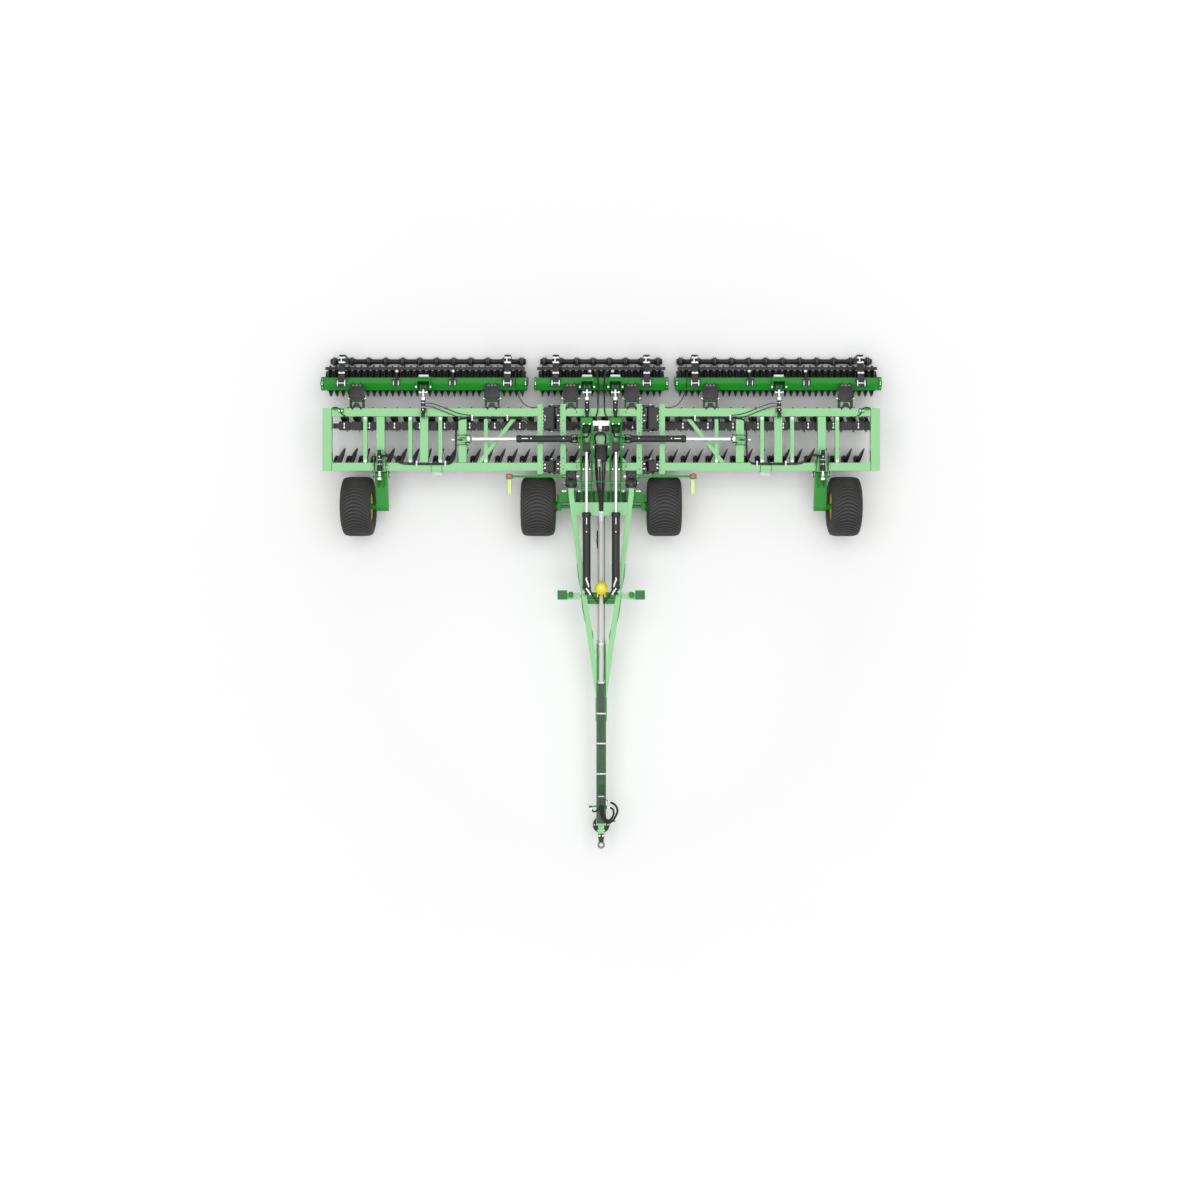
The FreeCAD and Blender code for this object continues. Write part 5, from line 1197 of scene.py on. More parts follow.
    def press_seat(self, x: float) -> None:
        """The green bracket round a cylinder's eye, with its bright cap and pin ends.

        Args:
            x: Middle of the cylinder.
        """
        piece = Piece("press_seat_" + self.section + ("" if len(self.presses[self.section]) == 1
                else "_" + str(self.presses[self.section].index(x))), self.body, "green_paint")
        pin_y = self.beam_y - 0.1
        top = self.beam_z + 0.335
        for side in (-1, 1):
            inner = x + side * 0.115
            outer = inner + side * 0.014
            cheek = [(self.beam_y - 0.12, self.beam_z + 0.06), (pin_y - 0.05, top - 0.03),
                (pin_y - 0.01, top), (self.beam_y + 0.02, top - 0.015),
                (self.beam_y + 0.10, self.beam_z + 0.10), (self.beam_y + 0.06, self.beam_z + 0.05)]
            piece.add(slab(Plane.YZ, cheek, inner, outer))
            seat = at((outer, pin_y, top - 0.015), facing((side, 0, 0)))
            piece.add(rod((0, 0, -0.004), (0, 0, 0.03), 0.024, 18, EDGE), ZINC, [seat])
        back = block((x - 0.128, self.beam_y + 0.062, self.beam_z + 0.08),
            (x + 0.128, self.beam_y + 0.115, self.beam_z + 0.24), SOFT_EDGE)
        piece.add(back)
        lid = at((x, self.beam_y + 0.02, top - 0.012), turn(-56, "X"))
        piece.add(block((-0.128, 0.0, -0.006), (0.128, 0.13, 0.006), FINE_EDGE), places=[lid])
        piece.add(block((x - 0.098, self.beam_y + 0.112, self.beam_z + 0.236),
                (x + 0.098, self.beam_y + 0.152, self.beam_z + 0.262), 0.008), WHITE_PLASTIC)
        # A near-black block of painted shade under the sloping lid.
        piece.add(block((x - 0.105, self.beam_y - 0.115, self.beam_z + 0.13),
                (x + 0.105, self.beam_y + 0.02, self.beam_z + 0.145)), DEEP_SHADE_PAINT)
        foot = slab(Plane.XY, [(x - 0.13, self.beam_y - 0.12), (x + 0.13, self.beam_y - 0.12),
                (x + 0.13, self.beam_y + 0.095), (x - 0.13, self.beam_y + 0.095)], self.beam_z + 0.118,
            self.beam_z + 0.128)
        piece.add(foot)
        piece.done()

    def rail_brackets(self) -> None:
        """The slim arms that hold the scraper rail, each with a U-bolt on the beam."""
        inner, outer = self.arms[self.section]
        if self.section == "centre":
            spots = [inner * 0.25, outer * 0.25]
        else:
            spots = [inner + (outer - inner) * share for share in (0.33, 0.67)]
        for x in spots:
            wide = 0.0 if self.section == "centre" else 0.085
            arm = [(self.beam_y + 0.03, self.beam_z + 0.10), (self.beam_y + 0.03, self.beam_z + 0.122),
                (self.roller.y + 0.10, self.beam_z + 0.02), (self.roller.y + 0.215, self.roller.z + 0.30),
                (self.roller.y + 0.215, self.roller.z + 0.26), (self.roller.y + 0.09, self.beam_z - 0.02)]
            self.black.add(slab(Plane.YZ, arm, x - 0.016, x + 0.016, EDGE))
            self.bright.add(rod((x, self.roller.y + 0.14, self.roller.z + 0.40),
                    (x, self.roller.y + 0.14, self.roller.z + 0.44), 0.03, 20, SOFT_EDGE), WHITE_PLASTIC)
            if wide:
                self.black.add(block((x - wide, self.beam_y - 0.05, self.beam_z + 0.104),
                        (x + wide, self.beam_y + 0.085, self.beam_z + 0.126), SOFT_EDGE))
                for side in (-1, 1):
                    foot = x + side * 0.05
                    hoop = [(foot, self.beam_y - 0.058, self.beam_z + 0.10),
                        (foot, self.beam_y - 0.05, self.beam_z + 0.14),
                        (foot, self.beam_y, self.beam_z + 0.15),
                        (foot, self.beam_y + 0.05, self.beam_z + 0.14),
                        (foot, self.beam_y + 0.058, self.beam_z + 0.10)]
                    self.bright.add(hose(hoop, 0.011, 3))

    def end_plates(self) -> None:
        """Pointed plates with bolts on both ends of the beam."""
        piece = Piece("beam_ends_" + self.section, self.body, "green_paint")
        beam_low = self.low.x
        beam_high = self.high.x
        reach = self.crest + 0.012
        outline = [(self.beam_y - reach, self.beam_z), (self.beam_y - 0.02, self.beam_z + reach),
            (self.beam_y + 0.02, self.beam_z + reach), (self.beam_y + reach, self.beam_z),
            (self.beam_y + 0.02, self.beam_z - reach), (self.beam_y - 0.02, self.beam_z - reach)]
        for side, end in ((1, beam_low), (-1, beam_high)):
            for inset in (0.0, 0.05):
                face = end + side * inset
                piece.add(slab(Plane.YZ, outline, face, face + side * 0.012))
            for y, z in ((-0.075, 0.062), (0.075, 0.062), (-0.018, 0.118), (0.018, 0.118)):
                seat = at((end + side * 0.031, self.beam_y + y, self.beam_z + z), facing((0, y, z)))
                piece.add(rod((0, 0, -0.004), (0, 0, 0.016), 0.013, 12, FINE_EDGE), ZINC, [seat])
        piece.done()

    def scrapers(self) -> None:
        """A rail behind the drum with a finger down between every two rings."""
        low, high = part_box("ring_roller_" + self.section)
        count = RingRoller(self.section).count()
        pitch = RingRoller.pitch
        first = (low.x + high.x) / 2 - count * pitch / 2
        rail_y = self.roller.y + 0.213
        rail_z = self.roller.z + 0.285
        self.black.add(block((low.x + 0.06, rail_y - 0.03, rail_z - 0.012),
                (high.x - 0.06, rail_y + 0.03, rail_z + 0.012)))
        finger = slab(Plane.XZ, [(-self.finger, 0.0), (self.finger, 0.0), (self.finger, -0.16),
                (self.finger * 0.6, -0.20), (-self.finger * 0.6, -0.20), (-self.finger, -0.16)], -0.005,
            0.005, THIN_EDGE)
        self.black.add(finger, places=[at((first + number * pitch, rail_y + 0.022, rail_z), turn(8, "X"))
                for number in range(1, count)])


# --- Wing and centre frames ---

@dataclass
class TubeTrim:
    """Bolts, pads and small fittings on the tubes of one wing.

    Attributes:
        side: Which wing.
        brace_x: Middles of the slim braces.
        plug_pitch: Distance between the small plugs along the rear tube's back edge.
        pad_x: Middle of the rest pad under the front tube's edge.
        arm_x: Middle of the wheel's arm.
        fold_x: Middle of the fold cylinder's eye.
        fold_y: Place of the fold cylinder along the machine.
    """

    side: str
    brace_x: tuple[float, ...] = (4.688, 3.793, 3.196, 2.291)
    plug_pitch: float = 0.245
    pad_x: float = 3.268
    arm_x: float = ARM_X
    fold_x: float = 2.753
    fold_y: float = FOLD_Y

    def __post_init__(self) -> None:
        """Read the wing's place from the frame."""
        self.sign = SIDES[self.side]
        self.low, self.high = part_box("wing_frame_" + self.side)
        self.front = self.low.y + 0.207
        self.rear = self.front + 1.08
        self.top = self.low.z + 0.19

    def build(self) -> None:
        """Make the fasteners, the pad, the fold bracket and the outer fitting."""
        body = "wing_" + self.side
        self.bright = Piece("tube_bolts_" + self.side, body, "chrome_rod")
        self.black = Piece("tube_plugs_" + self.side, body, "black_paint")
        self.shade = Piece("tube_seams_" + self.side, body, "green_paint")
        sign = self.sign
        brace_top = self.top - 0.03
        bolts = []
        for x in self.brace_x:
            for y in (self.front + 0.115, self.rear - 0.115):
                bolts.append(at((sign * x, y, brace_top)))
        self.bright.add(bolt(0.036, 0.022), places=bolts)
        plugs = int((5.4 - 1.35) / self.plug_pitch)
        self.black.add(rod((0, -0.004, 0), (0, 0.024, 0), 0.013, 14, FINE_EDGE),
            places=[at((sign * (1.35 + number * self.plug_pitch), self.rear + 0.08, self.top - 0.028))
                for number in range(plugs)])
        self.seams()
        self.rest_pad()
        self.fold_plates()
        self.outer_fitting()
        self.arm_lugs()
        for piece in (self.bright, self.black, self.shade):
            piece.done()

    def seams(self) -> None:
        """Weld seams where the cross tubes meet the long tubes, and the cover at the tube's end."""
        sign = self.sign
        for x, half, drop in [(x, 0.038, 0.03) for x in self.brace_x] + [(self.arm_x, 0.08, 0.01),
                (PRESS_X, 0.08, 0.01), (self.fold_x, 0.08, 0.01)]:
            for y in (self.front + 0.08, self.rear - 0.08):
                z = self.top - drop
                # The seams are raised beads in the darker green, which paints shade in the creases where the
                # tubes meet.
                self.shade.add(hose([(sign * (x - half), y, z), (sign * x, y, z + 0.001),
                        (sign * (x + half), y, z)], 0.006, 2), SEAM_AND_SHADE_PAINT)
        for y in (self.front, self.rear):
            self.shade.add(hose([(sign * 5.35, y - 0.08, self.top), (sign * 5.35, y, self.top + 0.001),
                    (sign * 5.35, y + 0.08, self.top)], 0.005, 2), SEAM_AND_SHADE_PAINT)

    def rest_pad(self) -> None:
        """The white pad that lands on the drawbar's stand, in its clamp round the front tube."""
        x, y = self.sign * self.pad_x, self.front
        self.bright.add(block((x - 0.098, y - 0.114, self.top - 0.19),
                (x + 0.098, y - 0.078, self.top - 0.012), SOFT_EDGE), WHITE_PLASTIC)
        self.bright.add(block((x - 0.098, y - 0.158, self.top - 0.196),
                (x + 0.098, y - 0.084, self.top - 0.172), SOFT_EDGE), WHITE_PLASTIC)
        for side in (-1, 1):
            self.shade.add(block((x + side * 0.108 - 0.006, y - 0.088, self.top - 0.164),
                    (x + side * 0.108 + 0.006, y + 0.086, self.top + 0.006), FINE_EDGE), SEAM_AND_SHADE_PAINT)
            self.bright.add(bolt(0.02, 0.012), places=[at((x + side * 0.108, y + 0.07, self.top + 0.005))])
        self.shade.add(block((x - 0.108, y + 0.074, self.top - 0.003),
                (x + 0.108, y + 0.084, self.top + 0.005), THIN_EDGE), SEAM_AND_SHADE_PAINT)

    def fold_plates(self) -> None:
        """The dark fork on the fold cylinder's eye, its plates round the tube, and the pin's end."""
        sign, x, y = self.sign, self.fold_x, self.fold_y
        for side in (-1, 1):
            wall = y + side * 0.096
            self.shade.add(block((sign * (x - 0.10), wall - 0.007, self.top - 0.155),
                    (sign * (x + 0.16), wall + 0.007, self.top + 0.008), FINE_EDGE), SEAM_AND_SHADE_PAINT)
            fork = [(x - 0.17, self.high.z - 0.11), (x - 0.17, self.high.z - 0.01),
                (x - 0.135, self.high.z + 0.006), (x - 0.09, self.high.z - 0.01),
                (x - 0.06, self.high.z - 0.08), (x - 0.06, self.high.z - 0.16)]
            self.black.add(slab(Plane.XZ, [(sign * u, v) for u, v in fork], y + side * 0.068,
                    y + side * 0.084, EDGE))
        self.bright.add(rod((sign * (x + 0.155), y, self.top + 0.02),
                (sign * (x + 0.215), y, self.top + 0.02), 0.022, 18, EDGE))
        self.black.add(rod((sign * x, y, self.top + 0.02), (sign * (x + 0.16), y, self.top + 0.02), 0.014, 16,
                THIN_EDGE), SEAM_AND_SHADE_PAINT)
        self.bright.add(bolt(0.026, 0.016),
            places=[at((sign * (x - 0.12), y + side * 0.085, self.high.z - 0.06), facing((0, side, 0)))
                for side in (-1, 1)])

    def outer_fitting(self) -> None:
        """The hose coupling block near the rear tube's outer end."""
        x, y, z = self.sign * 5.16, self.rear + 0.045, self.top
        self.shade.add(block((x - 0.05, y - 0.055, z - 0.002), (x + 0.05, y + 0.03, z + 0.06), 0.008))
        self.shade.add(block((x + self.sign * 0.13 - 0.045, y, z - 0.002),
                (x + self.sign * 0.13 + 0.045, y + 0.05, z + 0.045), SOFT_EDGE))
        self.shade.add(
            hose([(x + self.sign * 0.16, y + 0.03, z + 0.05), (x + self.sign * 0.10, y + 0.055, z + 0.075),
                (x + self.sign * 0.02, y + 0.02, z + 0.07), (x, y - 0.05, z + 0.045),
                (x - self.sign * 0.03, y - 0.10, z + 0.02), (x - self.sign * 0.08, y - 0.118, z + 0.012)],
                0.012, 4), HOSE_RUBBER)
        for shift in (-0.03, 0.02):
            self.bright.add(bolt(0.022, 0.016), places=[at((x + shift, y - 0.02, z + 0.059))])

    def arm_lugs(self) -> None:
        """Dark pivot plates ahead of the front tube, and green cheeks beside the wheel cylinder."""
        pivot_y = self.front - 0.147
        for side in (-1, 1):
            inner = self.arm_x + side * 0.151
            plate = [(self.front - 0.082, self.top - 0.155), (self.front - 0.082, self.top - 0.012),
                (pivot_y - 0.03, self.top - 0.06), (pivot_y - 0.066, self.top - 0.12),
                (pivot_y - 0.05, self.top - 0.18), (pivot_y, self.top - 0.20)]
            self.black.add(slab(Plane.YZ, plate, self.sign * inner, self.sign * (inner + side * 0.01)))
            seat = at((self.sign * (self.arm_x + side * 0.158), pivot_y, 0.80),
                facing((self.sign * side, 0, 0)))
            self.bright.add(rod((0, 0, 0), (0, 0, 0.02), 0.04, 20, EDGE), places=[seat])
            cheek = [(self.front - 0.10, self.top - 0.012), (self.front - 0.06, self.top + 0.10),
                (self.front + 0.06, self.top + 0.17), (self.front + 0.20, self.top + 0.13),
                (self.front + 0.27, self.top - 0.03), (self.front + 0.08, self.top - 0.03),
                (self.front + 0.08, self.top + 0.004), (self.front - 0.08, self.top + 0.004)]
            wall = self.arm_x + side * 0.112
            self.shade.add(slab(Plane.YZ, cheek, self.sign * wall, self.sign * (wall + side * 0.012)))
            self.shade.add(bolt(0.026, 0.016), ZINC,
                [at((self.sign * (wall + side * 0.012), self.front + along, self.top + 0.05),
                    facing((self.sign * side, 0, 0))) for along in (-0.02, 0.16)])


# --- Cylinders ---

class CylinderKind(Enum):
    """The machine's cylinders: (barrel radius, rod radius, barrel length, bright bands)."""

    FOLD = (0.065, 0.035, 1.14, 0)
    TILT = (0.08, 0.03, 1.565, 0)
    LIFT = (0.045, 0.024, 0.37, 2)
    PRESS = (0.045, 0.024, 0.355, 2)


@dataclass
class CylinderTrim:
    """The caps, gland, ports, bands and rod end of one cylinder.

    Attributes:
        name: Start of the two pieces' names.
        kind: Which cylinder it is.
        base: Middle of its base pin.
        pin: Middle of its rod's pin.
        barrel: Body of the barrel.
        rod_body: Body of the rod.
    """

    name: str
    kind: CylinderKind
    base: tuple[float, float, float]
    pin: tuple[float, float, float]
    barrel: str
    rod_body: str

    def frame(self) -> Matrix:
        """The placement whose Z runs from the base pin to the rod's pin, with Y upwards."""
        run = (Vector(self.pin) - Vector(self.base)).normalized()
        side = run.cross(Vector((0, 0, 1))).normalized()
        up = side.cross(run)
        return at(self.base, Matrix((-side, up, run)).transposed().to_4x4())

    def build(self) -> None:
        """Model the barrel's trim and the rod's end."""
        bore, shank, length, bands = self.kind.value
        place = self.frame()
        reach = (Vector(self.pin) - Vector(self.base)).length
        piece = Piece(self.name + "_caps", self.barrel, "black_paint")
        rise = 0.003 if bands else 0.009
        foot = turned([(0.062, 0.0), (0.062, bore + rise * 0.5), (0.07, bore + rise), (0.10, bore + rise),
                (0.108, bore + rise * 0.4), (0.108, 0.0)], 32)
        upright = turn(-90, "Y")
        piece.add(foot, places=[place @ upright])
        gland = turned([(length - 0.075, shank + 0.004), (length - 0.075, bore + 0.003),
                (length - 0.066, bore + 0.010), (length - 0.008, bore + 0.010),
                (length + 0.004, bore - 0.002), (length + 0.014, bore - 0.012),
                (length + 0.016, shank + 0.004)], 32)
        piece.add(gland, ZINC if self.kind is CylinderKind.PRESS else BLACK_PAINT, [place @ upright])
        wiper = turned([(length + 0.010, shank + 0.001), (length + 0.010, shank + 0.012),
                (length + 0.022, shank + 0.009), (length + 0.022, shank + 0.001)], 28)
        piece.add(wiper, ZINC, [place @ upright])
        band = turned([(-0.007, bore - 0.002), (-0.007, bore + 0.004), (0.007, bore + 0.004),
                (0.007, bore - 0.002)], 32)
        if bands:
            shares = () if abs(self.base[0]) < 1.0 else (0.42, 0.66)
            piece.add(band, WHITE_PLASTIC, [place @ at((0, 0, length * share)) @ upright for share in shares])
        else:
            band.free()
            strip = block((-0.007, bore - 0.006, length - 0.22), (0.007, bore + 0.004, length - 0.09),
                FINE_EDGE)
            piece.add(strip, ZINC, [place])
        for share in (0.16, 0.8):
            spot = place @ at((0, bore - 0.004, 0.06 + (length - 0.14) * share))
            piece.add(block((-0.022, 0.0, -0.022), (0.022, 0.02, 0.022)), places=[spot])
            piece.add(rod((0, 0.018, 0), (0, 0.034, 0), 0.014, 6, THIN_EDGE), ZINC, [spot])
        piece.done()
        self.rod_end(place, reach, shank)

    def rod_end(self, place: Matrix, reach: float, shank: float) -> None:
        """The lock nut and the eye's cover plates at the rod's far end.

        Args:
            place: Placement along the cylinder.
            reach: Distance between the two pins.
            shank: The rod's radius.
        """
        piece = Piece(self.name + "_eye", self.rod_body, "forged_steel")
        if self.kind is CylinderKind.PRESS:
            piece.add(rod((-0.085, 0, reach - 0.105), (0.085, 0, reach - 0.105), 0.017, 18, EDGE), ZINC,
                [place])
            for side in (-1, 1):
                piece.add(block((side * 0.072 - 0.014, -0.024, reach - 0.129),
                        (side * 0.072 + 0.014, 0.024, reach - 0.081), SOFT_EDGE), WHITE_PLASTIC, [place])
            piece.add(block((-0.04, -0.045, reach - 0.055), (0.04, 0.047, reach + 0.04), 0.012), BLACK_PAINT,
                [place])
        elif self.kind is CylinderKind.TILT:
            piece.add(block((-0.072, -0.06, reach - 0.078), (0.072, 0.06, reach + 0.075), 0.02), BLACK_PAINT,
                [place])
            piece.add(rod((0, 0, reach - 0.095), (0, 0, reach - 0.07), shank + 0.02, 24, SOFT_EDGE),
                BLACK_PAINT, [place])
        else:
            near = 0.05 if self.kind is CylinderKind.LIFT else 0.07
            piece.add(rod((0, 0, reach - near - 0.02), (0, 0, reach - near), shank + 0.014, 6, FINE_EDGE),
                ZINC, [place])
            piece.add(rod((0, 0, reach - near), (0, 0, reach - 0.035), shank + 0.010, 24, FINE_EDGE),
                places=[place])
        piece.done()


@dataclass
class Hinge:
    """Ribs, scalloped plates and bright pin ends round the wing hinges of one side."""

    side: str
    pin_x: float = 0.981
    scallop: float = 0.028

    def build(self) -> None:
        """Dress the front and the rear hinge."""
        sign = SIDES[self.side]
        low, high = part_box("hinge_lugs")
        top = high.z
        held = Piece("hinge_caps_" + self.side, "centre", "black_paint")
        moving = Piece("hinge_ribs_" + self.side, "wing_" + self.side, "black_paint")
        for start, end in ((low.y + 0.01, low.y + 0.285), (high.y - 0.515, high.y - 0.01)):
            for y in (start - 0.012, end + 0.012):
                held.add(rod((sign * self.pin_x, y - 0.008, 0.85), (sign * self.pin_x, y + 0.008, 0.85), 0.05,
                        22, EDGE), ZINC)
            count = max(3, round((end - start) / 0.075))
            step = (end - start) / count
            edge = [(0.0, start)]
            for number in range(count):
                edge += [(self.scallop, start + step * (number + 0.25)),
                    (self.scallop * 0.25, start + step * (number + 0.75))]
            edge.append((0.0, end))
            root = 0.800
            held.add(slab(Plane.XY, [(sign * (root - 0.02), start)] + [(sign * (root + x), y) for x,
                    y in edge] + [(sign * (root - 0.02), end)], top - 0.004, top + 0.008, THIN_EDGE),
                LIT_GREEN_PAINT)
            outer = 1.164
            moving.add(slab(Plane.XY, [(sign * (outer + 0.02), start)] + [(sign * (outer - x), y) for x,
                    y in edge] + [(sign * (outer + 0.02), end)], top - 0.004, top + 0.008, THIN_EDGE),
                LIT_GREEN_PAINT)
            for number in range(count + 1):
                y = start + step * number
                held.add(slab(Plane.XZ, [(sign * 0.815, top - 0.02), (sign * 0.825, top + 0.012),
                        (sign * 0.875, top + 0.014), (sign * 0.885, top - 0.02)], y - 0.006, y + 0.006,
                        THIN_EDGE))
                if start + 0.02 < y < end - 0.02:
                    moving.add(slab(Plane.XZ, [(sign * 1.092, top - 0.01), (sign * 1.1, top + 0.015),
                            (sign * 1.15, top + 0.015), (sign * 1.16, top - 0.01)], y - 0.006, y + 0.006,
                            THIN_EDGE))
            middle = (start + end) / 2
            spots = [at((sign * 0.855, middle + shift, top)) for shift in (-0.05, 0.05)]
            held.add(bolt(0.022, 0.014), ZINC, spots)
            moving.add(bolt(0.022, 0.014), ZINC,
                [at((sign * 1.115, middle + shift, top)) for shift in (-0.035, 0.035)])
        held.done()
        moving.done()


def cylinders() -> list[CylinderTrim]:
    """The trim of every cylinder on the machine.

    Returns:
        One entry for each cylinder.
    """
    found = []
    for side, sign in SIDES.items():
        found.append(CylinderTrim("fold_" + side, CylinderKind.FOLD, (sign * 0.52, FOLD_Y, 1.15),
                (sign * 2.62, FOLD_Y, 1.12), "fold_barrel_" + side, "fold_rod_" + side))
        found.append(CylinderTrim("tilt_" + side, CylinderKind.TILT, (sign * TOWER_X, 0.205, 1.05),
                (sign * TOWER_X, 3.03, 1.45), "tilt_barrel", "tilt_rod"))
        found.append(CylinderTrim("lift_" + side, CylinderKind.LIFT, (sign * ARM_X, 2.97, 1.06),
                (sign * ARM_X, 2.44, 1.05), "lift_barrel_" + side, "lift_rod_" + side))
        found.append(CylinderTrim("press_" + side, CylinderKind.PRESS, (sign * PRESS_X, 3.70, 1.08),
                (sign * PRESS_X, 4.25, 1.08), "press_barrel_" + side, "press_rod_" + side))
        found.append(CylinderTrim("press_centre_" + side, CylinderKind.PRESS, (sign * 0.28, 3.70, 1.08),
                (sign * 0.28, 4.25, 1.08), "press_barrel_centre", "press_rod_centre"))
    return found


# --- Centre section ---

@dataclass
class CentreTrim:
    """Valves, hoses, tower caps and bolts between the two towers and on the centre frame.

    Attributes:
        tower_x: Middle of a tower.
        cheek: Distance from a tower's middle to a plate's middle.
        hose: Radius of the thin hoses.
    """

    tower_x: float = TOWER_X
    cheek: float = 0.1005
    hose: float = 0.013

    def build(self) -> None:
        """Make every piece of the centre section."""
        self.valves()
        self.loops()
        self.towers()
        self.fasteners()

    def valves(self) -> None:
        """Solenoids, fittings and screws on the valve block, and the dark box ahead of it."""
        low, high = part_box("manifold")
        top = high.z
        piece = Piece("valve_trim", "centre", "valve_alloy")
        for x in (-0.105, -0.04, 0.035, 0.1):
            piece.add(rod((x, low.y + 0.115, top - 0.006), (x, low.y + 0.115, top + 0.035), 0.026, 20, 0.005))
            piece.add(bolt(0.024, 0.018), ZINC,
                [at((x, low.y + 0.115, top + 0.034)), at((x, low.y + 0.165, top))])
        for x in (-0.128, -0.075, 0.035, 0.088, 0.132):
            piece.add(block((x - 0.025, low.y - 0.012, top - 0.07), (x + 0.025, low.y + 0.09, top + 0.03),
                    0.008), BLACK_PAINT)
        piece.add(block((-0.03, low.y - 0.03, top - 0.02), (-0.01, low.y + 0.13, top + 0.024)), WHITE_PLASTIC)
        box_low = low.y - 0.594
        piece.add(block((-0.13, box_low, 0.925), (0.12, box_low + 0.31, 1.02), 0.012), BLACK_PAINT)
        piece.add(slab(Plane.XZ, [(-0.12, 1.015), (-0.105, 1.03), (0.095, 1.03), (0.11, 1.015)],
                box_low + 0.01, box_low + 0.30), BLACK_PAINT)
        for x in (-0.09, -0.03, 0.03, 0.08):
            piece.add(block((x - 0.006, box_low + 0.02, 1.022), (x + 0.006, box_low + 0.29, 1.036),
                    THIN_EDGE), BLACK_PAINT)
        piece.add(block((-0.19, box_low + 0.33, 0.95), (0.19, box_low + 0.53, 0.965)), LIT_GREEN_PAINT)
        piece.add(block((-0.075, box_low - 0.02, 1.0), (-0.01, box_low + 0.025, 1.045), 0.01), WHITE_PLASTIC)
        piece.add(rod((-0.045, box_low - 0.12, 0.985), (-0.045, box_low - 0.02, 0.985), 0.03, 20, 0.005),
            PALE_PLASTIC)
        piece.done()

    def loops(self) -> None:
        """The hoses that loop from the valve block, and those that run on to the drawbar."""
        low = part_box("manifold")[0]
        piece = Piece("valve_hoses", "centre", "hose_rubber")
        z = 1.035
        arch = [(-0.105, low.y - 0.27, z), (-0.125, low.y - 0.17, z), (-0.12, low.y - 0.09, z + 0.01),
            (-0.06, low.y - 0.045, z + 0.02), (0.03, low.y - 0.045, z + 0.02),
            (0.085, low.y - 0.09, z + 0.01), (0.095, low.y - 0.17, z), (0.08, low.y - 0.27, z)]
        piece.add(hose(arch, self.hose * 1.25))
        tilt = Piece("tilt_hoses", "centre", "hose_rubber")
        for x, far in ((-0.115, -0.03), (-0.085, -0.012), (-0.03, 0.0), (0.03, 0.012), (0.075, 0.03)):
            line = [(x, low.y - 0.56, 0.985), (x, low.y - 0.62, 0.985), (x * 0.92, 2.60, 0.955),
                (x * 0.8, 2.42, 0.935), (x * 0.6, 2.20, 0.94), (far * 1.2, 2.04, 1.0), (far, 1.92, 1.035),
                (far * 0.8, 1.76, 1.03)]
            tilt.add(hose(line, self.hose * 1.25))
        tilt.done(joined=("centre", "drawbar", (0.0, 2.55, 0.93), (0.0, 2.18, 0.93)))
        for sign in (-1, 1):
            run = [(sign * 0.10, low.y + 0.19, 1.02), (sign * 0.105, low.y + 0.28, 1.03),
                (sign * 0.07, 3.76, 0.99), (sign * 0.065, 3.86, 0.962), (sign * 0.062, 3.93, 0.95)]
            piece.add(hose(run, self.hose))
            rise = [(sign * 0.19, low.y + 0.09, 1.0), (sign * 0.235, low.y + 0.02, 1.01),
                (sign * 0.26, low.y - 0.13, 1.06), (sign * 0.33, 3.27, 1.09), (sign * 0.43, 3.235, 1.14),
                (sign * 0.52, 3.225, 1.175)]
            piece.add(hose(rise, self.hose * 0.9))
        for shift in (0.0, 0.025, 0.05):
            wave = [(-0.42 + shift, 3.47 - shift, 0.955), (-0.49, 3.52 + shift, 0.96),
                (-0.56 - shift, 3.46 + shift, 0.955), (-0.63, 3.52 + shift, 0.95),
                (-0.68, 3.58 + shift, 0.95)]
            piece.add(hose(wave, self.hose * 0.8))
            piece.add(hose([(-x, y, z) for x, y, z in wave], self.hose * 0.8))
        piece.done()
        crossing = Piece("roller_hoses_centre", "centre", "hose_rubber")
        for sign in (-1, 1):
            crossing.add(hose([(sign * 0.062, 3.90, 0.955), (sign * 0.066, 4.0, 0.935),
                    (sign * 0.06, 4.12, 0.925), (sign * 0.052, 4.24, 0.935), (sign * 0.055, 4.33, 0.925),
                    (sign * 0.062, 4.42, 0.915), (sign * 0.085, 4.52, 0.90), (sign * 0.095, 4.62, 0.86)],
                    self.hose * 1.2))
        crossing.done(joined=("centre", "roller_arms_centre", (0.0, 3.98, 0.93), (0.0, 4.22, 0.93)))

    def towers(self) -> None:
        """Bars across each tower, painted shade between its plates and washers on its boss."""
        piece = Piece("tower_bars", "centre", "green_paint")
        for sign in (-1, 1):
            x = sign * self.tower_x
            reach = self.cheek + 0.012
            for y, z, deep in ((3.578, 1.09, 0.068), (2.62, 1.14, 0.03), (2.30, 0.86, 0.05)):
                piece.add(block((x - reach, y - deep, z - 0.02), (x + reach, y + deep, z + 0.008), SOFT_EDGE))
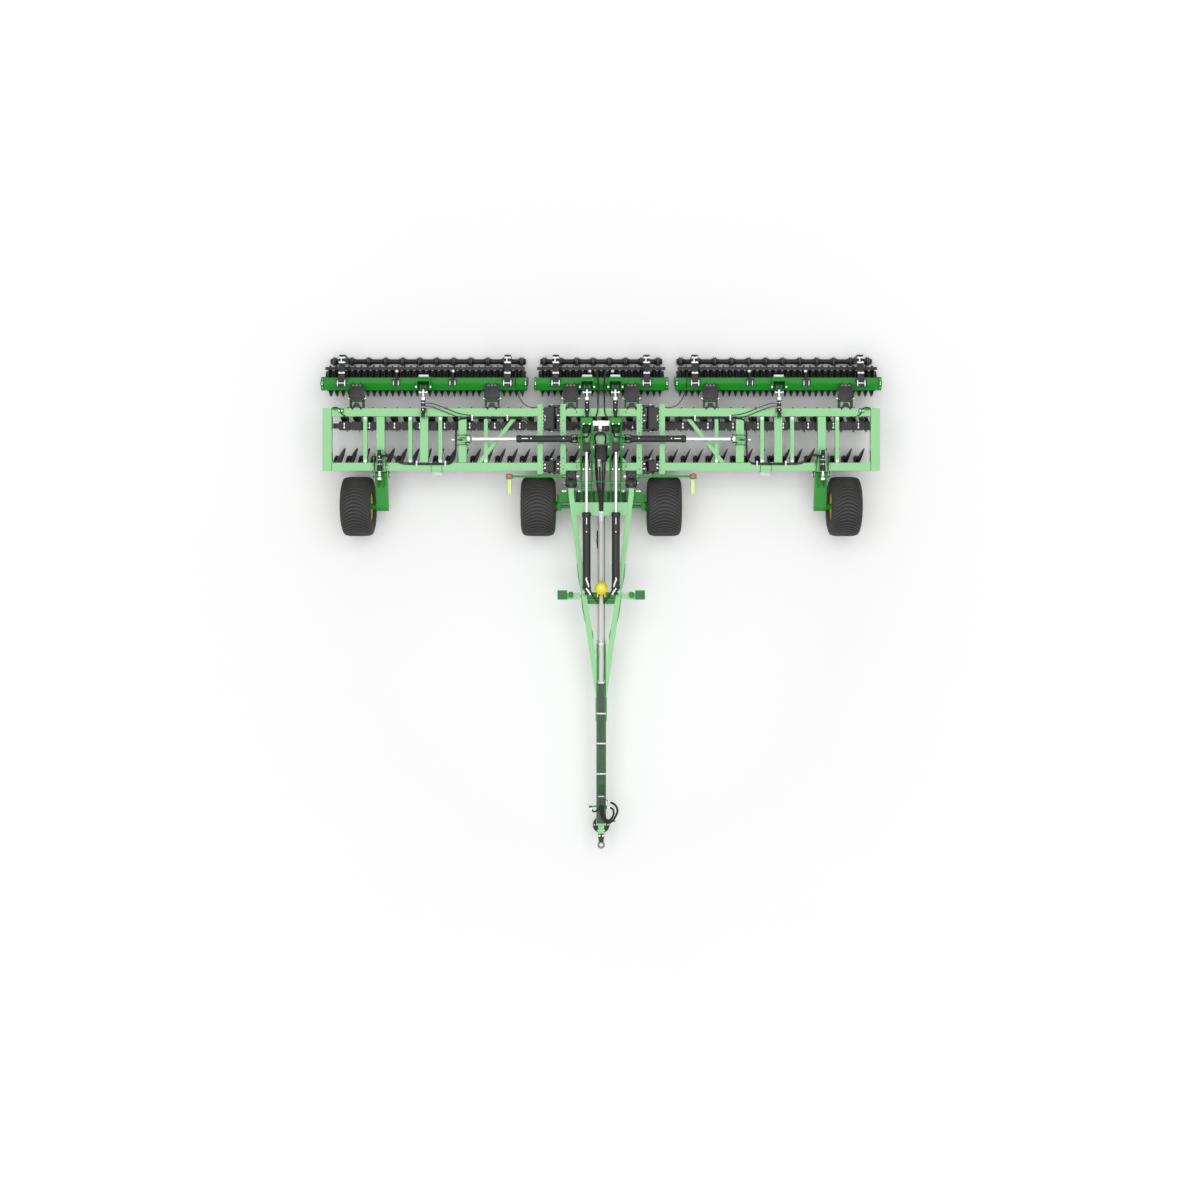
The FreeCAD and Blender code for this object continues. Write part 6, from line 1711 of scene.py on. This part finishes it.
            # A near-black block of painted shade low between the tower's plates.
            piece.add(block((x - self.cheek + 0.015, 3.35, 0.955), (x + self.cheek - 0.015, 3.515, 0.985)),
                DEEP_SHADE_PAINT)
            piece.add(block((x - self.cheek + 0.013, 3.15, 0.99), (x + self.cheek - 0.013, 3.335, 1.01)),
                LIT_GREEN_PAINT)
            for side in (-1, 1):
                wall = x + side * 0.05
                piece.add(slab(Plane.YZ, [(2.66, 1.16), (2.66, 1.24), (2.80, 1.305), (2.83, 1.26)], wall,
                        wall + side * 0.018), BLACK_PAINT)
                outer = x + side * (self.cheek + 0.013)
                piece.add(block((outer, 3.14, 0.95), (outer + side * 0.11, 3.32, 0.97)), LIT_GREEN_PAINT)
                gusset = [(outer, 2.766), (outer + side * 0.12, 2.766), (outer, 2.90)]
                piece.add(slab(Plane.XY, gusset, 0.90, 0.925), LIT_GREEN_PAINT)
            for side in (-1, 1):
                face = x + side * (self.cheek + 0.0125)
                rail = [(2.40, 1.04), (2.41, 1.085), (2.95, 1.515), (3.18, 1.515), (3.68, 0.955),
                    (3.64, 0.955), (3.16, 1.485), (2.97, 1.485)]
                piece.add(slab(Plane.YZ, rail, face, face + side * 0.012))
                seat = at((face + side * 0.02, 3.03, 1.45), facing((side, 0, 0)))
                piece.add(rod((0, 0, -0.006), (0, 0, 0.014), 0.036, 6, FINE_EDGE), ZINC, [seat])
                for y, z in ((3.52, 1.10), (2.62, 1.15)):
                    piece.add(bolt(0.022, 0.014), ZINC, [at((x + side * 0.06, y, z - 0.003))])
        piece.done()

    def fasteners(self) -> None:
        """Bolts, plates and nipples on the centre frame's tubes and at the tilt hinge."""
        piece = Piece("centre_bolts", "centre", "chrome_rod")
        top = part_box("hinge_lugs")[1].z
        spots = []
        for sign in (-1, 1):
            spots += [at((sign * 0.755, y, top)) for y in (2.64, 2.86, 3.36, 3.60)]
        piece.add(bolt(0.022, 0.014), FORGED_STEEL, spots)
        piece.add(block((-0.62, 2.385, 0.955), (0.62, 2.405, 0.98), 0.005), ARM_PAINT)
        seams = Piece("centre_seams", "centre", "green_paint")
        for sign in (-1, 1):
            for y in (2.607, 2.767, 3.687, 3.847):
                seams.add(hose([(sign * 0.24 if y > 3 else sign * 0.22, y, top),
                        (sign * 0.45, y, top + 0.001), (sign * 0.70, y, top)], 0.005, 2), SEAM_AND_SHADE_PAINT)
            for y in (2.687, 3.767):
                seams.add(rod((sign * 0.49, y - 0.02, top - 0.002), (sign * 0.49, y + 0.03, top + 0.006),
                        0.008, 10, THIN_EDGE), SEAM_AND_SHADE_PAINT)
            plate = [(sign * 0.40, 3.32), (sign * 0.62, 3.32), (sign * 0.64, 3.29), (sign * 0.64, 3.24),
                (sign * 0.40, 3.24)]
            piece.add(slab(Plane.XY, plate, top + 0.02, top + 0.028, THIN_EDGE))
            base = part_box("fold_barrel_right" if sign > 0 else "fold_barrel_left")
            for side in (-1, 1):
                y = FOLD_Y + side * 0.074
                fork = [(sign * 0.44, 1.085), (sign * 0.44, 1.20), (sign * 0.47, 1.225), (sign * 0.57, 1.225),
                    (sign * 0.60, 1.18), (sign * 0.60, 1.085)]
                seams.add(slab(Plane.XZ, fork, y - 0.006, y + 0.006), BLACK_PAINT)
            seams.add(rod((sign * 0.52, 3.13, base[1].z - 0.064), (sign * 0.52, 3.31, base[1].z - 0.064),
                    0.03, 20, EDGE), FORGED_STEEL)
        piece.done()
        seams.done()


@dataclass
class TiltFork:
    """The dark fork that joins a drawbar leg to the centre frame.

    Attributes:
        side: Which leg.
        leg_x: Middle of the leg's eye.
        pin_y: Place of the tilt pin along the machine.
        pin_z: Its height.
    """

    side: str
    leg_x: float = 0.597
    pin_y: float = 2.369
    pin_z: float = 0.90

    def build(self) -> None:
        """Model the fork's plates, its cross flange, the spool on the leg and the pin's ends."""
        x = SIDES[self.side] * self.leg_x
        fork = Piece("tilt_fork_" + self.side, "centre", "black_paint")
        for side in (-1, 1):
            inner = x + side * 0.091
            plate = [(self.pin_y - 0.10, self.pin_z - 0.03), (self.pin_y - 0.085, self.pin_z + 0.06),
                (self.pin_y - 0.03, self.pin_z + 0.105), (self.pin_y + 0.07, self.pin_z + 0.10),
                (2.607, self.pin_z + 0.03), (2.607, self.pin_z - 0.12), (self.pin_y, self.pin_z - 0.10)]
            fork.add(slab(Plane.YZ, plate, inner, inner + side * 0.012))
            near, far = sorted((x + side * 0.0555, x + side * 0.0915))
            fork.add(block((near, self.pin_y, self.pin_z + 0.02), (far, 2.604, self.pin_z + 0.074)))
            fork.add(rod((near, self.pin_y, self.pin_z), (far, self.pin_y, self.pin_z), 0.099, 40, EDGE))
            seat = at((inner + side * 0.012, self.pin_y, self.pin_z), facing((side, 0, 0)))
            fork.add(rod((0, 0, 0), (0, 0, 0.016), 0.058, 24, FINE_EDGE), places=[seat])
            fork.add(bolt(0.03, 0.02), ZINC, [seat @ at((0, 0, 0.015))])
        web = [(x - 0.035, self.pin_y + 0.145), (x + 0.035, self.pin_y + 0.145), (x + 0.055, 2.54),
            (x + 0.10, 2.603), (x - 0.10, 2.603), (x - 0.055, 2.54)]
        fork.add(slab(Plane.XY, web, self.pin_z + 0.03, self.pin_z + 0.042, EDGE))
        fork.add(block((x - 0.155, self.pin_y + 0.105, self.pin_z + 0.01),
                (x + 0.155, self.pin_y + 0.14, self.pin_z + 0.06), 0.008))
        fork.add(bolt(0.03, 0.02), ZINC, [at((x + side * 0.13, self.pin_y + 0.122, self.pin_z + 0.058))
                for side in (-1, 1)])
        fork.done()
        spool = Piece("tilt_spool_" + self.side, "drawbar", "black_paint")
        roll = turned([(-0.0525, 0.09), (-0.0525, 0.107), (-0.03, 0.107), (-0.02, 0.099), (0.02, 0.099),
                (0.03, 0.107), (0.0525, 0.107), (0.0525, 0.09)], 36)
        spool.add(roll, places=[at((x, self.pin_y, self.pin_z))])
        spool.add(block((x - 0.054, self.pin_y - 0.115, self.pin_z + 0.04),
                (x + 0.054, self.pin_y - 0.03, self.pin_z + 0.108), 0.014))
        spool.done()


@dataclass
class AxleTrim:
    """Edge strips, gussets and bolts on the transport axle, and its painted shade."""

    def build(self) -> None:
        """Model the strips and the bolted clamp plates, and the dark strip and patches of painted shade."""
        low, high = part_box("transport_axle")
        piece = Piece("axle_trim", "centre", "green_paint")
        front, rear, top = low.y + 0.15, high.y, high.z
        for sign in (-1, 1):
            piece.add(block((sign * 0.88 - 0.10 if sign > 0 else -0.88, front - 0.002, top - 0.002),
                    (0.88 if sign > 0 else -0.78, rear - 0.10, top + 0.006), FINE_EDGE))
            for x in (0.42, 0.74):
                piece.add(block((sign * x - 0.045, rear - 0.03, top - 0.002),
                        (sign * x + 0.045, rear + 0.012, top + 0.014)))
                piece.add(bolt(0.026, 0.016), ZINC, [at((sign * x + shift, rear - 0.01, top + 0.013))
                        for shift in (-0.025, 0.025)])
            hub = turned([(0.0, 0.0), (0.0, 0.10), (0.02, 0.10), (0.03, 0.075), (0.06, 0.07), (0.06, 0.0)],
                28)
            piece.add(hub, places=[at((sign * 0.88, 1.916, 0.595), Matrix.Scale(sign, 4, (1, 0, 0)))])
        # A dark-green strip of painted shade along the axle's front edge.
        piece.add(block((-0.88, front - 0.004, top - 0.026), (0.88, front + 0.012, top + 0.004), FINE_EDGE),
            SEAM_AND_SHADE_PAINT)
        # Near-black patches of painted shade on the axle's top between the drawbar's legs, where the parts
        # above shade it.
        for sign in (-1, 1):
            for low_x, high_x in ((0.12, 0.17), (0.21, 0.37), (0.41, 0.50)):
                piece.add(block((sign * low_x, front + 0.02, top - 0.002),
                        (sign * high_x, rear - 0.03, top + 0.004), FINE_EDGE), DEEP_SHADE_PAINT)
        piece.done()


# --- Drawbar ---

@dataclass
class Tongue:
    """Stiffeners, hose clamps, valves and rests along the drawbar.

    Attributes:
        clamps: Places along the drawbar of the bright clamps over the hoses.
    """

    clamps: tuple[float, ...] = (-2.22, -2.82, -3.43)

    def leg(self, y: float, bend: tuple[Point, Point]) -> Vector:
        """The middle of the right leg at a place along it.

        Args:
            y: Place along the machine.
            bend: The ends of the leg's straight stretch, rear end first.

        Returns:
            The point on the leg's middle line.
        """
        start, end = Vector(bend[0]), Vector(bend[1])
        return start.lerp(end, (y - start.y) / (end.y - start.y))

    def build(self) -> None:
        """Make every piece on the drawbar."""
        self.stiffeners()
        self.lines()
        self.rests()
        self.stores()
        self.tails()
        self.tip()

    def stiffeners(self) -> None:
        """Painted shade as thin dark-green strips on the legs' bends, the beam's edges and the channel sides
        where the legs meet.
        """
        rear = ((0.597, 2.15, 0.90), (0.352, 0.20, 0.85))
        front = ((0.352, 0.20, 0.85), (0.05, -1.90, 0.70))
        piece = Piece("leg_shade_strips", "drawbar", "green_paint")
        for sign in (-1, 1):
            for run, start, end, side in ((rear, 0.78, 0.26, 1), (front, 0.14, -0.42, 1),
                    (front, -0.50, -0.75, -1)):
                a, b = self.leg(start, run), self.leg(end, run)
                shift = 0.053 * side
                outline = [(sign * (a.x + shift), a.y), (sign * (a.x + shift + 0.006 * side), a.y - 0.02),
                    (sign * ((a.x + b.x) / 2 + shift + 0.018 * side), (a.y + b.y) / 2),
                    (sign * (b.x + shift + 0.006 * side), b.y + 0.02), (sign * (b.x + shift), b.y)]
                mid = (a.z + b.z) / 2
                piece.add(slab(Plane.XY, outline, mid - 0.02, mid + 0.099, THIN_EDGE), SEAM_AND_SHADE_PAINT)
        for sign in (-1, 1):
            for start, end, x in ((-0.84, -1.62, 0.082), (-1.62, -4.43, 0.086)):
                edge = slab(Plane.YZ, [self.over(start, -0.003), self.over(start, 0.012),
                        self.over(end, 0.012), self.over(end, -0.003)], sign * x - 0.007, sign * x + 0.007,
                    THIN_EDGE)
                piece.add(edge, SEAM_AND_SHADE_PAINT)
        for side in (-1, 1):
            piece.add(slab(Plane.XY, [(side * 0.10, -1.90), (side * 0.112, -1.90), (side * 0.112, -2.34),
                    (side * 0.10, -2.40)], 0.60, 0.70, THIN_EDGE), SEAM_AND_SHADE_PAINT)
        piece.done()

    def top(self, y: float) -> float:
        """Height of the single beam's upper face at a place along it."""
        return 0.80 + (y + 1.90) * (0.70 - 0.516) / (4.47 - 1.90)

    def over(self, y: float, rise: float) -> tuple[float, float]:
        """A point of a side view's outline, a little over the beam."""
        return y, self.top(y) + rise

    def lines(self) -> None:
        """The clamps over the hoses, and the thin line beside the conduit."""
        piece = Piece("hose_straps", "drawbar", "chrome_rod")
        for y in self.clamps:
            z = self.top(y)
            piece.add(block((-0.088, y - 0.015, z + 0.028), (0.088, y + 0.015, z + 0.038)), WHITE_PLASTIC)
            for side in (-1, 1):
                piece.add(block((side * 0.086 - 0.006, y - 0.015, z - 0.002),
                        (side * 0.086 + 0.006, y + 0.015, z + 0.036), FINE_EDGE), WHITE_PLASTIC)
            piece.add(bolt(0.016, 0.01), places=[at((0.0, y, z + 0.037))])
        y, z = -3.885, self.top(-3.885)
        piece.add(block((-0.06, y - 0.012, z + 0.026), (0.06, y + 0.012, z + 0.036)), PALE_PLASTIC)
        # Dark-green strips of painted shade on the beam's top on both sides of the conduit.
        for side in (-1, 1):
            strip = [self.over(-1.66, 0.012), self.over(-1.66, 0.031), self.over(-3.66, 0.031),
                self.over(-3.66, 0.012)]
            piece.add(slab(Plane.YZ, strip, side * 0.054, side * 0.082), SEAM_AND_SHADE_PAINT)
        # A near-black plate of painted shade across the beam's top after the strips end.
        cover = [self.over(-3.66, 0.02), self.over(-3.66, 0.036), self.over(-3.855, 0.036),
            self.over(-3.855, 0.02)]
        piece.add(slab(Plane.YZ, cover, -0.072, 0.072), DEEP_SHADE_PAINT)
        rear_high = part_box("hose_conduit")[1]
        for y, wide in ((-0.83, 0.052), (-1.60, 0.058)):
            z = self.top(y) + 0.05
            piece.add(block((-wide, y - 0.02, z - 0.02), (wide, y + 0.02, z + 0.045), 0.012), WHITE_PLASTIC)
        piece.add(turned([(-0.09, 0.0), (-0.09, 0.042), (-0.03, 0.046), (-0.02, 0.058), (0.02, 0.058),
                (0.03, 0.046), (0.06, 0.046), (0.06, 0.0)], 24), WHITE_PLASTIC,
            [at((0.0, rear_high.y - 0.02, rear_high.z - 0.042), turn(90, "Z"))])
        piece.add(block((-0.05, rear_high.y + 0.03, 1.0), (0.05, rear_high.y + 0.085, 1.05), 0.012),
            WHITE_PLASTIC)
        piece.done()
        thin = Piece("thin_lines", "drawbar", "hose_rubber")
        for sign in (-1, 1):
            x = sign * 0.062
            thin.add(hose([(x, 1.70, 0.985), (x, 1.2, 0.975), (x, 0.6, 0.965), (x, 0.30, 0.955),
                    (x, 0.0, 0.945), (x, -0.50, 0.90), (x, -1.0, 0.872), (x, -1.55, 0.838)], 0.007, 3))
        knot = [(-0.070, 1.42, 0.985), (-0.084, 1.34, 0.99), (-0.072, 1.28, 0.99), (-0.09, 1.22, 0.99),
            (-0.075, 1.15, 0.985), (-0.070, 1.06, 0.98)]
        thin.add(hose(knot, 0.014, 3))
        thin.done()

    def rests(self) -> None:
        """Green caps, posts and pads on the cross member that takes the folded wings."""
        low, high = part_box("wing_rests")
        piece = Piece("rest_trim", "drawbar", "green_paint")
        for sign in (-1, 1):
            a, b = sorted((sign * (high.x - 0.19), sign * (high.x + 0.004)))
            piece.add(block((a, low.y - 0.006, high.z - 0.02), (b, high.y + 0.004, high.z + 0.002),
                    SOFT_EDGE))
            # A darker inset on each cap's top: painted shade between the cap's pale edges.
            piece.add(block((a + 0.012, low.y + 0.014, high.z - 0.006),
                    (b - 0.012, high.y - 0.016, high.z + 0.003), FINE_EDGE), SEAM_AND_SHADE_PAINT)
            post = sign * 0.60
            piece.add(block((post - 0.042, 0.09, 0.91), (post + 0.042, 0.205, 1.02), 0.012))
            piece.add(rod((post, 0.15, 1.01), (post, 0.15, 1.045), 0.03, 22, SOFT_EDGE))
            c, d = sorted((sign * 0.38, sign * 0.56))
            for y in (0.065, 0.17):
                piece.add(rod((c, y, 0.93), (d, y, 0.93), 0.012, 12, THIN_EDGE), PALE_PLASTIC)
            piece.add(block((sign * 0.28, 0.045, 0.915), (sign * 0.40, 0.195, 0.932)))
        piece.add(block((-0.30, 0.045, 0.915), (0.30, 0.195, 0.932)))
        # A dark-green strip of painted shade along the front of the cross member's top.
        piece.add(block((-0.28, 0.045, 0.930), (0.28, 0.085, 0.940)), SEAM_AND_SHADE_PAINT)
        piece.add(block((-0.295, -0.04, 0.842), (0.295, 0.04, 0.852)))
        piece.done()

    def stores(self) -> None:
        """The yellow pressure vessel with its neck and band, and the fittings at the cylinders' bases."""
        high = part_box("accumulator")[1]
        middle = Vector((0.0, 0.278, 1.18))
        piece = Piece("pressure_vessel", "drawbar", "yellow_paint")
        ball = bmesh.new()
        bmesh.ops.create_uvsphere(ball, u_segments=48, v_segments=26, radius=high.x - 0.002)
        piece.add(ball, places=[at(middle)])
        belt = turned([(-0.010, high.x - 0.006), (-0.010, high.x + 0.002), (0.010, high.x + 0.002),
                (0.010, high.x - 0.006)], 48)
        piece.add(belt, places=[at(middle, turn(90, "Y"))])
        piece.add(rod(middle + Vector((0, 0, 0.12)), middle + Vector((0, 0, 0.142)), 0.02, 6, THIN_EDGE),
            ZINC)
        piece.done()
        held = Piece("base_fittings", "tilt_barrel", "chrome_rod")
        feeds = Piece("base_hoses", "drawbar", "hose_rubber")
        for sign in (-1, 1):
            bend = [(sign * 0.300, 0.46, 1.19), (sign * 0.275, 0.40, 1.20), (sign * 0.255, 0.34, 1.19),
                (sign * 0.245, 0.30, 1.17)]
            held.add(hose(bend, 0.018, 3))
            low_bend = [(sign * 0.295, 0.27, 1.16), (sign * 0.25, 0.21, 1.165), (sign * 0.21, 0.15, 1.15)]
            held.add(hose(low_bend, 0.018, 3))
            line = [(sign * 0.26, 0.36, 1.165), (sign * 0.23, 0.27, 1.16), (sign * 0.185, 0.17, 1.13),
                (sign * 0.15, 0.09, 1.05), (sign * 0.10, 0.04, 0.97), (sign * 0.05, 0.0, 0.955)]
            feeds.add(hose(line, 0.014, 3))
            held.add(rod((sign * TOWER_X - 0.075, 0.205, 1.05), (sign * TOWER_X + 0.075, 0.205, 1.05), 0.03,
                    20, EDGE))
        held.done()
        feeds.done(joined=("tilt_barrel", "drawbar", (0.0, 0.33, 1.15), (0.0, 0.10, 1.06)))

    def tails(self) -> None:
        """The hoses' ends, looped beside the beam with their couplers parked in two holders."""
        piece = Piece("hose_tails", "drawbar", "hose_rubber")
        top = self.top(-4.1)
        dark = [(-3.90, top + 0.03), (-3.90, top + 0.045), (-4.20, top + 0.022), (-4.20, top + 0.004)]
        piece.add(slab(Plane.YZ, dark, -0.062, 0.062, EDGE), BLACK_PAINT)
        outer = [(-0.01, -4.06, top + 0.03), (-0.01, -4.16, top + 0.035), (0.0, -4.27, top + 0.04),
            (0.05, -4.36, top + 0.06), (0.13, -4.42, top + 0.08), (0.22, -4.38, top + 0.09),
            (0.30, -4.26, top + 0.09), (0.335, -4.15, top + 0.085), (0.29, -4.06, top + 0.075),
            (0.21, -4.005, top + 0.06), (0.14, -3.985, top + 0.05)]
        inner = [(0.03, -4.08, top + 0.03), (0.03, -4.18, top + 0.04), (0.06, -4.30, top + 0.055),
            (0.13, -4.375, top + 0.07), (0.20, -4.33, top + 0.075), (0.255, -4.24, top + 0.07),
            (0.245, -4.14, top + 0.06), (0.19, -4.11, top + 0.05), (0.13, -4.105, top + 0.045)]
        small = [(-0.03, -4.10, top + 0.025), (-0.08, -4.17, top + 0.035), (-0.14, -4.195, top + 0.045),
            (-0.185, -4.16, top + 0.05), (-0.21, -4.115, top + 0.05)]
        for line, radius in ((outer, 0.022), (inner, 0.02), (small, 0.017)):
            piece.add(hose(line, radius))
            end, before = Vector(line[-1]), Vector(line[-2])
            run = (end - before).normalized()
            piece.add(rod(end - run * 0.045, end + run * 0.01, radius + 0.006, 6, FINE_EDGE), ZINC)
            piece.add(rod(end + run * 0.01, end + run * 0.05, radius + 0.002, 22, 0.005), BLACK_PAINT)
        ring = [(0.242 + 0.052 * math.cos(math.radians(angle)),
                -4.385 + 0.052 * math.sin(math.radians(angle)), top + 0.045) for angle in range(0, 360, 45)]
        piece.add(hose(ring, 0.008, closed=True), ZINC)
        piece.add(block((0.082, -4.13, top - 0.03), (0.094, -3.95, top + 0.075)), ARM_PAINT)
        piece.add(block((0.088, -4.03, top + 0.03), (0.118, -3.96, top + 0.07), SOFT_EDGE), WHITE_PLASTIC)
        piece.add(block((0.088, -4.13, top + 0.02), (0.112, -4.07, top + 0.06), SOFT_EDGE), ARM_PAINT)
        piece.add(block((-0.245, -4.10, top + 0.02), (-0.082, -4.07, top + 0.032)), ARM_PAINT)
        piece.add(block((0.088, -4.40, top - 0.01), (0.30, -4.37, top + 0.002)), ARM_PAINT)
        piece.done()

    def tip(self) -> None:
        """The jack's rounded foot and column sleeve, and dark cheeks round the towing eye."""
        low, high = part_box("parking_jack")
        middle_y = (low.y + high.y) / 2
        foot = turned([(0.0, 0.0), (0.0, 0.166), (0.008, 0.17), (0.018, 0.17), (0.024, 0.162), (0.03, 0.13),
                (0.04, 0.075), (0.075, 0.056), (0.12, 0.05), (0.12, 0.0)], 48)
        up = turn(-90, "Y")
        piece = Piece("jack_foot", "drawbar", "black_paint")
        piece.add(foot, places=[at((0.0, middle_y, 0.0), up)])
        sleeve = turned([(0.11, 0.0), (0.11, 0.045), (0.22, 0.045), (0.224, 0.054), (0.44, 0.054),
                (0.44, 0.0)], 28)
        piece.add(sleeve, places=[at((0.0, middle_y, 0.0), up)])
        for number in range(6):
            piece.add(bolt(0.022, 0.012), ZINC,
                [at((0.0, middle_y, 0.024)) @ turn(60 * number, "Z") @ at((0.135, 0, 0))])
        piece.done(["parking_jack"])
        head = Piece("eye_head", "drawbar", "forged_steel")
        centre_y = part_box("hitch_eye")[0].y + 0.076
        ring = turned([(-0.028, 0.04), (-0.03, 0.05), (-0.03, 0.068), (-0.018, 0.0755), (0.018, 0.0755),
                (0.03, 0.068), (0.03, 0.05), (0.028, 0.04), (0.012, 0.0365), (-0.012, 0.0365)], 48)
        head.add(ring, places=[at((0.0, centre_y, 0.5), up)])
        shank = slab(Plane.XY, [(-0.045, centre_y + 0.055), (0.045, centre_y + 0.055),
                (0.06, centre_y + 0.16), (-0.06, centre_y + 0.16)], 0.455, 0.562, 0.008)
        head.add(shank, BLACK_PAINT)
        head.add(block((-0.064, centre_y + 0.15, 0.438), (0.064, centre_y + 0.235, 0.564), 0.01), BLACK_PAINT)
        head.add(bolt(0.026, 0.016), ZINC, [at((side * 0.036, centre_y + 0.192, 0.563)) for side in (-1, 1)])
        head.done(["hitch_eye"])


def main() -> None:
    """Build the studio, dress the nodes and make every piece."""
    logging.basicConfig(level=logging.INFO, format="%(name)s: %(message)s")
    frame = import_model()
    Studio().build()
    Paintwork().dress(frame["nodes"])
    for section in SECTIONS:
        RingRoller(section).build()
        Crumbler(section).build()
        DiscGang(section).build()
        RollerBeam(section).build()
    for side in SIDES:
        for place in Wheel.PLACES:
            Wheel(place, side).build()
        WingHoses(side).build()
        TubeTrim(side).build()
        Hinge(side).build()
        TiltFork(side).build()
        MarkerLamp(side).build()
    for cylinder in cylinders():
        cylinder.build()
    CentreTrim().build()
    AxleTrim().build()
    Tongue().build()


if __name__ == "__main__":
    main()
